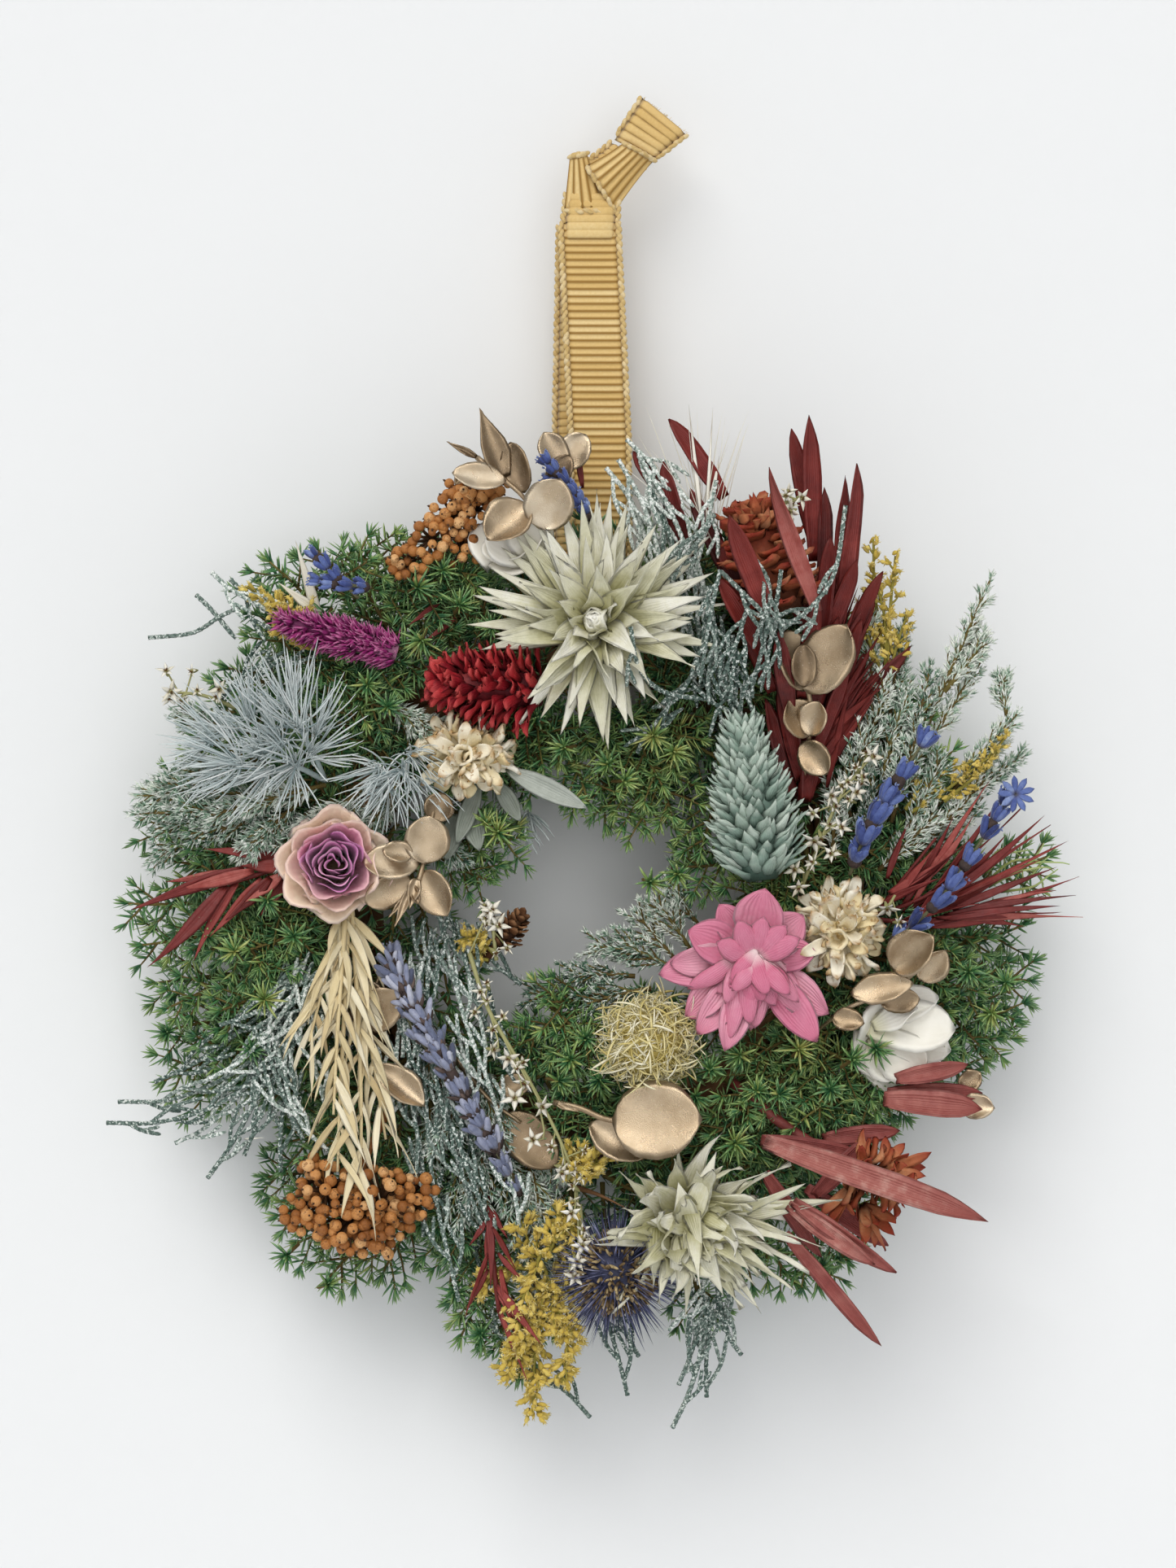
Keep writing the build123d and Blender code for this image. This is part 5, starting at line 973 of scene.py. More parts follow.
acc = Acc()
face, e1, e2 = basis(A([0.05, -1.0, 0.08]))
Cr = A((-68.7, -17.0, -175.3))
for i in range(6):
    cup_petal(acc, Cr, e1, e2, face, i * TAU / 6 + 0.3, 0.78, 3.8, 12.4, 0.5, 17.8 + RNG.normal(0, 1.2), flare=2.2, tone=0.95 + RNG.normal(0, 0.05), dip=0.45, roll=1.6, ruffle=0.9, th=0.28)
for i in range(5):
    cup_petal(acc, Cr, e1, e2, face, i * TAU / 5 + 0.9, 0.85, 3.3, 10.6, 1.0, 20.8 + RNG.normal(0, 0.9), flare=1.3, tone=0.86 + RNG.normal(0, 0.06), dip=0.4, roll=1.4, ruffle=0.8, th=0.28)
for i in range(5):
    cup_petal(acc, Cr + face * 0.0 + e1 * RNG.normal(0, 0.3), e1, e2, face, i * TAU / 5 + 0.1, 0.9, 3.0, 8.8, 1.0, 22.8 + RNG.normal(0, 0.7), flare=0.8, tone=0.6 + RNG.normal(0, 0.06), dip=0.35, roll=0.8, ruffle=0.7, th=0.28)
for i in range(13):
    rr = 6.9 * (1 - i / 13.5) ** 0.9 + 0.5
    off = (e1 * math.cos(i * 2.1) + e2 * math.sin(i * 2.1)) * 0.55
    cup_petal(acc, Cr + off, e1, e2, face, i * 2.25, min(2.0, 0.8 + 0.09 * i), 2.0 + rr * 0.4, rr, 4.0, 23.0 + RNG.normal(0, 0.7) - 0.05 * i, flare=0.4, tone=RNG.uniform(0.2, 1.0), m=1, th=0.26, dip=0.2, k=9, mm=15, roll=0.25, ruffle=0.55)
for i in range(5):
    a = i * TAU / 5 + 0.2
    leaf(acc, Cr + face * 1.0, math.cos(a) * e1 + math.sin(a) * e2 + face * 0.1, face, 13, 2.6, "lance", curl=0.7, r=0.9)
tube(acc, A([Cr + face * 4, Cr + face * 0.2]), (4.6, 2.6), 10, r=0.9)
piece("rose", acc, [ROSE, ROSE_IN], ["rose_head"])

acc = Acc()
face, e1, e2 = basis(A([-0.3, -1.0, 0.35]))
Cw = A((-18.7, -20.0, -90.6))
for i in range(9):
    cup_petal(acc, Cw, e1, e2, face, i * 2.4, 0.8, 2.0, 9.6 - 0.5 * i, 0.0, 9.5 + 0.4 * i, flare=2.0 - 0.2 * i, tone=RNG.uniform(0.3, 0.9), dip=0.5, roll=1.0)
leaf(acc, A((-15.4, -27.0, -93.9)), A((-29.3, -30.0, -88.0)) - A((-15.4, -27.0, -93.9)), A([0, -1.0, 0.3]), 15, 5.5, "petal", curl=0.3, cup=0.3, r=0.9, k=9, mm=7)
leaf(acc, A((-14.3, -28.0, -94.0)), A((-18.6, -30.0, -83.3)) - A((-14.3, -28.0, -94.0)), A([0, -1.0, 0.0]), 13, 6.0, "petal", curl=0.2, cup=0.35, r=0.7, k=9, mm=7)
piece("white_rose_upper", acc, [IVORY], ["white_rose_top"])
acc = Acc()
face, e1, e2 = basis(A([0.45, -1.0, -0.2]))
Cw = A((79.5, -18.0, -220.7))
for i in range(6):
    cup_petal(acc, Cw, e1, e2, face, i * 1.05 + 0.5, 0.8, 2.4, 11.0, 0.0, 8.5, flare=2.4, tone=RNG.uniform(0.4, 1.0), dip=0.5, roll=1.6, ruffle=0.4)
for rt, tp, w, tw, cu in [((72.6, -26.0, -217.5), (95.6, -31.0, -217.7), 7.4, 0.3, -0.25), ((74.4, -25.0, -219.3), (88.0, -29.0, -229.1), 7.2, -0.3, -0.2), ((72.7, -24.0, -215.5), (91.5, -28.0, -209.7), 5.6, 0.6, -0.2), ((72.3, -24.0, -221.5), (82.9, -27.0, -229.6), 6.4, 0.1, -0.2), ((74.7, -28.0, -217.4), (86.7, -30.0, -212.6), 4.4, 0.9, 0.3), ((74.5, -24.0, -219.8), (95.0, -27.0, -223.5), 5.5, 0.0, -0.2)]:
    P, d, L = towards(tp, rt)
    leaf(acc, P, d, A([0, -1.0, 0.1]), L * 1.03, w, "petal", curl=cu, cup=0.32, twist=tw, r=RNG.uniform(0.5, 1.0), k=12, mm=9, wave=0.4)
piece("white_rose_lower", acc, [IVORY], ["white_rose_right"])

acc = Acc()
cs = A((42.9, -31.0, -199.2))
face = A([0, -1.0, 0])
for tp, w, lift in [((18.7, -31.0, -203.7), 5.2, .25), ((21.5, -33.0, -198.7), 4.8, .3), ((26.0, -35.0, -192.2), 6.0, .35), ((33.5, -33.0, -185.8), 4.4, .35), ((46.1, -36.0, -181.0), 7.0, .3), ((55.9, -33.0, -188.4), 5.8, .3), ((58.9, -34.0, -197.4), 4.8, .25),
                    ((24.1, -31.0, -212.6), 5.0, .3), ((29.3, -32.0, -219.4), 4.6, .3), ((62.9, -30.0, -212.6), 5.4, .2), ((59.9, -31.0, -220.1), 5.0, .3), ((40.1, -31.0, -185.0), 4.8, .3), ((34.8, -33.0, -222.8), 4.4, .3)]:
    P, d, L = towards(tp, cs)
    leaf(acc, P + d * 2, d + face * 0.25, face, L - 1, w, "tongue", curl=-lift, cup=0.42, th=0.35, k=14, mm=9, r=RNG.uniform(0.35, 1.0), wave=0.5, twist=RNG.normal(0, 0.2), side=RNG.normal(0, 0.08))
for i in range(30):
    q = i / 29
    a_ = -math.pi / 2 + (RNG.uniform(-1, 1) * 0.95)
    ln_ = 21.5 - 9.5 * q + RNG.normal(0, 1.6)
    d = A([math.cos(a_), 0, math.sin(a_)])
    P = cs + face * (1.5 + 6.0 * q) + A([RNG.uniform(-4.5, 4.5) * (1 - 0.3 * q), 0, RNG.uniform(-1, 3)])
    leaf(acc, P, d + face * (0.3 + 0.25 * q), face, ln_, RNG.uniform(2.7, 3.7) * (1 - 0.2 * q), "tongue", curl=-RNG.uniform(0.5, 1.0), cup=-0.4, th=0.35, k=12, mm=9, r=np.clip(0.75 - 0.6 * q + RNG.normal(0, 0.12), 0, 1), wave=0.3, twist=RNG.normal(0, 0.25), side=RNG.normal(0, 0.15))
for tp in [(36.5, -44.0, -196.2), (51.7, -44.0, -195.0), (44.6, -44.0, -191.5), (40.3, -45.0, -192.8), (48.9, -44.0, -192.8)]:
    P, d, L = towards(tp, cs + face * 3)
    leaf(acc, P, d + face * 0.7, face, L * 1.2, 3.4, "tongue", curl=-1.1, cup=-0.3, th=0.35, k=10, mm=7, r=0.4, wave=0.2)
tube(acc, A([cs + face * 5, cs, cs - face * 12]), (4.5, 4.2, 2.0), 10, r=0.9)
piece("strawflower", acc, [PINK], ["strawflower_pink"])


# ---------------------------------------------------------------- cones of bracts
CRIMSON = material("crimson_bract_finish", [(0, "#5d0d18"), (0.4, "#971a26"), (0.75, "#b92d34"), (1, "#cf4a48")], base="#3c0810", base_at=(0, 0.5), tip="#c8524e", tip_at=(0.65, 1.15), rough=(0.5, 0.7), spec=0.3, noise=(420.0, 0.5), bump=(1100.0, 0.35), fibre=(40.0, 0.4))
SAGE = material("sage_bract_finish", [(0, "#7a9286"), (0.4, "#9ab0a2"), (0.75, "#b3c5b7"), (1, "#cfdbcf")], base="#3c5348", base_at=(0, 0.5), tip="#c9d4c8", tip_at=(0.6, 1.15), rough=(0.6, 0.8), spec=0.25, noise=(420.0, 0.5), bump=(1100.0, 0.3), fibre=(40.0, 0.3))
TERRA = material("terracotta_scale_finish", [(0, "#80422a"), (0.4, "#a85a38"), (0.75, "#c07a52"), (1, "#d29a70")], base="#4c2814", base_at=(0, 0.45), tip="#8e2a20", tip_at=(0.55, 1.05), rough=(0.6, 0.8), spec=0.25, noise=(420.0, 0.8), bump=(900.0, 0.6))
DARKRED = material("dark_red_leaf_finish", [(0, "#4d1412"), (0.4, "#74241f"), (0.75, "#8e3730"), (1, "#a85f57")], tip="#6b1f18", tip_at=(0.5, 1.1), rough=(0.4, 0.6), spec=0.4, noise=(240.0, 0.9), bump=(1400.0, 0.35), fibre=(60.0, 0.5))
MAG = material("magenta_plume_finish", [(0, "#6c1450"), (0.4, "#992a72"), (0.75, "#b64b8a"), (1, "#cf7aa8")], base="#4a1238", base_at=(0, 0.35), tip="#dba0c0", tip_at=(0.6, 1.3), rough=(0.45, 0.65), spec=0.35, noise=(500.0, 0.6), bump=(1500.0, 0.3))


UP0 = A([0, -1.0, 0])


def scale_cone(acc, A0, A1, R, n, L, w, opening=0.55, prof=((0, 0.15, 0.4, 0.75, 1), (0.7, 0.92, 1, 0.72, 0.2)), lprof="lance", th=0.35, curl=-0.25, core=0.6, cup=0.35, k=6, mm=5, jit=0.12, m=0, top=1.0, wave=0.2):
    """Scales in a spiral on an axis from A0 to A1, pointing along it and out."""
    A0, A1 = A(A0, float), A(A1, float)
    ax = unit(A1 - A0)
    H = np.linalg.norm(A1 - A0)
    u, v = (q[0] for q in perp(ax))
    tube(acc, smooth_path([A0, A1], 10), R * core * np.interp(np.linspace(0, 1, 10), *prof), 12, r=0.0)
    for i in range(n):
        t = ((i + 0.5) / n) ** 0.92
        a = i * 2.39996 + RNG.normal(0, jit)
        rad = math.cos(a) * u + math.sin(a) * v
        rho = R * np.interp(t, *prof)
        op = opening * (1 - 0.55 * t**2) + RNG.normal(0, jit * 0.6)
        d = math.cos(op) * ax + math.sin(op) * rad
        up = math.cos(op) * rad - math.sin(op) * ax
        P = A0 + ax * (t * H * top) + rad * (rho * core * 0.9)
        leaf(acc, P, d, up, L * (1 - 0.25 * t) * RNG.uniform(0.88, 1.12), w * (1 - 0.2 * t), lprof, curl=curl + RNG.normal(0, 0.1), cup=-cup, th=th, k=k, mm=mm, r=RNG.uniform(0.1, 0.95), m=m, wave=wave, twist=RNG.normal(0, 0.2))


acc = Acc()
scale_cone(acc, (-12.5, -28.0, -128.5), (-39.1, -29.0, -125.9), 8.4, 130, 9.2, 2.2, opening=1.0, curl=0.45, prof=((0, 0.15, 0.5, 0.85, 1), (0.75, 0.95, 1, 0.8, 0.4)), wave=0.6, lprof="petal", k=8, jit=0.2)
for i in range(10):
    P_ = A((-36.7, -29.0, -125.9)) + wob(1, 1.6)[0]
    leaf(acc, P_, A([-1.0, RNG.uniform(-0.8, 0.2), RNG.normal(0, 0.7)]), A([-0.2, -1.0, 0.2]), RNG.uniform(6, 9.5), 2.0, "petal", curl=RNG.normal(0, 0.4), cup=0.4, th=0.35, k=8, r=RNG.uniform(0.2, 1), wave=0.5)
piece("crimson_bract_cone", acc, [CRIMSON], ["red_bract_cone"])
acc = Acc()
scale_cone(acc, (45.3, -30.0, -178.5), (40.1, -30.0, -138.9), 13.4, 300, 8.8, 2.35, opening=0.9, curl=-0.12, prof=((0, 0.1, 0.28, 0.58, 0.86, 1), (0.5, 0.92, 1.04, 0.8, 0.46, 0.26)), wave=0.35, k=7, lprof="lance", jit=0.2)
piece("sage_bract_cone", acc, [SAGE], ["sage_cone"])
acc = Acc()
scale_cone(acc, (51.0, -27.0, -108.2), (41.5, -27.0, -80.1), 13.2, 74, 7.4, 4.2, opening=1.1, curl=0.7, lprof="scale", th=1.1, core=0.6, cup=0.0, k=7, mm=7, prof=((0, 0.2, 0.45, 0.75, 1), (0.7, 0.95, 1, 0.8, 0.5)), wave=0.6, jit=0.2)
for i in range(16):
    a = i * 2.39996
    P_ = A((43.4, -34.0, -83.4)) + wob(1, 1.5)[0]
    leaf(acc, P_, A([math.cos(a) * 0.8, -0.35, 0.55 + math.sin(a) * 0.5]), UP0, RNG.uniform(5, 8), 1.5, "lance", curl=RNG.uniform(-0.4, 0.6), cup=0.4, th=0.3, k=7, r=RNG.uniform(0.2, 1), m=0)
piece("terracotta_cone_upper", acc, [TERRA], ["leucadendron_cone_upper"])
acc = Acc()
scale_cone(acc, (68.5, -30.0, -254.9), (82.3, -30.0, -261.3), 7.4, 40, 7.6, 2.2, opening=1.1, curl=0.9, lprof="strap", th=0.5, core=0.5, cup=0.5, k=8, wave=0.5, jit=0.3)
for P, q, r_ in [((72.1, -28.0, -264.5), (74.8, -30.0, -275.6), 0.3), ((77.5, -28.0, -255.9), (87.5, -30.0, -251.0), 0.4), ((68.9, -28.0, -260.2), (63.4, -30.0, -268.7), 0.2), ((72.0, -30.0, -255.7), (69.8, -31.0, -247.0), 0.3)]:
    for i in range(8):
        P_, d, L = towards(q, P)
        leaf(acc, P_, d + wob(1, 0.4)[0], A([0, -1.0, 0]) + wob(1, 0.5)[0], L * RNG.uniform(0.8, 1.3), 1.6, "strap", curl=RNG.normal(0.4, 0.6), cup=0.5, th=0.35, k=8, r=RNG.uniform(0.2, 0.9), wave=0.3, twist=RNG.normal(0, 0.6))
piece("terracotta_cone_lower", acc, [TERRA], ["leucadendron_cone_lower"])
acc = Acc()
scale_cone(acc, (-24.8, -20.0, -195.7), (-18.7, -22.0, -188.2), 4.6, 34, 3.6, 1.8, opening=0.9, curl=0.2, lprof="scale", th=0.5, core=0.55, cup=0.1, k=5)
CONE = material("cone_scale_finish", [(0, "#3b2416"), (0.5, "#5f3d25"), (1, "#8a6242")], tip="#9a7350", tip_at=(0.7, 1.2), rough=(0.65, 0.85), spec=0.2, noise=(500.0, 0.8), bump=(1200.0, 0.5))
tube(acc, smooth_path([(-24.8, -20.0, -195.7), (-28.3, -17.0, -199.7)], 5), 1.6, 8, r=0.3)
piece("small_cone", acc, [CONE], ["small_pine_cone"])

# celosia plume
acc = Acc()
Pa, Pb = A((-82.5, -27.0, -109.5)), A((-51.5, -25.0, -118.1))
ax = unit(Pb - Pa)
n = 760
t = RNG.uniform(0, 1, n) ** 0.85
u, v = (q[0] for q in perp(ax))
a = RNG.uniform(0, TAU, n)
rad = np.cos(a)[:, None] * u + np.sin(a)[:, None] * v
R = np.interp(t, [0, 0.2, 0.6, 1], [0.5, 2.2, 3.4, 2.6])[:, None]
P = Pa + (Pb - Pa) * t[:, None] + rad * R
spindles(acc, P, rad * 0.9 - ax * 0.95 + wob(n, 0.35), RNG.uniform(2.4, 4.6, n), RNG.uniform(0.85, 1.35, n), (0, 0.35, 0.75, 1), (0.5, 1, 0.5, 0), 4, 0.45, wob(n, 0.5), RNG.uniform(0, 1, n))
tube(acc, smooth_path([Pa, Pb], 8), np.interp(np.linspace(0, 1, 8), [0, 0.2, 0.6, 1], [0.4, 1.9, 3.1, 2.0]), 10, r=0.1)
piece("celosia_plume", acc, [MAG], ["celosia_magenta"])

# strap leaves of the dark red foliage
acc = Acc()
UP = A([0, -1.0, 0])
for tip, root, w, tn, y in [
    ((20.8, -24.0, -56.1), (35.5, -22.0, -76.8), 3.0, 0.35, 0), ((19.3, -24.0, -67.4), (26.0, -22.0, -93.7), 3.2, 0.3, 0), ((11.3, -20.0, -64.3), (20.8, -20.0, -78.0), 2.4, 0.35, 0), ((46.5, -46.0, -70.2), (59.5, -40.0, -107.7), 2.7, 0.85, 0), ((36.4, -46.0, -81.9), (47.2, -38.0, -109.4), 3.3, 0.4, 0),
    ((32.8, -38.0, -98.4), (45.7, -30.0, -119.0), 3.2, 0.35, 0), ((57.7, -26.0, -55.2), (59.1, -24.0, -93.8), 2.9, 0.35, 0), ((53.5, -22.0, -58.6), (59.5, -20.0, -89.3), 2.6, 0.25, 0), ((70.8, -28.0, -68.3), (66.6, -26.0, -105.8), 3.1, 0.6, 0), ((66.2, -24.0, -70.8), (65.9, -22.0, -105.6), 2.6, 0.25, 0),
    ((71.1, -30.0, -93.4), (61.4, -26.0, -117.7), 2.6, 0.3, 0), ((77.4, -26.0, -96.5), (63.6, -24.0, -124.1), 2.4, 0.25, 0), ((75.5, -28.0, -103.7), (61.4, -26.0, -128.5), 2.5, 0.35, 0), ((85.2, -22.0, -116.0), (68.1, -22.0, -134.9), 2.2, 0.3, 0), ((61.9, -24.0, -74.3), (61.6, -22.0, -108.9), 2.7, 0.3, 0),
    ((60.0, -34.0, -102.8), (55.9, -28.0, -130.7), 2.8, 0.3, 0), ((65.5, -30.0, -109.1), (57.1, -26.0, -139.3), 2.6, 0.4, 0), ((50.6, -24.0, -124.1), (56.1, -22.0, -152.2), 3.0, 0.2, 0), ((59.3, -24.0, -134.9), (57.2, -22.0, -157.7), 2.8, 0.35, 0), ((67.8, -28.0, -119.9), (59.3, -24.0, -145.7), 2.6, 0.3, 0),
    ((52.7, -28.0, -83.2), (59.3, -24.0, -113.3), 2.8, 0.3, 0), ((38.6, -30.0, -104.8), (48.4, -26.0, -128.5), 2.8, 0.3, 0), ((72.1, -28.0, -109.1), (61.5, -24.0, -139.3), 2.4, 0.25, 0), ((49.2, -36.0, -111.5), (52.7, -28.0, -135.0), 2.8, 0.25, 0), ((26.8, -24.0, -74.3), (37.7, -22.0, -100.2), 2.8, 0.25, 0),
    ((63.2, -34.0, -87.7), (61.4, -26.0, -115.5), 2.7, 0.35, 0), ((33.2, -28.0, -87.5), (44.1, -26.0, -109.0), 2.8, 0.25, 0), ((74.0, -24.0, -117.6), (61.6, -22.0, -145.7), 2.3, 0.3, 0), ((46.3, -24.0, -130.6), (54.0, -20.0, -156.6), 2.6, 0.2, 0),
]:
    P, d, L = towards(tip, root)
    leaf(acc, P, d, UP + wob(1, 0.25)[0], L * 1.01, w * 0.92, "blunt" if RNG.uniform() < 0.55 and w > 2.5 else "strap", curl=RNG.normal(0.05, 0.12), cup=RNG.uniform(0.3, 0.7), twist=RNG.normal(0, 0.4), th=0.45, k=14, mm=7, r=np.clip(tn + RNG.normal(0, 0.15), 0, 1), wave=0.3)
for i in range(40):
    q = RNG.uniform(0, 1)
    tp = A((70.0, -27.0, -98.7)) * (1 - q) + A((77.0, -25.0, -128.4)) * q + A([RNG.uniform(-9, 5), RNG.uniform(-5, 3), RNG.uniform(-5, 5)])
    rt = A((59.4, -21.0, -134.9)) + A([RNG.uniform(-4, 4), RNG.uniform(-2, 2), -14 * q + RNG.uniform(-8, 6)])
    P, d, L = towards(tp, rt)
    leaf(acc, P, d, UP + wob(1, 0.4)[0], L * 1.02, RNG.uniform(0.8, 1.6), "lance", curl=RNG.normal(0.05, 0.15), cup=0.5, twist=RNG.normal(0, 0.5), th=0.35, k=12, mm=5, r=RNG.uniform(0.1, 0.7), wave=0.15)
tube(acc, smooth_path([(56.2, -20.0, -157.7), (57.2, -22.0, -139.2), (59.3, -24.0, -117.6), (50.4, -30.0, -100.5)], 14), 1.3, 8, r=0.2)
piece("dark_red_leaves_upper", acc, [DARKRED], ["leucadendron_leaves_upper"])
acc = Acc()
DUSTRED = material("dusty_red_leaf_finish", [(0, "#6a2825"), (0.4, "#8e4540"), (0.75, "#a8655c"), (1, "#c79a8e")], tip="#8a403a", tip_at=(0.6, 1.1), rough=(0.45, 0.65), spec=0.4, noise=(240.0, 0.9), bump=(1400.0, 0.4), fibre=(60.0, 0.5))
for tip, root, w, tn in [((104.0, -38.0, -267.6), (45.6, -41.0, -246.8), 3.7, 0.75), ((80.5, -36.0, -281.5), (53.4, -36.0, -263.0), 2.7, 0.6), ((74.9, -36.0, -279.4), (52.0, -35.0, -264.0), 2.6, 0.75), ((77.1, -24.0, -301.4), (51.5, -30.0, -271.9), 2.3, 0.5), ((99.8, -30.0, -227.3), (80.7, -28.0, -231.3), 2.6, 0.6), ((103.6, -28.0, -239.7), (77.5, -28.0, -236.9), 3.7, 0.6),
                         ((103.9, -24.0, -235.4), (78.7, -26.0, -235.5), 3.0, 0.45), ((72.1, -28.0, -251.6), (45.0, -30.0, -247.1), 2.8, 0.3), ((78.9, -22.0, -275.8), (57.1, -26.0, -260.3), 2.6, 0.3), ((74.2, -30.0, -247.1), (59.2, -26.0, -262.5), 2.6, 0.3), ((61.6, -22.0, -278.0), (46.3, -26.0, -256.0), 2.6, 0.3), ((82.0, -24.0, -245.3), (61.5, -24.0, -247.5), 2.6, 0.4)]:
    P, d, L = towards(tip, root)
    leaf(acc, P, d, UP + wob(1, 0.3)[0], L * 1.01, w, "blunt" if w > 3.0 else "strap", curl=RNG.normal(0.05, 0.1), cup=RNG.uniform(0.35, 0.75), twist=RNG.normal(0, 0.5), th=0.45, k=14, mm=7, r=tn, wave=0.2)
tube(acc, smooth_path([(65.7, -26.0, -252.8), (50.6, -24.0, -243.2), (37.8, -18.0, -232.7)], 8), 1.4, 8, r=0.2)
piece("dark_red_leaves_lower", acc, [DUSTRED], ["leucadendron_leaves_lower"])

# ---------------------------------------------------------------- curly seed ball and thistle
CURL = material("yellow_curl_finish", [(0, "#cdb968"), (0.35, "#e4d594"), (0.7, "#f3eabe"), (1, "#fffae2")], rough=(0.5, 0.7), spec=0.3, noise=(500.0, 0.6), bump=(1500.0, 0.3), fibre=(30.0, 0.3))
acc = Acc()
cb = A((15.3, -30.0, -221.5))
Rb = 13.0
balls(acc, [cb], [Rb * 0.7], 1, r=0.0)
for i in range(760):
    z_ = 1 - 2 * (i + 0.5) / 760
    a = i * 2.39996
    q = math.sqrt(1 - z_ * z_)
    nrm = A([q * math.cos(a), z_, q * math.sin(a)])
    if nrm[1] > 0.7:
        continue
    tang = unit(np.cross(nrm, RNG.normal(0, 1, 3)))
    L = RNG.uniform(6.5, 11.0)
    leaf(acc, cb + nrm * Rb * RNG.uniform(0.66, 0.84), unit(tang * RNG.uniform(0.3, 1.0) + nrm * RNG.uniform(0.35, 1.0)), nrm, L, RNG.uniform(0.2, 0.38), "strap", curl=RNG.uniform(-3.2, -0.4), twist=RNG.normal(0, 2.2), cup=0.3, th=0.15, k=10, mm=3, r=RNG.uniform(0.1, 1))
n = 150
d = unit(wob(n, 1.0))
d[:, 1] = -np.abs(d[:, 1]) * 0.8
spindles(acc, cb + unit(d) * Rb * 0.7, unit(d), RNG.uniform(3.5, 6.0, n), 0.5, (0, 0.5, 1), (1, 0.8, 0), 3, 0.5, wob(n, 0.9), RNG.uniform(0.3, 1, n))
piece("curly_ball", acc, [CURL], ["curly_seed_ball"])
THI = material("thistle_spine_finish", [(0, "#30334a"), (0.4, "#4c5070"), (0.75, "#70749a"), (1, "#a0a3c2")], rough=(0.45, 0.65), spec=0.35, noise=(500.0, 0.6), bump=(1500.0, 0.3))
THB = material("thistle_floret_finish", [(0, "#4a3a2c"), (0.5, "#86704f"), (1, "#c2ad80")], rough=(0.7, 0.85), spec=0.2, noise=(700.0, 0.8), bump=(1500.0, 0.4))
acc = Acc()
ct = A((6.7, -24.0, -282.8))
n = 560
d = unit(wob(n, 1.0))
d[:, 1] = -np.abs(d[:, 1]) * 0.8 + 0.18
d = unit(d)
spindles(acc, ct + d * 5, d, RNG.uniform(9, 16.5, n), RNG.uniform(0.32, 0.5, n), (0, 0.5, 1), (1, 0.8, 0), 3, 1, wob(n, 0.8), RNG.uniform(0, 1, n))
n = 420
d = unit(wob(n, 1.0))
d[:, 1] = -np.abs(d[:, 1])
spindles(acc, ct + d * 9.5, d + wob(n, 0.3), RNG.uniform(2.0, 3.6, n), RNG.uniform(0.7, 1.1, n), (0, 0.4, 0.8, 1), (0.5, 1, 0.8, 0), 4, 1, None, RNG.uniform(0, 1, n), m=1)
balls(acc, [ct], [9.2], 1, r=0.15)
d = unit(wob(60, 1.0)) * A([1, 0.3, 1])
spindles(acc, ct + A([0, 2, 0]) + unit(d) * 7, unit(d), RNG.uniform(12, 15, 60), RNG.uniform(0.9, 1.3, 60), (0, 0.3, 1), (1, 0.9, 0), 4, 0.35, wob(60, 1.2), RNG.uniform(0, 0.6, 60))
piece("thistle", acc, [THI, THB], ["thistle_blue"])

# ---------------------------------------------------------------- pods and berries
POD = material("pod_finish", [(0, "#dcc28c"), (0.4, "#ecdcb0"), (0.75, "#f4ead0"), (1, "#fbf6e6")], tip="#b28a52", tip_at=(0.78, 1.0), base="#e6cf98", base_at=(0, 0.3), rough=(0.5, 0.7), spec=0.3, noise=(300.0, 0.4), bump=(900.0, 0.6), fleck=("#a97f48", 420.0, 0.62, 0.7))


def pod(acc, P, d, L=9.0, R=4.6, lobes=5):
    """A cup-shaped floret with a thick crinkled rim of rounded lobes."""
    P, d = A(P, float), unit(A(d, float))
    u, v = (q[0] for q in perp(d))
    k, mm = 9, 26
    t = np.linspace(0, 1, k)[:, None]
    a = np.linspace(0, TAU, mm)[None]
    ph = RNG.uniform(0, 6)
    rr = R * (0.5 + 0.34 * t**0.8) * (1 + 0.05 * np.sin(a * lobes + ph))
    h = np.broadcast_to(L * 0.66 * t, (k, mm))
    G = P + (rr * np.cos(a))[..., None] * u + (rr * np.sin(a))[..., None] * v + h[..., None] * d
    c = np.zeros((k, mm, 3))
    c[..., 0], c[..., 1], c[..., 2] = RNG.uniform(0.5, 0.9), 0.35 + 0.25 * t, 0.5
    shell(acc, G, -0.9, c=c)
    for i in range(lobes):
        aa = i * TAU / lobes + ph
        q = math.cos(aa) * u + math.sin(aa) * v
        leaf(acc, P + d * L * 0.4 + q * R * 0.72, d * 0.95 + q * 0.5, q, L * 0.66 * RNG.uniform(0.85, 1.15), R * 0.56, "round", curl=RNG.uniform(0.3, 0.9), cup=-0.35, th=0.85, k=8, mm=7, r=RNG.uniform(0.35, 1.0), wave=0.5)
        leaf(acc, P + d * L * 0.1 + q * R * 0.25, d + q * 0.25, -q, L * 0.75, R * 0.3, "petal", curl=-0.1, cup=-0.4, th=0.35, k=6, mm=5, r=RNG.uniform(0.3, 0.9))
    tube(acc, A([P + d * L * 0.25, P, P - d * 3]), (R * 0.5, R * 0.5, 1.2), 10, r=0.8)


def pods(C, tips, heart):
    acc = Acc()
    C = A(C, float)
    for tp in tips:
        P, d, L = towards(tp, C)
        pod(acc, P + d * 1.8, d + wob(1, 0.1)[0], L - 1.6, RNG.uniform(3.3, 3.9))
    for tp in heart:
        P, d, L = towards(tp, C)
        pod(acc, P, d, L, 3.5)
    tube(acc, A([C, C + A([0, 6.0, 0]), C + A([0, 12.0, 0])]), (4.5, 3.0, 1.5), 8, r=0.2)
    return acc


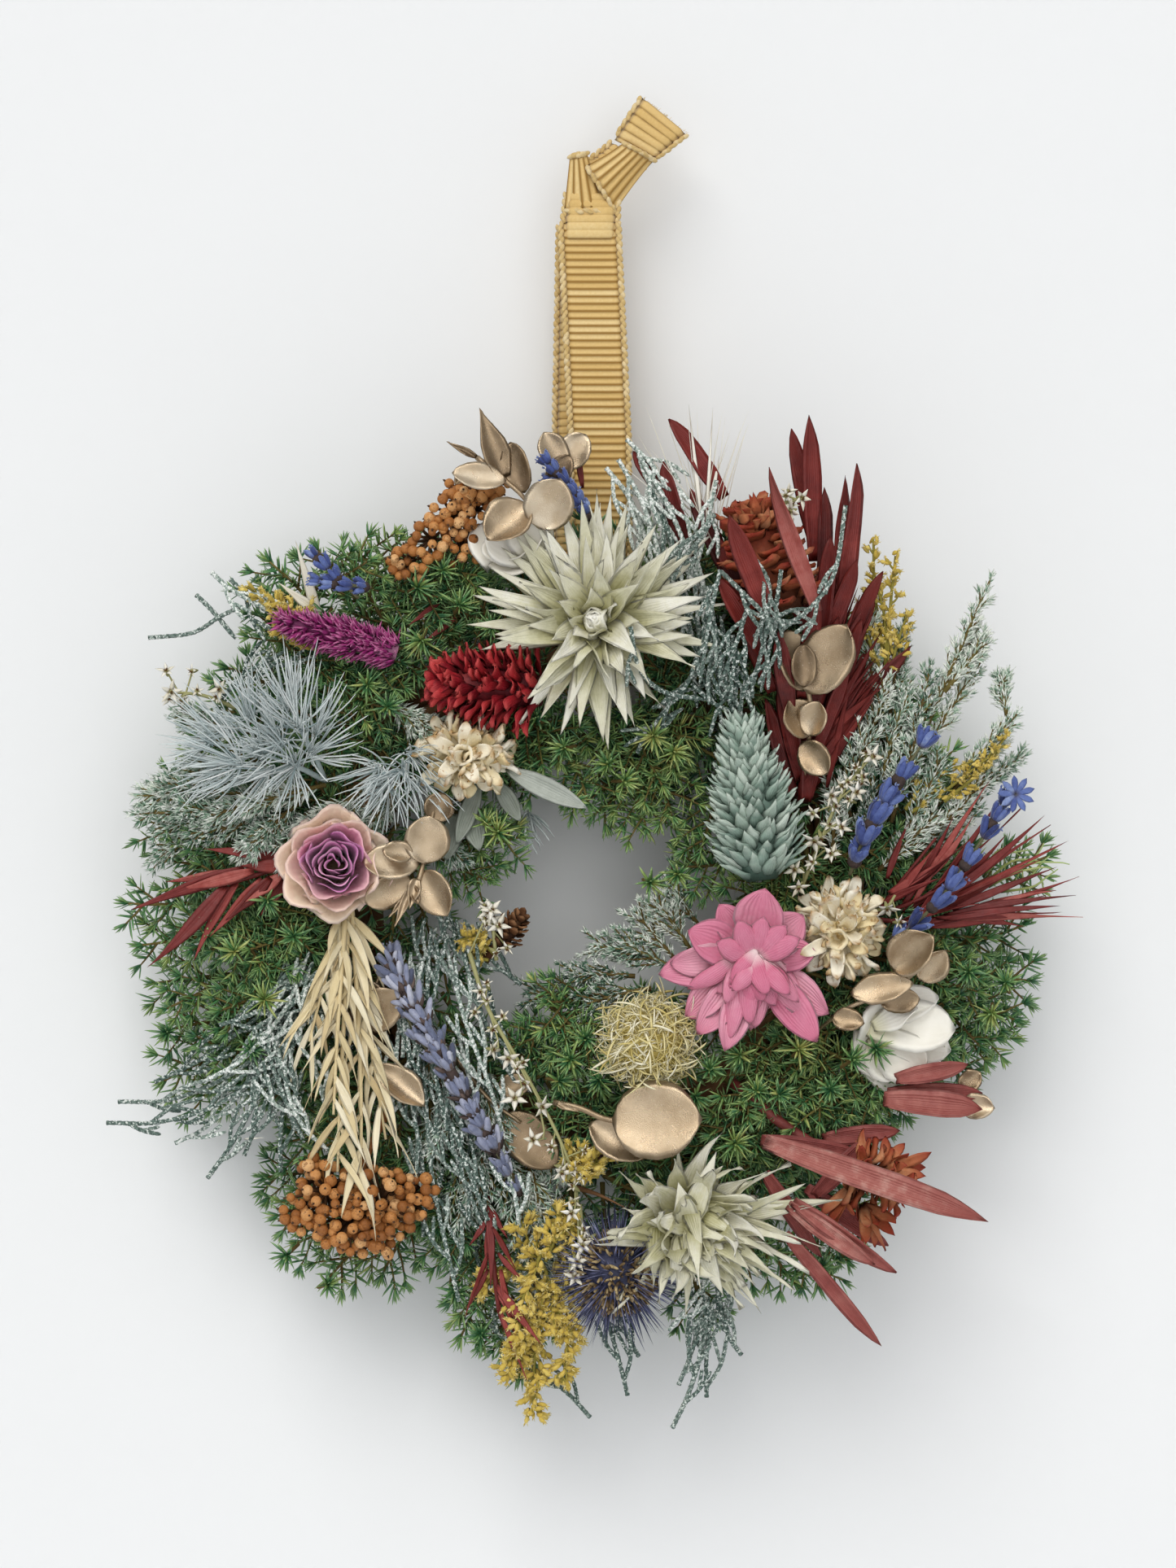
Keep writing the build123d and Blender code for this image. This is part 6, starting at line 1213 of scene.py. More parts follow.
piece("pods_upper", pods((-33.4, -24.0, -146.2), [(-44.7, -28.0, -139.7), (-43.1, -31.0, -147.9), (-37.5, -31.0, -153.1), (-29.3, -31.0, -153.1), (-22.4, -31.0, -149.7), (-19.4, -28.0, -143.6), (-24.6, -27.0, -138.4), (-41.1, -27.0, -136.3), (-32.6, -28.0, -136.1)], [(-34.3, -38.0, -144.7), (-29.2, -36.0, -146.9)]),
      [POD], ["pod_cluster_upper"])
piece("pods_lower", pods((66.4, -26.0, -192.5), [(72.4, -31.0, -180.7), (58.1, -33.0, -196.1), (76.7, -30.0, -189.3), (69.7, -33.0, -203.9), (61.9, -33.0, -203.0), (59.5, -30.0, -180.7), (56.5, -30.0, -187.2), (76.3, -30.0, -197.5), (65.5, -30.0, -179.2)], [(64.2, -41.0, -195.0), (68.6, -37.0, -186.6)]),
      [POD], ["pod_cluster_lower"])
ORANGE = material("orange_berry_finish", [(0, "#8a5426"), (0.4, "#b3763c"), (0.75, "#cb9257"), (1, "#e0b27c")], rough=(0.5, 0.72), spec=0.35, noise=(900.0, 0.8), bump=(900.0, 0.9), fleck=("#7c4a1e", 900.0, 0.56, 0.7))


def berries(acc, spots, n, rr, y0, front=0.8):
    for cx, cy, cz, R in spots:
        c = A([cx, cy, cz], float)
        d = unit(wob(n, 1.0))
        d[:, 1] = -np.abs(d[:, 1]) * front
        P = c + d * A([R, R * 0.75, R]) * RNG.uniform(0.72, 1.12, n)[:, None]
        keep = np.ones(n, bool)
        for k in range(1, n):
            if np.any(np.linalg.norm(P[:k][keep[:k]] - P[k], axis=1) < rr * 1.5):
                keep[k] = False
        P = P[keep]
        n_ = len(P)
        balls(acc, P, RNG.uniform(rr * 0.72, rr * 1.1, n_), 1, RNG.uniform(0, 1, n_), RNG.uniform(0.3, 1, n_))
        spindles(acc, P + unit(P - c) * rr * 0.8, unit(P - c), 0.9, 0.7, (0, 0.5, 1), (1, 0.9, 0), 5, 1, None, 0.0, m=1)
        for k in range(n_):
            tube(acc, A([P[k], c + A([0, 5.0, 0])]), (0.35, 0.6), 5, r=0.1, m=1, caps=False)


acc = Acc()
berries(acc, [(*(-70.5, -26.0, -261.6), 9.0), (*(-55.8, -26.0, -264.2), 9.5), (*(-76.6, -25.0, -267.3), 6.0), (*(-47.9, -24.0, -262.6), 6.5), (*(-64.0, -26.0, -269.0), 9.0), (*(-57.2, -24.0, -271.7), 7.0), (*(-73.9, -22.0, -258.5), 5.0)], 84, 1.62, 0)
tube(acc, smooth_path([(-62.1, -20.0, -265.1), (-60.0, -18.0, -252.2), (-53.6, -16.0, -239.3)], 8), 1.2, 7, r=0.2)
BST = material("berry_stem_finish", [(0, "#4a3423"), (0.5, "#6b4c31"), (1, "#8a6844")], rough=(0.6, 0.8), spec=0.25, bump=(1400.0, 0.3))
piece("berries_lower", acc, [ORANGE, BST], ["berries_bottom"])
acc = Acc()
berries(acc, [(*(-47.9, -22.0, -93.7), 5.2), (*(-42.5, -23.0, -87.7), 5.6), (*(-37.1, -23.0, -80.8), 6.0), (*(-30.6, -22.0, -79.6), 6.2), (*(-27.4, -20.0, -72.4), 5.0), (*(-33.4, -22.0, -75.5), 4.8), (*(-51.7, -20.0, -94.5), 3.0), (*(-33.9, -20.0, -89.3), 6.0), (*(-22.6, -18.0, -68.6), 3.2)], 60, 1.5, 0)
tube(acc, smooth_path([(-36.1, -18.0, -84.9), (-29.6, -16.0, -91.3), (-18.8, -12.0, -99.9)], 8), 1.0, 7, r=0.2)
piece("berries_upper", acc, [ORANGE, BST], ["berries_top"])

# ---------------------------------------------------------------- rosettes at the tips of the short-needled cypress
acc = Acc()
for C, s_, tn in [((-94.7, -30.0, -196.9), 1.1, 0.75), ((-86.4, -31.0, -210.0), 1.25, 0.8), ((-24.6, -27.0, -165.6), 1.1, 0.8), ((-27.7, -26.0, -162.6), 0.9, 0.7), ((-5.6, -29.0, -226.2), 1.1, 0.55), ((6.7, -28.0, -225.6), 1.0, 0.5), ((38.8, -30.0, -225.1), 1.1, 0.5), ((31.5, -29.0, -228.2), 1.0, 0.55),
                  ((55.4, -31.0, -222.9), 1.2, 0.85), ((50.4, -30.0, -235.3), 1.0, 0.5), ((69.8, -31.0, -225.5), 1.0, 0.5), ((75.8, -31.0, -223.3), 1.1, 0.45), ((38.6, -29.0, -248.3), 1.15, 0.7), ((44.0, -30.0, -234.2), 1.0, 0.6), ((4.1, -27.0, -147.5), 1.0, 0.6), ((16.4, -29.0, -140.4), 1.15, 0.85),
                  ((22.4, -28.0, -144.7), 1.1, 0.8), ((-4.6, -26.0, -157.6), 1.0, 0.7), ((-14.9, -27.0, -135.0), 1.0, 0.5), ((-7.8, -28.0, -143.6), 1.0, 0.55), ((9.5, -27.0, -152.2), 1.0, 0.75), ((-45.6, -26.0, -100.8), 1.1, 0.5), ((-34.6, -27.0, -105.1), 1.1, 0.55), ((-45.2, -27.0, -115.5), 1.2, 0.7),
                  ((-59.2, -26.0, -126.7), 1.0, 0.6), ((-53.6, -26.0, -132.4), 1.0, 0.5), ((-65.1, -25.0, -117.6), 1.0, 0.5), ((-26.4, -27.0, -111.2), 1.0, 0.5), ((91.8, -24.0, -217.6), 1.0, 0.6), ((106.6, -22.0, -214.7), 1.1, 0.75), ((100.4, -24.0, -203.3), 1.0, 0.5), ((110.3, -20.0, -205.4), 1.0, 0.55),
                  ((95.2, -22.0, -223.8), 1.0, 0.55), ((-81.6, -20.0, -279.2), 1.0, 0.45), ((-69.7, -20.0, -286.4), 1.0, 0.45), ((-36.0, -20.0, -289.0), 1.0, 0.4), ((-29.6, -18.0, -300.0), 1.0, 0.4), ((-18.7, -18.0, -310.9), 1.0, 0.4), ((61.6, -20.0, -281.4), 1.0, 0.4), ((-105.5, -20.0, -181.5), 1.0, 0.4),
                  ((-102.0, -24.0, -193.4), 1.0, 0.45), ((-113.3, -18.0, -219.6), 1.0, 0.4), ((-79.0, -28.0, -193.3), 1.1, 0.5), ((-85.5, -28.0, -184.6), 1.0, 0.5), ((-90.1, -24.0, -223.7), 1.0, 0.4), ((22.9, -26.0, -177.1), 1.0, 0.7), ((16.0, -26.0, -179.3), 1.0, 0.7), ((27.8, -28.0, -236.4), 1.0, 0.5), ((63.4, -30.0, -234.2), 1.0, 0.45),
                  ((-18.6, -26.0, -124.1), 1.0, 0.5), ((-39.2, -24.0, -96.0), 1.0, 0.5), ((-70.7, -22.0, -108.9), 1.0, 0.5), ((-7.8, -28.0, -232.1), 1.0, 0.5), ((1.9, -28.0, -232.1), 1.0, 0.5), ((-1.3, -27.0, -220.3), 1.0, 0.55)]:
    C = A(C, float)
    n = 24
    face = unit(A([RNG.normal(0, 0.35), -1.0, RNG.normal(0, 0.35)]))
    u, v = (q[0] for q in perp(face))
    a = np.arange(n) * 2.39996 + RNG.uniform(0, 6)
    el = np.interp(np.arange(n), [0, n], [0.05, 1.15]) + RNG.normal(0, 0.1, n)
    rad = np.cos(a)[:, None] * u + np.sin(a)[:, None] * v
    D = np.cos(el)[:, None] * rad + np.sin(el)[:, None] * face
    spindles(acc, np.tile(C - face * 1.0, (n, 1)), D, (6.4 - 2.2 * np.sin(el)) * s_ * RNG.uniform(0.85, 1.1, n), 1.15, (0, 0.25, 0.7, 1), (0.6, 1, 0.75, 0), 3, 0.4, -rad * 0.5 + face * 0.8, np.clip(RNG.normal(tn, 0.15, n), 0, 1))
    tube(acc, A([C - face * 0.5, C - face * 7.0]), 0.5, 5, r=0.4, m=1, caps=False)
piece("himuro_rosettes", acc, [HIM, TWIG], None)

# ---------------------------------------------------------------- gold eucalyptus
GOLD = material("gold_leaf_finish", [(0, "#6f5b44"), (0.3, "#a08a6d"), (0.65, "#c2ae91"), (1, "#e4d8c2")], rough=(0.22, 0.38), spec=0.6, metal=0.8, noise=(110.0, 0.9), bump=(3600.0, 0.3), coat=0.2, fleck=("#f6f0e4", 3200.0, 0.66, 0.6))


def euc(acc, items):
    for root, tip, w, prof, cup, curl, lean in items:
        P, d, L = towards(tip, root)
        up = A([lean[0], -1.0, lean[1]])
        leaf(acc, P, d, up, L * 1.02, w, prof, curl=curl, cup=cup, th=0.28, k=16, mm=11, r=RNG.uniform(0.15, 0.72), wave=0.45)


def stalk(acc, pts, r0=0.8, r1=0.5, n=14):
    p = smooth_path(pts, n)
    tube(acc, p, np.linspace(r0, r1, n), 7, r=0.3)


acc = Acc()
euc(acc, [((-23.1, -31.0, -71.9), (-29.7, -31.0, -53.8), 4.0, "lance", 0.5, 0.1, (0.3, 0)), ((-22.4, -33.0, -72.9), (-36.6, -34.0, -71.2), 3.8, "oval", 0.4, 0.15, (0, 0.3)), ((-17.5, -30.0, -75.9), (-21.1, -30.0, -62.6), 4.0, "oval", 0.5, 0.1, (-0.3, 0)), ((-13.8, -34.0, -85.6), (-8.2, -36.0, -72.4), 6.8, "round", 0.2, 0.2, (0.1, 0.2)),
          ((-16.4, -32.0, -79.0), (-27.1, -34.0, -89.5), 6.4, "oval", 0.55, 0.35, (-0.1, 0.35)), ((-7.8, -24.0, -69.5), (-12.6, -24.0, -59.6), 4.2, "round", 0.4, 0.1, (0.2, 0.1)), ((-7.8, -22.0, -68.8), (-1.3, -22.0, -60.1), 4.6, "oval", 0.4, 0.1, (0, 0.1)), ((-11.0, -26.0, -74.4), (-5.6, -26.0, -65.8), 3.4, "oval", 0.4, 0.1, (0, 0.1)),
          ((-30.2, -30.0, -66.4), (-38.2, -31.0, -62.4), 1.1, "lance", 0.8, 0.1, (0, 0)), ((-32.6, -30.0, -68.2), (-35.8, -31.0, -73.8), 1.6, "oval", 0.8, 0.1, (0, 0)), ((-25.0, -29.0, -65.9), (-26.3, -29.0, -57.3), 2.2, "lance", 0.6, 0.1, (0, 0))])
stalk(acc, [(-30.2, -31.0, -66.5), (-22.8, -32.0, -72.6), (-16.4, -32.0, -79.0), (-7.8, -22.0, -93.7)])
piece("eucalyptus_sprig_top", acc, [GOLD], ["eucalyptus_top_left"])
acc = Acc()
euc(acc, [((56.5, -30.0, -128.5), (50.8, -31.0, -112.6), 5.6, "oval", 0.35, 0.2, (0.5, 0)), ((57.3, -32.0, -129.0), (68.0, -32.0, -111.3), 7.4, "round", 0.25, 0.2, (-0.25, 0.1)), ((58.1, -28.0, -140.4), (51.8, -29.0, -131.1), 5.4, "round", 0.4, 0.2, (0.5, 0)), ((58.2, -29.0, -140.4), (60.8, -30.0, -131.1), 4.4, "oval", 0.5, 0.2, (-0.5, 0)),
          ((55.9, -27.0, -141.9), (63.0, -28.0, -150.1), 4.4, "oval", 0.4, 0.2, (0, -0.3)), ((56.4, -33.0, -127.5), (55.9, -33.0, -116.1), 3.6, "oval", 0.5, 0.15, (0.1, 0))])
stalk(acc, [(57.3, -30.0, -126.8), (58.5, -29.0, -135.0), (57.5, -26.0, -143.6), (56.2, -20.0, -157.7)])
piece("eucalyptus_sprig_right", acc, [GOLD], ["eucalyptus_right"])
acc = Acc()
euc(acc, [((-43.3, -33.0, -174.2), (-43.5, -33.0, -161.3), 6.2, "round", 0.25, 0.2, (0.1, 0.2)), ((-45.2, -33.0, -173.8), (-60.2, -34.0, -174.2), 5.0, "oval", 0.4, 0.2, (0, 0.3)), ((-47.6, -32.0, -177.7), (-59.8, -33.0, -184.1), 4.6, "oval", 0.4, 0.2, (0, -0.3)), ((-44.4, -32.0, -175.9), (-37.5, -33.0, -187.7), 5.0, "round", 0.4, 0.2, (-0.3, 0)),
          ((-46.9, -34.0, -171.6), (-55.0, -35.0, -170.7), 3.0, "oval", 0.6, 0.2, (0, 0.2)), ((-47.5, -34.0, -180.2), (-51.8, -34.0, -190.9), 1.4, "lance", 0.7, 0.3, (0, 0)), ((-46.0, -35.0, -178.0), (-47.9, -36.0, -186.2), 2.0, "lance", 0.7, 0.3, (0, 0)), ((-48.6, -33.0, -182.4), (-53.4, -33.0, -188.4), 0.9, "lance", 0.7, 0.3, (0, 0)), ((-47.5, -35.0, -179.1), (-45.5, -36.0, -184.9), 1.4, "oval", 0.7, 0.3, (0, 0)), ((-42.3, -28.0, -163.0), (-39.1, -27.0, -155.5), 4.2, "oval", 0.5, 0.2, (0.2, 0))])
stalk(acc, [(-46.5, -33.0, -181.3), (-44.4, -32.0, -174.2), (-41.9, -28.0, -160.9), (-39.2, -22.0, -152.2)])
piece("eucalyptus_sprig_left", acc, [GOLD], ["eucalyptus_left"])
acc = Acc()
euc(acc, [((-60.6, -24.0, -217.6), (-50.6, -26.0, -208.0), 5.6, "round", 0.3, 0.2, (0.1, 0.2)), ((-57.2, -24.0, -228.0), (-44.6, -25.0, -239.2), 4.6, "boat", 0.7, 0.2, (0.3, 0.3)), ((-23.5, -20.0, -241.2), (-9.6, -21.0, -255.1), 6.6, "round", 0.2, 0.1, (0.1, 0.2)), ((-55.5, -22.0, -215.1), (-60.7, -22.0, -205.4), 4.0, "oval", 0.4, 0.2, (0, 0)), ((-25.2, -22.0, -234.6), (-15.4, -23.0, -232.4), 3.4, "oval", 0.4, 0.2, (0, 0.3))])
stalk(acc, [(-55.6, -20.0, -202.2), (-58.7, -23.0, -212.9), (-57.2, -23.0, -228.1), (-49.1, -20.0, -239.1)])
stalk(acc, [(-36.0, -20.0, -226.0), (-27.3, -22.0, -236.8), (-18.6, -23.0, -243.2)])
piece("eucalyptus_sprig_centre", acc, [GOLD], ["eucalyptus_centre"])
acc = Acc()
euc(acc, [((5.6, -36.0, -242.0), (29.1, -38.0, -241.5), 10.6, "round", 0.12, 0.15, (0.0, 0.15)), ((-0.4, -32.0, -242.7), (13.8, -33.0, -252.3), 5.4, "boat", 0.5, 0.2, (0.2, 0.1)), ((-9.1, -33.0, -237.5), (-3.0, -33.0, -239.6), 1.0, "lance", 0.7, 0.1, (0, 0))])
stalk(acc, [(-9.9, -31.0, -237.3), (-3.0, -33.0, -238.7), (3.0, -35.0, -241.2), (7.7, -35.0, -242.1)], 0.9, 0.8)
piece("eucalyptus_sprig_base", acc, [GOLD], ["eucalyptus_bottom"])
acc = Acc()
euc(acc, [((79.6, -33.0, -202.2), (91.1, -35.0, -193.1), 6.0, "round", 0.7, 0.35, (-0.3, 0.1)), ((87.0, -32.0, -205.0), (93.4, -33.0, -196.4), 4.2, "round", 0.6, 0.3, (0.4, 0.1)), ((68.6, -33.0, -208.6), (85.1, -34.0, -206.0), 4.4, "boat", 0.3, 0.2, (0, 0.3)), ((63.8, -31.0, -214.7), (72.3, -32.0, -216.4), 3.2, "round", 0.4, 0.2, (0, 0.2)),
          ((98.3, -24.0, -238.8), (107.3, -25.0, -239.2), 3.6, "round", 0.5, 0.2, (0, 0.2)), ((76.3, -31.0, -210.4), (87.0, -32.0, -209.5), 3.6, "oval", 0.4, 0.2, (0, -0.2)), ((98.4, -22.0, -234.6), (103.8, -22.0, -229.8), 3.0, "round", 0.5, 0.2, (0, 0.2))])
stalk(acc, [(84.8, -32.0, -203.5), (76.2, -32.0, -208.7), (67.6, -31.0, -212.6), (59.4, -22.0, -219.4)])
piece("eucalyptus_sprig_lower_right", acc, [GOLD], ["eucalyptus_lower_right"])

# ---------------------------------------------------------------- blue fern tufts
FERN = material("blue_fern_finish", [(0, "#8fa3a6"), (0.35, "#c2cfd0"), (0.7, "#e2eae9"), (1, "#fcfefd")], tip="#e4ebea", tip_at=(0.5, 1.1), rough=(0.35, 0.55), spec=0.35, noise=(400.0, 0.5), bump=(1500.0, 0.15))
acc = Acc()


def burst(acc, C, aim, n, L0, fan=1.2, W=0.62):
    """A rosette of long curved needles around C, opening towards aim."""
    C, aim = A(C, float), unit(A(aim, float))
    a = RNG.uniform(0, TAU, n)
    th_ = fan * np.sqrt(RNG.uniform(0.04, 1, n))
    u, v = (q[0] for q in perp(aim))
    rad = np.cos(a)[:, None] * u + np.sin(a)[:, None] * v
    D = np.cos(th_)[:, None] * aim + np.sin(th_)[:, None] * rad
    LL = L0 * RNG.uniform(0.7, 1.1, n)
    bend = (aim * 0.5 - rad * 0.1)[...] * LL[:, None] * np.sin(th_)[:, None] + wob(n, 0.07) * LL[:, None]
    spindles(acc, C + wob(n, 0.7) - aim * 1.5, D, LL, W, (0, 0.2, 0.4, 0.6, 0.8, 0.95, 1), (0.7, 1, 1, 1, 0.85, 0.5, 0), 3, 0.7, bend, np.clip(RNG.normal(0.55, 0.22, n), 0, 1))


for C, aim, n, L0 in [
    ((-78.1, -30.0, -136.9), (-0.15, -0.7, 0.75), 46, 16), ((-80.8, -27.0, -131.5), (-0.35, -0.5, 0.85), 40, 15), ((-94.3, -29.0, -147.5), (-0.8, -0.6, 0.15), 46, 16), ((-89.2, -27.0, -144.7), (-0.7, -0.6, 0.35), 40, 16), ((-102.3, -25.0, -141.2), (-0.9, -0.4, 0.2), 34, 13),
    ((-78.4, -31.0, -148.4), (-0.1, -1.0, -0.2), 50, 15), ((-73.6, -28.0, -144.7), (0.4, -0.8, 0.3), 36, 13), ((-85.6, -27.0, -150.1), (-0.5, -0.8, -0.4), 40, 14), ((-92.2, -25.0, -134.9), (-0.6, -0.5, 0.65), 36, 14), ((-85.7, -24.0, -139.3), (-0.4, -0.8, 0.5), 40, 15),
    ((-82.2, -30.0, -142.5), (-0.3, -1.0, 0.1), 44, 14), ((-97.8, -22.0, -139.2), (-0.8, -0.5, 0.4), 30, 13), ((-101.0, -22.0, -149.0), (-0.9, -0.4, -0.3), 30, 12), ((-72.7, -25.0, -138.2), (0.1, -0.6, 0.8), 30, 12),
    ((-50.7, -30.0, -150.3), (-0.2, -0.8, -0.6), 46, 14), ((-47.8, -27.0, -145.8), (0.1, -0.8, -0.5), 34, 13), ((-57.0, -27.0, -149.0), (-0.6, -0.7, -0.4), 36, 13), ((-54.2, -28.0, -154.4), (-0.3, -0.7, -0.8), 30, 12), ((-45.6, -27.0, -153.3), (0.2, -0.7, -0.8), 30, 11),
    ((-16.6, -10.0, -162.3), (0.15, -0.4, -0.9), 30, 9), ((-19.5, -10.0, -164.5), (0.1, -0.4, -0.9), 26, 9),
]:
    burst(acc, C, aim, int(n * 0.85), L0, fan=1.3)
for pts in [[(-70.9, -18.0, -152.2), (-78.6, -28.0, -148.4), (-85.7, -25.0, -150.1), (-94.4, -27.0, -147.5), (-102.5, -23.0, -147.9)], [(-70.9, -18.0, -152.2), (-73.7, -26.0, -144.7), (-78.2, -28.0, -136.9), (-80.9, -25.0, -131.5), (-92.3, -23.0, -134.9)], [(-82.4, -26.0, -142.5), (-89.4, -25.0, -144.7), (-102.5, -23.0, -141.2)], [(-44.7, -20.0, -142.5), (-47.8, -25.0, -145.8), (-50.7, -28.0, -150.3), (-57.1, -25.0, -149.0)]]:
    tube(acc, smooth_path(pts, 20), np.linspace(0.8, 0.4, 20), 6, r=0.2)
piece("fern_tufts_blue", acc, [FERN], ["fern_tufts"])

# ---------------------------------------------------------------- lavender
LAV = material("lavender_finish", [(0, "#2c3562"), (0.4, "#45548f"), (0.75, "#6476ae"), (1, "#90a0c8")], base="#4c4450", base_at=(0, 0.3), rough=(0.55, 0.75), spec=0.25, sheen=0.3, noise=(600.0, 0.7), bump=(1600.0, 0.5))
LAVG = material("lavender_grey_finish", [(0, "#50566c"), (0.4, "#747b95"), (0.75, "#969bb2"), (1, "#bcbfce")], base="#7a6c60", base_at=(0, 0.35), rough=(0.6, 0.8), spec=0.25, sheen=0.3, noise=(600.0, 0.7), bump=(1600.0, 0.5))
LNODE = material("lavender_node_finish", [(0, "#3d3330"), (0.5, "#5c4d48"), (1, "#7c6b62")], rough=(0.65, 0.85), spec=0.2, noise=(800.0, 0.6), bump=(1600.0, 0.5))
LSTEM = material("lavender_stem_finish", [(0, "#4c4a38"), (0.5, "#6b6a4c"), (1, "#8a8a66")], rough=(0.6, 0.8), spec=0.25, bump=(1500.0, 0.3))


def lavender(acc, pts, start=0.0, gap=4.4, per=7, L=4.6, W=2.1, m=0, stem=(0.55, 0.4)):
    p = smooth_path(pts, 40)
    tube(acc, p[::2], np.linspace(*stem, 20), 5, r=0.4, m=1)
    T = tangents(p)
    ln = length_of(p)
    k = int(ln * (1 - start) / gap)
    for j in range(k):
        if j % 2 == 0:
            balls(acc, [p[int(min(start + (1 - start) * (j + 0.5) / k, 0.999) * 39)]], W * 0.72, 1, r=0.1, m=2)
        t = start + (1 - start) * (j + 0.5 + RNG.normal(0, 0.08)) / k
        i = int(min(t, 0.999) * 39)
        n = per + RNG.integers(-1, 2)
        u, v = (q[0] for q in perp(T[i]))
        a = np.arange(n) * TAU / n + RNG.uniform(0, 6)
        rad = np.cos(a)[:, None] * u + np.sin(a)[:, None] * v
        sc = np.interp(j / max(k - 1, 1), [0, 0.3, 1], [0.85, 1, 0.75])
        D = unit(T[i] + rad * 0.42 + wob(n, 0.1))
        spindles(acc, p[i] + rad * 0.4, D, L * sc * RNG.uniform(0.85, 1.1, n), W * sc, (0, 0.15, 0.45, 0.8, 0.95, 1), (0.3, 0.85, 1, 0.85, 0.45, 0), 6, 0.9, None, np.clip(RNG.normal(0.45, 0.2, n), 0, 1), m=m)
        tipsd = p[i] + rad * 0.4 + D * (L * sc * 0.9)
        spindles(acc, np.repeat(tipsd, 3, 0), np.repeat(D, 3, 0) + wob(3 * n, 0.5), 1.0, 0.5, (0, 0.5, 1), (0.6, 1, 0), 4, 0.6, None, 0.8, m=m)


acc = Acc()
lavender(acc, [(0.0, -26.0, -83.1), (-5.6, -30.0, -74.6), (-12.5, -30.0, -66.4)], gap=3.6, per=6)
lavender(acc, [(0.9, -26.0, -85.2), (-4.5, -28.0, -76.7), (-12.5, -28.0, -72.4)], start=0.3, gap=3.8, per=5)
piece("lavender_head_top", acc, [LAV, LSTEM, LNODE], ["lavender_top"])
acc = Acc()
lavender(acc, [(-58.6, -25.0, -100.8), (-66.1, -28.0, -100.0), (-75.1, -28.0, -98.7)], gap=3.9, per=6)
lavender(acc, [(-61.8, -26.0, -103.6), (-68.2, -29.0, -97.2), (-73.8, -29.0, -91.8)], start=0.3, gap=3.8, per=6)
piece("lavender_head_left", acc, [LAV, LSTEM, LNODE], ["lavender_upper_left"])
acc = Acc()
pl = smooth_path([(-24.6, -27.0, -251.6), (-32.6, -29.0, -237.7), (-41.9, -29.0, -220.2), (-49.5, -28.0, -207.3), (-53.6, -26.0, -199.4)], 40)
Tl = tangents(pl)
for i_ in range(11):
    j_ = int(1 + i_ * 3.5)
    n = 8
    d = Tl[j_]
    u, v = (q[0] for q in perp(d))
    a = np.arange(n) * TAU / n + i_
    rad = np.cos(a)[:, None] * u + np.sin(a)[:, None] * v
    spindles(acc, pl[j_] + rad * 1.0, unit(d + rad * 0.5 + wob(n, 0.12)), RNG.uniform(4.6, 6.6, n), 2.2, (0, 0.2, 0.5, 0.8, 0.95, 1), (0.4, 0.85, 1, 0.85, 0.5, 0), 6, 0.7, wob(n, 0.6), np.clip(RNG.normal(0.5, 0.25, n), 0, 1))
    nb = 7
    a = np.arange(nb) * TAU / nb + i_ * 1.3
    rad = np.cos(a)[:, None] * u + np.sin(a)[:, None] * v
    spindles(acc, pl[j_] - d * 0.6 + rad * 1.2, unit(d + rad * 0.7 + wob(nb, 0.2)), RNG.uniform(2.4, 3.6, nb), 1.7, (0, 0.3, 0.7, 1), (0.5, 1, 0.8, 0.1), 5, 0.7, wob(nb, 0.6), np.clip(RNG.normal(0.4, 0.25, nb), 0, 1), m=2)
tube(acc, pl, 1.5, 8, r=0.2, m=2)
lavender(acc, [(-18.6, -24.0, -262.6), (-27.2, -29.0, -247.2), (-39.0, -30.0, -225.5), (-52.0, -28.0, -204.1)], gap=5.6, per=7, L=4.8, W=1.9)
lavender(acc, [(-22.9, -26.0, -256.0), (-35.9, -27.0, -234.3), (-48.8, -27.0, -214.9), (-54.1, -24.0, -195.5)], start=0.15, gap=6.2, per=5, L=4.4, W=1.8)
piece("lavender_head_centre", acc, [LAVG, LSTEM, LNODE], ["lavender_long"])
acc = Acc()
lavender(acc, [(68.7, -27.0, -177.1), (72.3, -32.0, -167.3), (79.3, -30.0, -155.5), (89.7, -30.0, -139.3)], start=0.05, gap=6.8, per=8, L=7.8, W=2.8)
piece("lavender_head_right_inner", acc, [LAV, LSTEM, LNODE], ["lavender_right_inner"])
acc = Acc()
lavender(acc, [(78.7, -26.0, -196.6), (91.5, -29.0, -184.6), (103.3, -29.0, -168.4), (110.0, -29.0, -157.0)], start=0.0, gap=5.8, per=7, L=6.8, W=2.4)
Pf = A((112.5, -31.0, -155.7))
for i in range(9):
    a = i * TAU / 9 + 0.3
    leaf(acc, Pf, A([math.cos(a), -0.25, math.sin(a)]), UP, 5.4, 0.9, "petal", curl=0.2, cup=0.4, k=5, mm=5, r=RNG.uniform(0.5, 0.9))
piece("lavender_head_right_outer", acc, [LAV, LSTEM, LNODE], ["lavender_right_outer"])

# ---------------------------------------------------------------- goldenrod
GLD = material("goldenrod_finish", [(0, "#a99440"), (0.4, "#d0b552"), (0.75, "#e4ce76"), (1, "#f4e7a6")], rough=(0.6, 0.8), spec=0.25, sheen=0.2, noise=(700.0, 0.6), bump=(1700.0, 0.5))
GST = material("goldenrod_stem_finish", [(0, "#6f6a2c"), (0.5, "#958b3e"), (1, "#b3a552")], rough=(0.6, 0.8), spec=0.25, bump=(1500.0, 0.3))


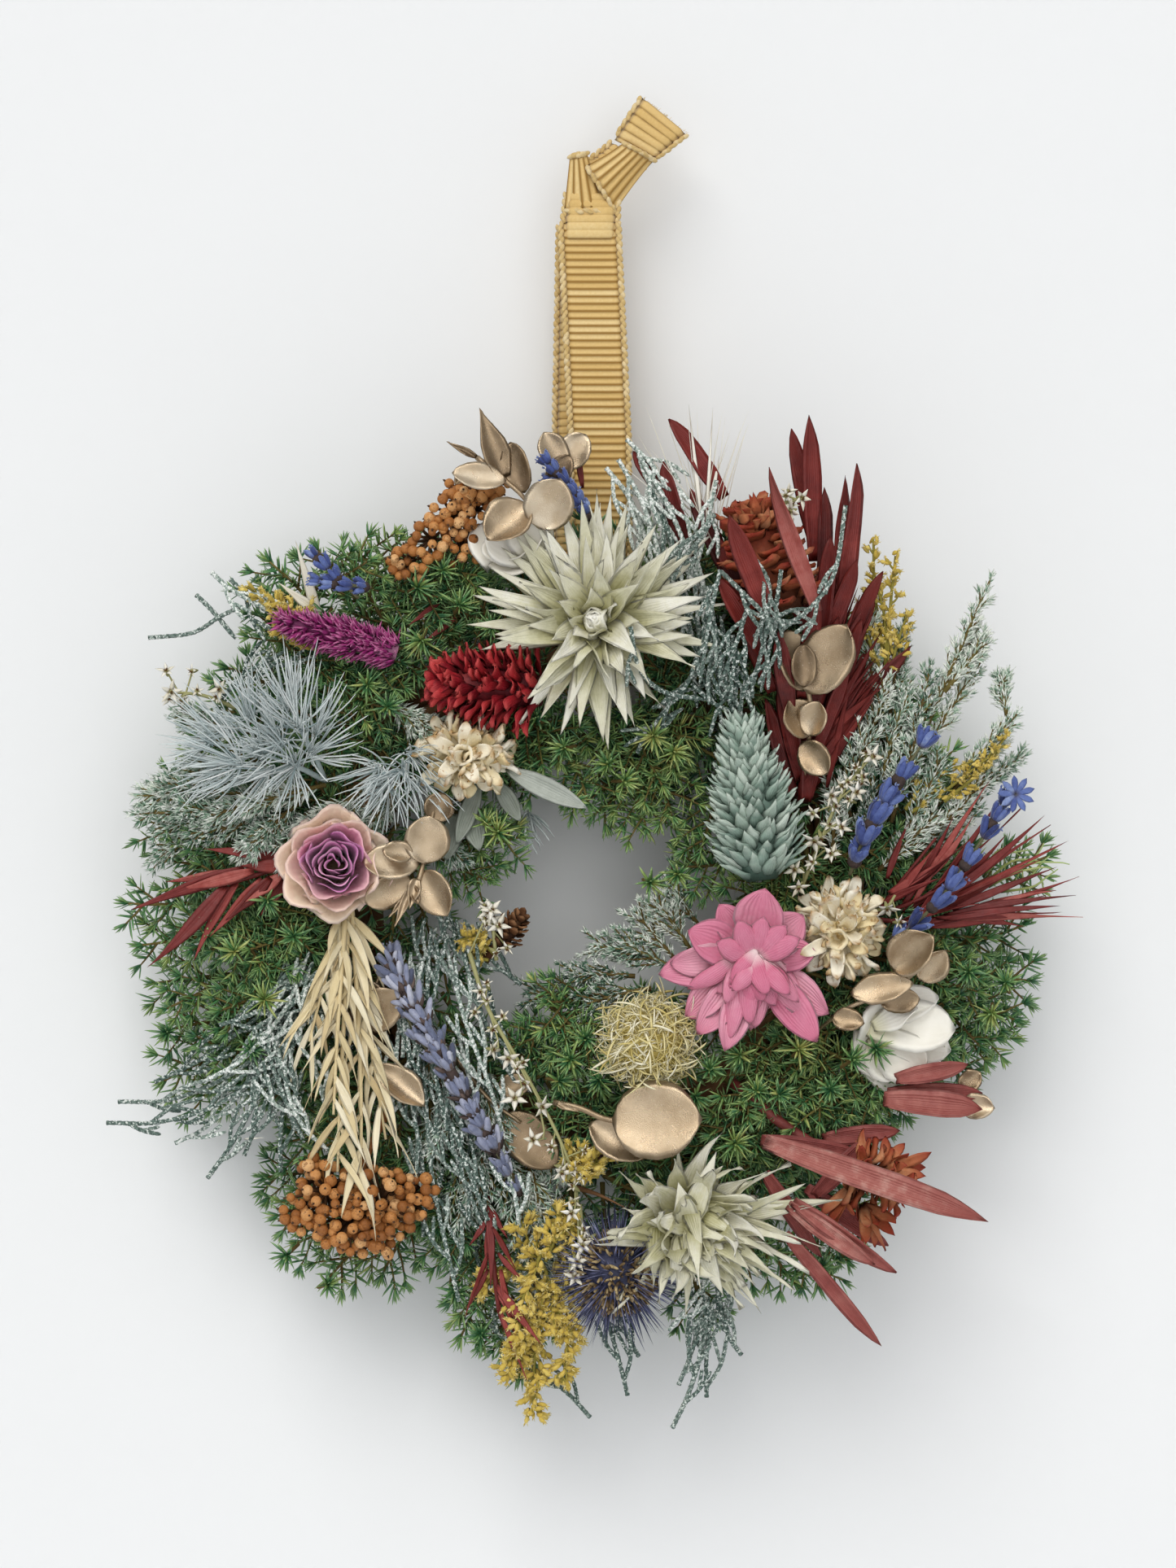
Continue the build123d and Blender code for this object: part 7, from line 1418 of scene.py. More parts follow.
def goldenrod(acc, root, tip, branches, dens=6.0, spread=6.0, size=1.0, start=0.1):
    P, d, L = towards(tip, root)
    p = smooth_path([P, P + d * L * 0.5 + wob(1, 1.0)[0] * 1.2, A(tip, float)], 16)
    tube(acc, p, np.linspace(0.6, 0.3, 16), 5, r=0.4, m=1)
    T = tangents(p)
    pts, dirs = [], []
    for b in range(branches):
        t = start + (1 - start) * (b + RNG.uniform(0, 0.8)) / branches
        i = int(min(t, 0.99) * 15)
        u, v = (q[0] for q in perp(T[i]))
        a = b * 2.4 + RNG.uniform(-0.4, 0.4)
        rad = math.cos(a) * u + math.sin(a) * v
        rad[1] = rad[1] * 0.6 - 0.15
        o = unit(T[i] * 0.9 + rad)
        l = spread * RNG.uniform(0.5, 1.1) * (1.1 - 0.5 * t)
        q = smooth_path([p[i], p[i] + o * l * 0.6, p[i] + o * l + T[i] * l * 0.3], 7)
        tube(acc, q, np.linspace(0.35, 0.2, 7), 4, r=0.5, m=1, caps=False)
        n = max(3, int(l * dens / 6))
        for _ in range(n):
            x = RNG.uniform(0.25, 1)
            pts.append(q[int(x * 6)] + RNG.normal(0, 0.5, 3))
            dirs.append(unit(o + RNG.normal(0, 0.7, 3)))
    pts, dirs = A(pts), A(dirs)
    n = len(pts)
    spindles(acc, pts, dirs, RNG.uniform(2.0, 3.2, n) * size, RNG.uniform(1.2, 1.8, n) * size, (0, 0.3, 0.7, 0.95, 1), (0.35, 0.9, 1, 0.6, 0), 5, 1, None, RNG.uniform(0, 0.7, n))
    tipp = pts + dirs * 2.1 * size
    spindles(acc, np.repeat(tipp, 6, 0), np.repeat(dirs, 6, 0) + wob(6 * n, 0.6), 1.7 * size, 0.5 * size, (0, 0.5, 1), (0.6, 1, 0), 3, 0.5, None, RNG.uniform(0.4, 1, 6 * n))


acc = Acc()
for tip, root, b in [((75.1, -24.0, -87.9), (77.8, -22.0, -117.6), 13), ((75.3, -24.0, -97.9), (78.5, -22.0, -121.9), 10), ((81.0, -24.0, -92.3), (78.9, -22.0, -121.9), 13), ((84.6, -24.0, -106.8), (79.3, -22.0, -126.2), 10), ((72.4, -22.0, -102.4), (77.8, -22.0, -124.1), 8)]:
    goldenrod(acc, root, tip, b, 7.5, 3.4, 0.8)
for tip, root, b in [((111.4, -22.0, -139.0), (94.2, -20.0, -157.7), 14), ((107.5, -22.0, -144.7), (85.5, -20.0, -160.5), 14), ((101.7, -22.0, -146.8), (83.8, -20.0, -159.8), 10)]:
    goldenrod(acc, root, tip, b, 6, 3.0, 0.7)
piece("goldenrod_sprig_right", acc, [GLD, GST], ["goldenrod_upper_right"])
acc = Acc()
for tip, root, b in [((-15.4, -24.0, -320.7), (-12.1, -24.0, -290.8), 24), ((-23.0, -24.0, -310.3), (-14.3, -22.0, -288.8), 18), ((-5.6, -24.0, -299.4), (-12.1, -24.0, -282.1), 20), ((-0.2, -24.0, -290.8), (-10.0, -24.0, -275.6), 20), ((-18.6, -26.0, -301.4), (-13.2, -26.0, -277.6), 18), ((-7.8, -24.0, -312.4), (-10.0, -24.0, -290.8), 16),
                     ((-30.6, -22.0, -289.2), (-16.5, -22.0, -282.3), 12), ((-2.4, -26.0, -274.4), (-10.0, -26.0, -264.7), 10), ((1.9, -28.0, -252.6), (-5.6, -26.0, -256.0), 12), ((-4.5, -28.0, -250.5), (-5.6, -26.0, -258.2), 10), ((-18.6, -24.0, -269.1), (-12.1, -24.0, -282.1), 8), ((-7.8, -28.0, -266.7), (-12.1, -26.0, -279.8), 10)]:
    goldenrod(acc, root, tip, b, 8, 5.0, 1.0)
goldenrod(acc, (-25.2, -20.0, -198.9), (-34.9, -22.0, -194.5), 10, 7, 3.6, 0.8)
goldenrod(acc, (-27.4, -20.0, -200.0), (-30.6, -22.0, -193.4), 8, 7, 3.6, 0.8)
piece("goldenrod_sprig_bottom", acc, [GLD, GST], ["goldenrod_bottom"])
acc = Acc()
for tip, root, b in [((-91.3, -22.0, -100.6), (-77.3, -20.0, -111.0), 14), ((-85.9, -22.0, -103.5), (-75.1, -20.0, -115.3), 14), ((-82.6, -22.0, -111.1), (-72.9, -20.0, -117.5), 12), ((-76.1, -22.0, -105.6), (-70.8, -20.0, -117.5), 8)]:
    goldenrod(acc, root, tip, b, 7, 3.6, 0.85)
piece("goldenrod_sprig_left", acc, [GLD, GST], ["goldenrod_upper_left"])

# ---------------------------------------------------------------- ruscus, cream leaves and star flowers
RUS = material("red_ruscus_finish", [(0, "#551c19"), (0.4, "#7a2c29"), (0.75, "#96403a"), (1, "#b86a60")], rough=(0.45, 0.65), spec=0.35, noise=(400.0, 0.5), bump=(1500.0, 0.25), fibre=(30.0, 0.3))


def spray(acc, root, tip, n, L0, w, ang=0.5, bend=0.0, m=0, cup=0.4, stemr=0.6, tone=0.5, lift=0.25, prof="lance", k=5, mm=3, start=0.08):
    P, d, L = towards(tip, root)
    side = unit(np.cross(d, UP))
    p = smooth_path([P, P + d * L * 0.5 + side * bend * L, A(tip, float)], 16)
    tube(acc, p, np.linspace(stemr, 0.3, 16), 5, r=0.3, m=m)
    T = tangents(p)
    for i in range(n):
        t = start + (0.97 - start) * (i + RNG.uniform(0, 0.6)) / n
        j = int(t * 15)
        sg = 1 if i % 2 else -1
        a = ang * (1 - 0.45 * t) * RNG.uniform(0.7, 1.25)
        s_ = unit(side * sg + UP * RNG.uniform(-0.4, lift + 0.4))
        dd = math.cos(a) * T[j] + math.sin(a) * s_
        leaf(acc, p[j], dd, UP + wob(1, 0.35)[0], L0 * RNG.uniform(0.75, 1.15) * (1 - 0.35 * t), w, prof, curl=RNG.normal(0.15, 0.2), cup=cup, twist=RNG.normal(0, 0.4), th=0.22, k=k, mm=mm, r=np.clip(tone + RNG.normal(0, 0.2), 0, 1), m=m)
    leaf(acc, p[-2], T[-1], UP, L0 * 0.6, w * 0.8, prof, k=k, mm=mm, r=tone, m=m)


def blades(acc, stems, n, L0, w, ang=0.35, tone=0.5, m=0, wv=0.15):
    """Long flat pointed leaves along a few thin stems."""
    for pts in stems:
        p = smooth_path(pts, 24)
        tube(acc, p, np.linspace(0.55, 0.3, 24), 5, r=0.3, m=m)
        T = tangents(p)
        ln = length_of(p)
        for i in range(n):
            t = 0.05 + 0.92 * (i + RNG.uniform(0, 0.5)) / n
            j = int(t * 23)
            sd_ = unit(np.cross(T[j], UP)) * (1 if i % 2 else -1)
            a = ang * RNG.uniform(0.5, 1.3)
            dd = math.cos(a) * T[j] + math.sin(a) * sd_ + UP * RNG.normal(0.06, 0.12)
            L = L0 * RNG.uniform(0.75, 1.1) * (1 - 0.3 * t)
            leaf(acc, p[j], dd, UP + wob(1, 0.5)[0], L, w * RNG.uniform(0.75, 1.15), "lance", curl=RNG.normal(0.05, 0.2), cup=0.45, twist=RNG.normal(0, 0.5), side=RNG.normal(0, 0.25), th=0.22, k=8, mm=5, r=np.clip(tone + RNG.normal(0, 0.22), 0, 1), m=m, wave=wv)
        leaf(acc, p[-2], T[-1], UP, L0 * 0.55, w * 0.8, "lance", k=7, mm=5, r=tone, m=m)


acc = Acc()
for rt, tp, w in [((-92.2, -24.0, -175.6), (-122.1, -27.0, -184.4), 2.1), ((-89.6, -25.0, -176.0), (-110.4, -27.0, -182.1), 1.8), ((-96.9, -25.0, -179.9), (-114.9, -28.0, -203.6), 2.2), ((-94.0, -24.0, -179.3), (-107.7, -26.0, -198.1), 1.7), ((-85.2, -25.0, -177.8), (-95.9, -27.0, -189.8), 1.9),
                  ((-82.1, -24.0, -177.1), (-91.5, -26.0, -185.1), 1.9), ((-87.5, -24.0, -178.2), (-100.8, -26.0, -193.8), 1.6), ((-82.2, -22.0, -172.8), (-102.6, -24.0, -170.0), 1.7), ((-81.0, -23.0, -175.0), (-93.0, -25.0, -174.7), 2.0), ((-81.1, -22.0, -178.3), (-87.5, -24.0, -188.2), 1.7), ((-94.5, -22.0, -176.5), (-112.9, -23.0, -179.3), 1.5)]:
    P, d, L = towards(tp, rt)
    leaf(acc, P, d, UP + wob(1, 0.3)[0], L * 1.02, w, "lance", curl=RNG.normal(0, 0.12), cup=0.45, twist=RNG.normal(0, 0.25), side=RNG.normal(0, 0.1), th=0.25, k=12, mm=5, r=RNG.uniform(0.2, 0.9), wave=0.25)
tube(acc, smooth_path([(-79.5, -20.0, -173.9), (-88.0, -23.0, -176.9), (-96.6, -24.0, -179.5)], 8), 0.7, 6, r=0.2)
piece("ruscus_sprig_left", acc, [RUS], ["ruscus_left"])
acc = Acc()
for rt, tp, w in [((87.6, -22.0, -190.2), (130.0, -25.0, -180.8), 1.2), ((91.8, -23.0, -188.6), (129.9, -26.0, -186.0), 1.3), ((93.9, -24.0, -188.0), (127.7, -27.0, -180.3), 1.1), ((85.4, -22.0, -188.7), (121.1, -25.0, -163.7), 1.2), ((89.7, -23.0, -186.5), (126.7, -26.0, -169.3), 1.0),
                  ((91.8, -24.0, -184.7), (121.6, -27.0, -163.7), 1.3), ((90.8, -23.0, -181.5), (115.9, -26.0, -160.9), 1.0), ((87.6, -22.0, -186.9), (110.4, -24.0, -155.5), 1.0), ((85.8, -22.0, -184.8), (104.5, -22.0, -151.8), 1.1), ((83.3, -21.0, -185.2), (97.8, -22.0, -162.6), 1.2),
                  ((83.3, -21.0, -189.1), (113.4, -24.0, -174.3), 1.4), ((86.5, -22.0, -191.3), (121.0, -24.0, -183.6), 1.4), ((89.7, -22.0, -190.8), (116.0, -24.0, -188.2), 1.3), ((93.9, -24.0, -189.0), (123.9, -28.0, -183.5), 1.2), ((81.1, -22.0, -183.7), (91.3, -24.0, -170.0), 1.2),
                  ((79.3, -22.0, -182.2), (95.2, -25.0, -174.3), 1.3), ((77.8, -22.0, -184.8), (91.6, -26.0, -176.5), 1.2), ((83.3, -20.0, -187.0), (107.5, -22.0, -171.8), 1.3), ((91.9, -22.0, -184.8), (118.8, -24.0, -172.8), 1.2), ((87.7, -20.0, -188.1), (111.4, -22.0, -180.4), 1.4),
                  ((96.1, -24.0, -186.4), (123.2, -26.0, -174.3), 1.1), ((79.0, -20.0, -178.3), (83.7, -22.0, -163.1), 1.0), ((81.1, -22.0, -182.6), (101.5, -24.0, -169.1), 1.2), ((91.8, -24.0, -188.6), (124.7, -26.0, -186.8), 1.0), ((96.2, -22.0, -188.7), (122.2, -23.0, -178.0), 1.1),
                  ((85.3, -23.0, -189.1), (102.5, -26.0, -183.6), 1.4), ((82.3, -20.0, -191.3), (102.7, -22.0, -189.5), 1.3), ((100.6, -22.0, -188.7), (115.2, -23.0, -189.7), 1.0), ((89.7, -22.0, -178.3), (103.9, -24.0, -163.5), 1.1), ((94.0, -23.0, -182.6), (111.2, -25.0, -168.3), 1.2)]:
    P, d, L = towards(tp, rt)
    leaf(acc, P, d, UP + wob(1, 0.4)[0], L * 1.02, w, "lance", curl=RNG.normal(0, 0.12), cup=0.5, twist=RNG.normal(0, 0.35), side=RNG.normal(0, 0.14), th=0.25, k=13, mm=5, r=RNG.uniform(0.15, 0.9), wave=0.2)
for pts in [[(75.8, -18.0, -189.2), (85.5, -21.0, -189.6), (100.5, -23.0, -187.3)], [(75.8, -18.0, -188.1), (87.6, -22.0, -183.7), (98.3, -24.0, -177.1)], [(76.9, -18.0, -187.0), (83.3, -21.0, -178.3), (91.9, -22.0, -167.4)]]:
    tube(acc, smooth_path(pts, 10), np.linspace(0.8, 0.35, 10), 6, r=0.25)
piece("ruscus_sprig_right", acc, [RUS], ["ruscus_right"])
acc = Acc()
for rt, tp, w in [((-27.3, -26.0, -277.6), (-34.6, -28.0, -294.3), 0.9), ((-27.3, -25.0, -282.0), (-32.0, -26.0, -291.0), 0.8), ((-26.2, -24.0, -268.7), (-29.8, -26.0, -282.4), 1.0), ((-25.1, -27.0, -286.2), (-13.4, -29.0, -301.8), 1.3), ((-24.6, -27.0, -288.3), (-16.4, -28.0, -299.1), 1.1), ((-24.7, -26.0, -290.6), (-17.5, -27.0, -312.1), 0.8),
                  ((-27.3, -25.0, -266.9), (-24.6, -28.0, -286.5), 1.2), ((-27.7, -24.0, -269.1), (-32.2, -25.0, -276.0), 0.9), ((-24.0, -27.0, -281.9), (-21.6, -28.0, -301.6), 1.1), ((-24.6, -27.0, -277.5), (-18.1, -28.0, -286.5), 0.8), ((-26.2, -26.0, -270.7), (-20.3, -28.0, -282.2), 1.0), ((-27.3, -22.0, -265.0), (-22.9, -25.0, -274.5), 1.0), ((-24.7, -24.0, -284.3), (-27.3, -25.0, -299.3), 0.9)]:
    P, d, L = towards(tp, rt)
    leaf(acc, P, d, UP + wob(1, 0.3)[0], L * 1.02, w, "lance", curl=RNG.normal(0, 0.15), cup=0.45, twist=RNG.normal(0, 0.4), side=RNG.normal(0, 0.25), th=0.22, k=10, mm=5, r=RNG.uniform(0.2, 0.8), wave=0.15)
tube(acc, smooth_path([(-27.0, -18.0, -260.9), (-27.3, -23.0, -269.2), (-26.0, -25.0, -279.9), (-24.4, -26.0, -292.8)], 10), 0.7, 6, r=0.2)
piece("ruscus_sprig_bottom", acc, [RUS], ["ruscus_bottom"])
CREAM = material("cream_leaf_finish", [(0, "#c8b184"), (0.4, "#dfcd9f"), (0.75, "#ebddb8"), (1, "#f3e9cc")], rough=(0.45, 0.65), spec=0.35, sheen=0.2, noise=(300.0, 0.5), bump=(1100.0, 0.3), fibre=(40.0, 0.5))
acc = Acc()
def drape(acc, stems, n, L0, w, m=0):
    """Long narrow leaves that hang down from thin stems."""
    for pts in stems:
        p = smooth_path(pts, 24)
        tube(acc, p, np.linspace(0.8, 0.35, 24), 5, r=0.3, m=m)
        T = tangents(p)
        for i in range(n):
            t = 0.02 + 0.95 * (i + RNG.uniform(0, 0.6)) / n
            j = int(t * 23)
            sg = 1 if i % 2 else -1
            sd_ = unit(np.cross(T[j], UP)) * sg
            a = RNG.uniform(0.25, 0.75)
            dd = math.cos(a) * T[j] + math.sin(a) * sd_ + UP * RNG.normal(0.1, 0.16)
            dn = -sg * RNG.uniform(0.1, 0.6)
            L = L0 * RNG.uniform(0.7, 1.15)
            leaf(acc, p[j], dd, UP + wob(1, 0.5)[0], L, w * RNG.uniform(0.7, 1.2), "lance", curl=RNG.normal(-0.1, 0.25), cup=0.5, twist=RNG.normal(0, 0.8), side=dn, th=0.2, k=9, mm=5, r=np.clip(RNG.normal(0.55, 0.25), 0, 1), m=m, wave=0.2)


drape(acc, [[(-64.5, -24.0, -184.7), (-65.2, -29.0, -210.5), (-66.4, -31.0, -236.3), (-67.1, -30.0, -255.7)], [(-63.7, -24.0, -184.7), (-61.8, -28.0, -212.7), (-60.9, -29.0, -238.5), (-61.2, -30.0, -260.5)], [(-62.8, -24.0, -199.9), (-58.6, -27.0, -221.4), (-54.5, -26.0, -247.4)], [(-65.2, -24.0, -184.7), (-70.4, -27.0, -204.1), (-74.7, -28.0, -221.3)], [(-65.3, -26.0, -189.0), (-66.9, -33.0, -216.8), (-68.1, -32.0, -240.5)]], 15, 20, 1.2)
piece("cream_leaves", acc, [CREAM], ["cream_leaf_spray"])

STAR = material("star_flower_finish", [(0, "#cfc6a8"), (0.5, "#e8e2cf"), (1, "#f8f5ea")], base="#93804e", base_at=(0, 0.3), rough=(0.5, 0.7), spec=0.3, noise=(500.0, 0.6), bump=(1200.0, 0.3))
SHEART = material("star_heart_finish", [(0, "#5a3c20"), (0.5, "#7d5a32"), (1, "#a58452")], rough=(0.6, 0.8), spec=0.2, bump=(1400.0, 0.3))
STEMG = material("dry_stem_finish", [(0, "#8c8a5a"), (0.5, "#a5a372"), (1, "#bdbb8e")], rough=(0.6, 0.8), spec=0.25, bump=(1400.0, 0.3))


def star(acc, P, face, R=3.6, n=5, heart=True):
    P, face = A(P, float), unit(A(face, float))
    u, v = (q[0] for q in perp(face))
    o = RNG.uniform(0, 6)
    for i in range(n):
        a = o + i * TAU / n
        ra = math.cos(a) * u + math.sin(a) * v
        leaf(acc, P + ra * 0.3, ra + face * 0.25, face, R * RNG.uniform(0.9, 1.2), R * 0.23, "lance", curl=RNG.normal(0.1, 0.2), cup=0.5, th=0.2, k=6, mm=3, r=RNG.uniform(0.4, 1))
    spindles(acc, P - face * 2.4, face, 3.0, 1.4, (0, 0.4, 0.85, 1), (0.3, 0.8, 1, 0), 6, 1, None, 0.2, m=1)
    if heart:
        spindles(acc, np.repeat((P + face * 0.2)[None], 7, 0), face + wob(7, 0.4), 1.2, 0.4, r=0.1, m=2)


def star_sprig(acc, pts, flowers, n_extra=0):
    p = smooth_path(pts, 30)
    tube(acc, p, np.linspace(0.65, 0.35, 30), 5, r=0.5, m=1)
    for f in flowers:
        f = A(f, float)
        j = int(np.argmin(np.linalg.norm(p - f, axis=1)))
        tube(acc, smooth_path([p[max(j - 3, 0)], (p[j] + f) / 2 + A([0, -0.6, 0]), f + A([0, 1.2, 0])], 6), 0.3, 4, r=0.5, m=1, caps=False)
        star(acc, f, A([RNG.normal(0, 0.45), -1.0, RNG.normal(0, 0.45)]), RNG.uniform(2.7, 3.5))
    for _ in range(n_extra):
        j = RNG.integers(4, 29)
        f = p[j] + A([RNG.normal(0, 2.2), -1.0, RNG.normal(0, 2.2)])
        tube(acc, smooth_path([p[j], f + A([0, 1.0, 0])], 3), 0.25, 4, r=0.5, m=1, caps=False)
        star(acc, f, A([RNG.normal(0, 0.7), -1.0, RNG.normal(0, 0.7)]), RNG.uniform(1.6, 2.5))


acc = Acc()
star_sprig(acc, [(56.1, -22.0, -180.4), (61.3, -27.0, -167.4), (66.7, -28.0, -155.5), (74.4, -26.0, -145.8)], [(74.7, -28.0, -145.8), (63.5, -31.0, -156.1), (70.3, -30.0, -155.3), (59.2, -31.0, -168.0), (66.2, -30.0, -164.5), (54.1, -30.0, -175.7), (55.0, -30.0, -180.3), (59.0, -31.0, -173.8), (63.8, -30.0, -171.6)], 14)
star_sprig(acc, [(72.3, -24.0, -186.9), (78.2, -27.0, -185.9), (80.8, -27.0, -182.5)], [(78.5, -29.0, -185.9)], 2)
piece("star_flowers_right", acc, [STAR, STEMG, SHEART], ["starflowers_right"])
acc = Acc()
star_sprig(acc, [(-32.3, -24.0, -198.1), (-27.2, -29.0, -212.7), (-18.5, -33.0, -227.6), (-8.8, -33.0, -245.8), (-4.5, -31.0, -257.8), (-3.0, -28.0, -268.8)], [(-13.1, -35.0, -238.2), (-20.0, -34.0, -236.1), (-15.3, -35.0, -247.0), (-5.0, -32.0, -266.4), (-3.5, -31.0, -279.6), (-21.7, -34.0, -225.4), (-17.4, -34.0, -231.8), (-26.1, -33.0, -223.2), (-7.8, -34.0, -255.5), (-27.3, -26.0, -186.8)], 16)
star_sprig(acc, [(-3.0, -28.0, -264.5), (-2.2, -29.0, -275.2), (-3.0, -28.0, -283.9)], [(-2.2, -31.0, -275.1), (-4.3, -30.0, -283.8)], 6)
star_sprig(acc, [(-25.2, -22.0, -199.9), (-26.0, -24.0, -191.2), (-26.4, -24.0, -184.7)], [(-26.4, -26.0, -186.4), (-24.7, -26.0, -190.7)], 6)
piece("star_flowers_centre", acc, [STAR, STEMG, SHEART], ["starflowers_left"])
acc = Acc()
star_sprig(acc, [(-94.8, -18.0, -132.7), (-103.3, -20.0, -129.4), (-112.5, -20.0, -128.4)], [(-111.9, -22.0, -128.4), (-98.6, -22.0, -127.7), (-108.7, -21.0, -130.1)], 6)
star_sprig(acc, [(50.2, -36.0, -79.2), (55.5, -38.0, -77.6)], [(55.4, -40.0, -77.7), (52.7, -39.0, -81.1)], 3)
piece("star_flowers_left", acc, [STAR, STEMG, SHEART], None)

# loose small pieces: bleached grass, silver leaves, dark filler
BLEACH = material("bleached_grass_finish", [(0, "#ddd6bd"), (0.5, "#ece7d4"), (1, "#f6f3e8")], rough=(0.45, 0.65), spec=0.35, noise=(400.0, 0.5), bump=(1400.0, 0.2), fibre=(30.0, 0.3))
SILVER = material("silver_leaf_finish", [(0, "#6c7468"), (0.4, "#8c9388"), (0.75, "#a9afa6"), (1, "#c3c8c0")], rough=(0.35, 0.55), spec=0.45, noise=(240.0, 0.6), bump=(1300.0, 0.3), fibre=(50.0, 0.4))
acc = Acc()
for root, tip, w in [((-72.0, -18.0, -110.9), (-78.7, -22.0, -88.1), 1.5), ((-70.9, -18.0, -108.8), (-83.3, -22.0, -99.3), 1.6), ((-71.9, -20.0, -108.0), (-73.8, -24.0, -106.3), 1.2)]:
    P, d, L = towards(tip, root)
    leaf(acc, P, d, UP, L, w, "lance", cup=0.5, k=8, r=0.6)
for i in range(34):
    a = RNG.uniform(-0.75, 0.55)
    P = A((29.5, -20.0, -82.8)) + wob(1, 2.5)[0]
    d = A([math.sin(a - 0.15), -0.1, math.cos(a - 0.15)])
    spindles(acc, P, d, RNG.uniform(18, 31), 0.32, (0, 0.4, 0.8, 1), (1, 0.8, 0.5, 0), 3, 1, wob(1, 1.6), RNG.uniform(0.4, 1))
for root, tip, w in [((29.4, -24.0, -83.0), (26.0, -24.0, -51.8), 0.6), ((30.7, -24.0, -83.0), (32.5, -23.0, -52.6), 0.5), ((31.2, -24.0, -83.0), (34.2, -23.0, -65.6), 0.8), ((63.7, -22.0, -270.4), (7.3, -24.0, -261.6), 0.9), ((-92.5, -20.0, -247.7), (-86.9, -22.0, -247.2), 0.3)]:
    P, d, L = towards(tip, root)
    leaf(acc, P, d, UP, L, w, "lance", cup=0.5, k=8, r=0.9)
piece("bleached_grass", acc, [BLEACH], None)
acc = Acc()
for root, tip, w, tn in [((-22.7, -24.0, -149.0), (0.2, -30.0, -160.0), 3.0, 0.7), ((-32.7, -22.0, -157.7), (-29.5, -24.0, -171.3), 3.2, 0.3), ((-36.0, -20.0, -160.9), (-38.6, -22.0, -173.9), 3.0, 0.2), ((-25.2, -20.0, -152.2), (-18.7, -20.0, -163.1), 2.6, 0.4), ((-29.5, -22.0, -152.2), (-35.9, -24.0, -169.6), 2.6, 0.3)]:
    P, d, L = towards(tip, root)
    leaf(acc, P, d, UP, L, w, "boat", curl=0.3, cup=0.5, k=12, mm=7, r=tn)
piece("silver_leaves", acc, [SILVER], None)
acc = Acc()
sp = Sprays()
for tip, root in [((-4.3, -22.0, -60.3), (-2.2, -20.0, -74.1)), ((-49.0, -22.0, -111.1), (-40.4, -18.0, -104.4)), ((-44.7, -22.0, -115.4), (-36.1, -18.0, -108.8))]:
    P, d, L = towards(tip, root)
    leaf(acc, P, d, UP, L, 0.9, "lance", cup=0.5, k=8, r=0.3)
piece("slim_red_leaf", acc, [RUS], None)

# ---------------------------------------------------------------- thin curled leaves at the right edge, and one tan twig
acc = Acc()
for pts in [[(106.4, -16.0, -179.4), (117.0, -20.0, -174.4), (124.4, -22.0, -173.9), (127.5, -22.0, -174.4)], [(107.5, -16.0, -178.4), (115.5, -20.0, -175.2), (119.2, -22.0, -171.3), (120.7, -22.0, -168.7)], [(106.4, -16.0, -180.5), (113.7, -20.0, -176.6), (121.1, -20.0, -175.2), (123.7, -20.0, -176.6)],
            [(105.8, -16.0, -179.2), (111.6, -19.0, -174.0), (116.3, -20.0, -173.1), (120.5, -20.0, -173.9)], [(108.7, -15.0, -181.0), (116.5, -18.0, -178.3), (119.8, -20.0, -174.4), (122.4, -20.0, -172.2)], [(104.9, -16.0, -177.9), (109.9, -19.0, -172.2), (115.0, -20.0, -170.9), (118.1, -20.0, -170.5)],
            [(109.8, -15.0, -181.9), (117.8, -18.0, -180.5), (121.6, -19.0, -177.9), (124.6, -20.0, -175.7)], [(104.2, -17.0, -176.6), (108.6, -19.0, -170.9), (111.6, -20.0, -170.5), (114.6, -20.0, -172.2)]]:
    tube(acc, smooth_path(pts, 14), np.linspace(0.42, 0.16, 14), 6, r=0.85)
tube(acc, smooth_path([(96.8, -14.0, -184.9), (104.2, -16.0, -179.2), (110.0, -18.0, -177.0)], 8), 0.5, 6, r=0.3, m=1)
piece("curled_green_leaves", acc, [HIM, TWIG], None)
acc = Acc()
tube(acc, smooth_path([(-4.8, -22.0, -260.2), (1.9, -27.0, -262.0), (9.0, -30.0, -265.2)], 10), np.linspace(0.9, 0.12, 10), 6, r=0.6)
piece("tan_twig", acc, [CANE], None)

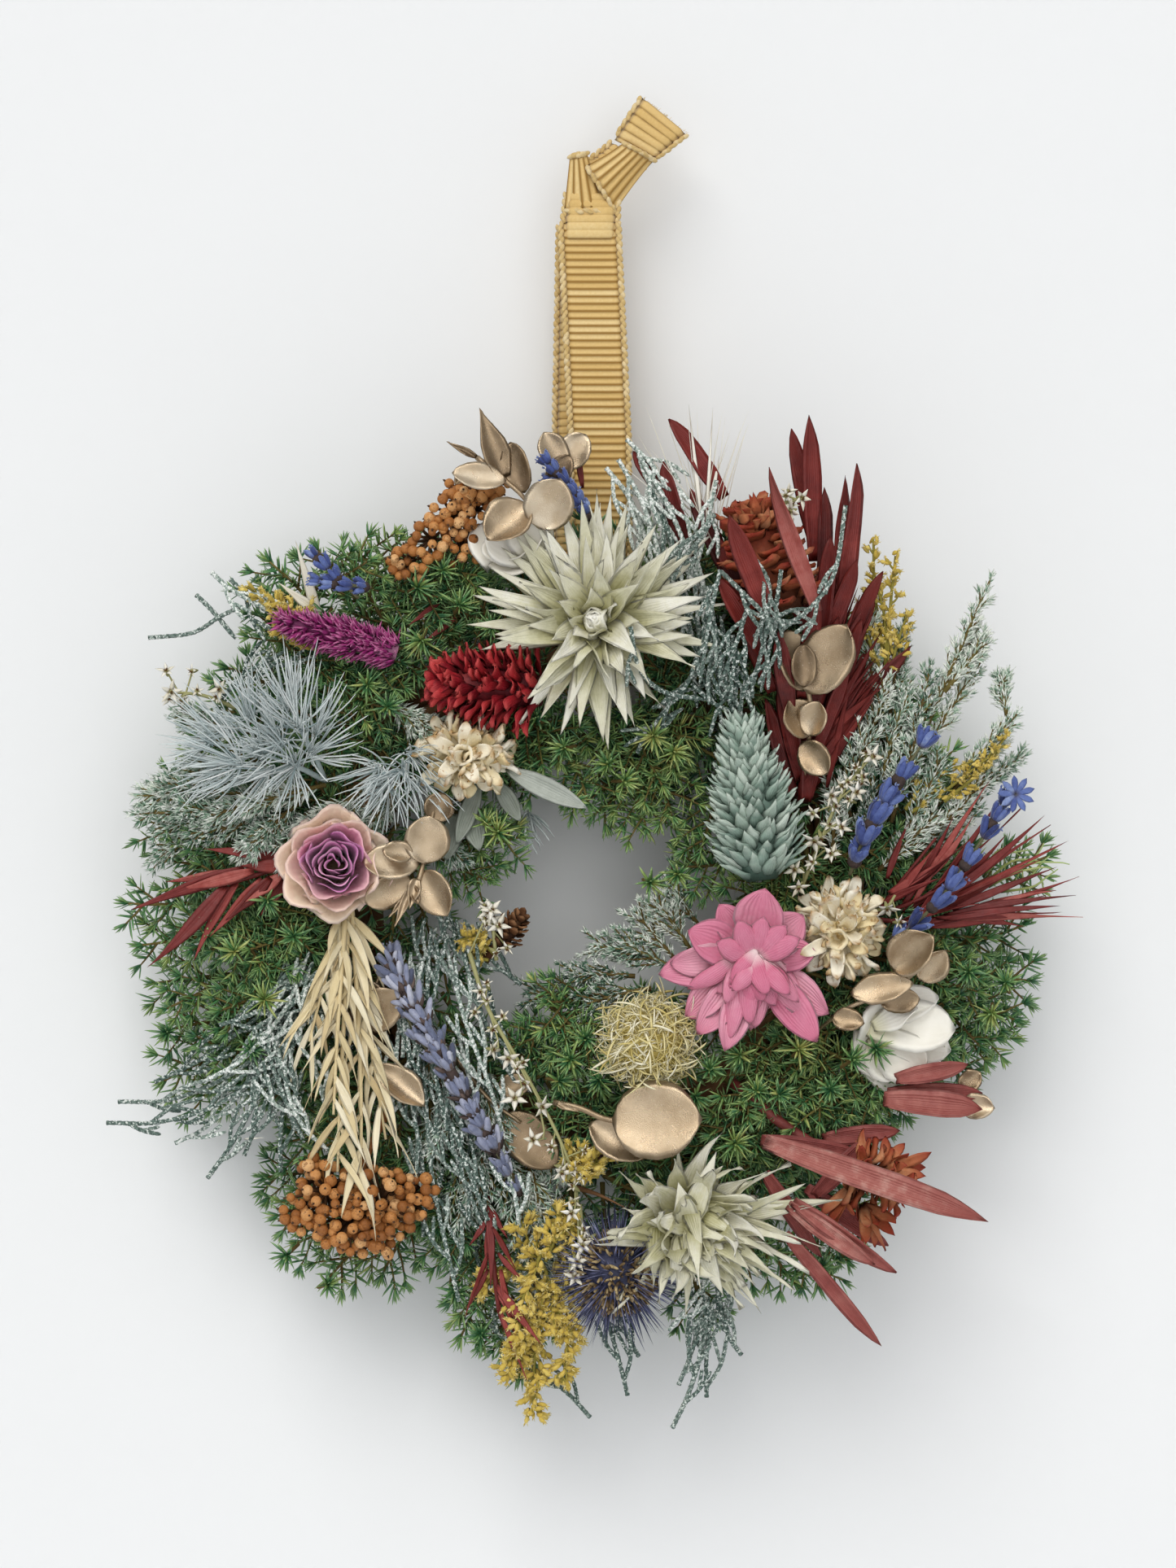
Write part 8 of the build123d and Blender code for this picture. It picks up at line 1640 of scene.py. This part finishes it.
# ---------------------------------------------------------------- stage, light and camera
def plain(name, color, rough=0.9, back=False):
    mt = bpy.data.materials.new(name)
    mt.use_nodes = True
    nt = mt.node_tree
    bs = next(n for n in nt.nodes if n.type == "BSDF_PRINCIPLED")
    bs.inputs["Roughness"].default_value = rough
    bs.inputs["Specular IOR Level"].default_value = 0.1
    nz = nt.nodes.new("ShaderNodeTexNoise")
    nz.inputs["Scale"].default_value = 90.0
    nz.inputs["Detail"].default_value = 6.0
    cr = nt.nodes.new("ShaderNodeValToRGB")
    cr.color_ramp.elements[0].color = tuple(c * 0.985 for c in color[:3]) + (1.0,)
    cr.color_ramp.elements[1].color = color
    nt.links.new(nz.outputs["Fac"], cr.inputs[0])
    nt.links.new(cr.outputs[0], bs.inputs["Base Color"])
    bp = nt.nodes.new("ShaderNodeBump")
    bp.inputs["Strength"].default_value = 0.04
    bp.inputs["Distance"].default_value = 0.001
    nt.links.new(nz.outputs["Fac"], bp.inputs["Height"])
    nt.links.new(bp.outputs["Normal"], bs.inputs["Normal"])
    if back:
        out = next(n for n in nt.nodes if n.type == "OUTPUT_MATERIAL")
        geo = nt.nodes.new("ShaderNodeNewGeometry")
        tr = nt.nodes.new("ShaderNodeBsdfTransparent")
        mx = nt.nodes.new("ShaderNodeMixShader")
        nt.links.new(geo.outputs["Backfacing"], mx.inputs[0])
        nt.links.new(bs.outputs[0], mx.inputs[1])
        nt.links.new(tr.outputs[0], mx.inputs[2])
        nt.links.new(mx.outputs[0], out.inputs["Surface"])
    return mt


def panel(name, corners, mt):
    me = bpy.data.meshes.new(name)
    me.from_pydata(corners, [], [(0, 1, 2, 3)])
    me.materials.append(mt)
    ob = bpy.data.objects.new(name, me)
    bpy.context.scene.collection.objects.link(ob)
    return ob


wall = panel("stage_wall", [(-3, 0.0202, -0.95), (3, 0.0202, -0.95), (3, 0.0202, 2.2), (-3, 0.0202, 2.2)], plain("stage_wall_paint", (0.862, 0.875, 0.882, 1.0), back=True))
floor = panel("stage_floor", [(-3, -3, -0.95), (3, -3, -0.95), (3, 3, -0.95), (-3, 3, -0.95)], plain("stage_floor_paint", (0.83, 0.84, 0.86, 1.0)))

scene = bpy.context.scene
world = bpy.data.worlds.new("studio")
scene.world = world
world.use_nodes = True
bg = next(n for n in world.node_tree.nodes if n.type == "BACKGROUND")
bg.inputs[0].default_value = (0.975, 0.985, 1.0, 1.0)
bg.inputs[1].default_value = 0.37


def area(name, loc, target, size, power, color=(1, 1, 1)):
    ld = bpy.data.lights.new(name, "AREA")
    ld.shape = "DISK"
    ld.size = size
    ld.energy = power
    ld.color = color
    ob = bpy.data.objects.new(name, ld)
    scene.collection.objects.link(ob)
    from mathutils import Vector
    ob.location = loc
    ob.rotation_euler = (Vector(target) - Vector(loc)).to_track_quat("-Z", "Y").to_euler()
    return ob


def sun(name, direction, strength, angle, color):
    from mathutils import Vector
    ld = bpy.data.lights.new(name, "SUN")
    ld.energy = strength
    ld.angle = angle
    ld.color = color
    ob = bpy.data.objects.new(name, ld)
    scene.collection.objects.link(ob)
    ob.location = (0, -1, 1)
    ob.rotation_euler = Vector(direction).to_track_quat("-Z", "Y").to_euler()
    return ob


sun("key", (0.22, 0.70, -0.70), 1.5, 0.7, (1.0, 0.985, 0.96))
sun("fill", (-0.12, 0.97, -0.1), 0.78, 0.9, (1.0, 0.99, 0.98))
area("rim", (0.25, 0.9, 0.7), (0, 0, -0.17), 0.8, 4.0)

cd = bpy.data.cameras.new("camera")
cam = bpy.data.objects.new("camera", cd)
scene.collection.objects.link(cam)
cam.location = (-0.00077, -1.5, -0.153)
cam.rotation_euler = (math.pi / 2, 0, 0)
cd.sensor_fit = "AUTO"
cd.sensor_width = 36.0
cd.lens = 36.0 * 1.5 / 0.42394
cd.dof.use_dof = False
cd.clip_start, cd.clip_end = 0.05, 30.0
scene.camera = cam
scene.view_settings.view_transform = "Standard"
scene.view_settings.look = "None"
scene.view_settings.exposure = 0.0
scene.view_settings.gamma = 1.0

print("TRIS", sum(n for _, n in PIECES), "PIECES", len(PIECES), sorted(PIECES, key=lambda p: -p[1])[:6])
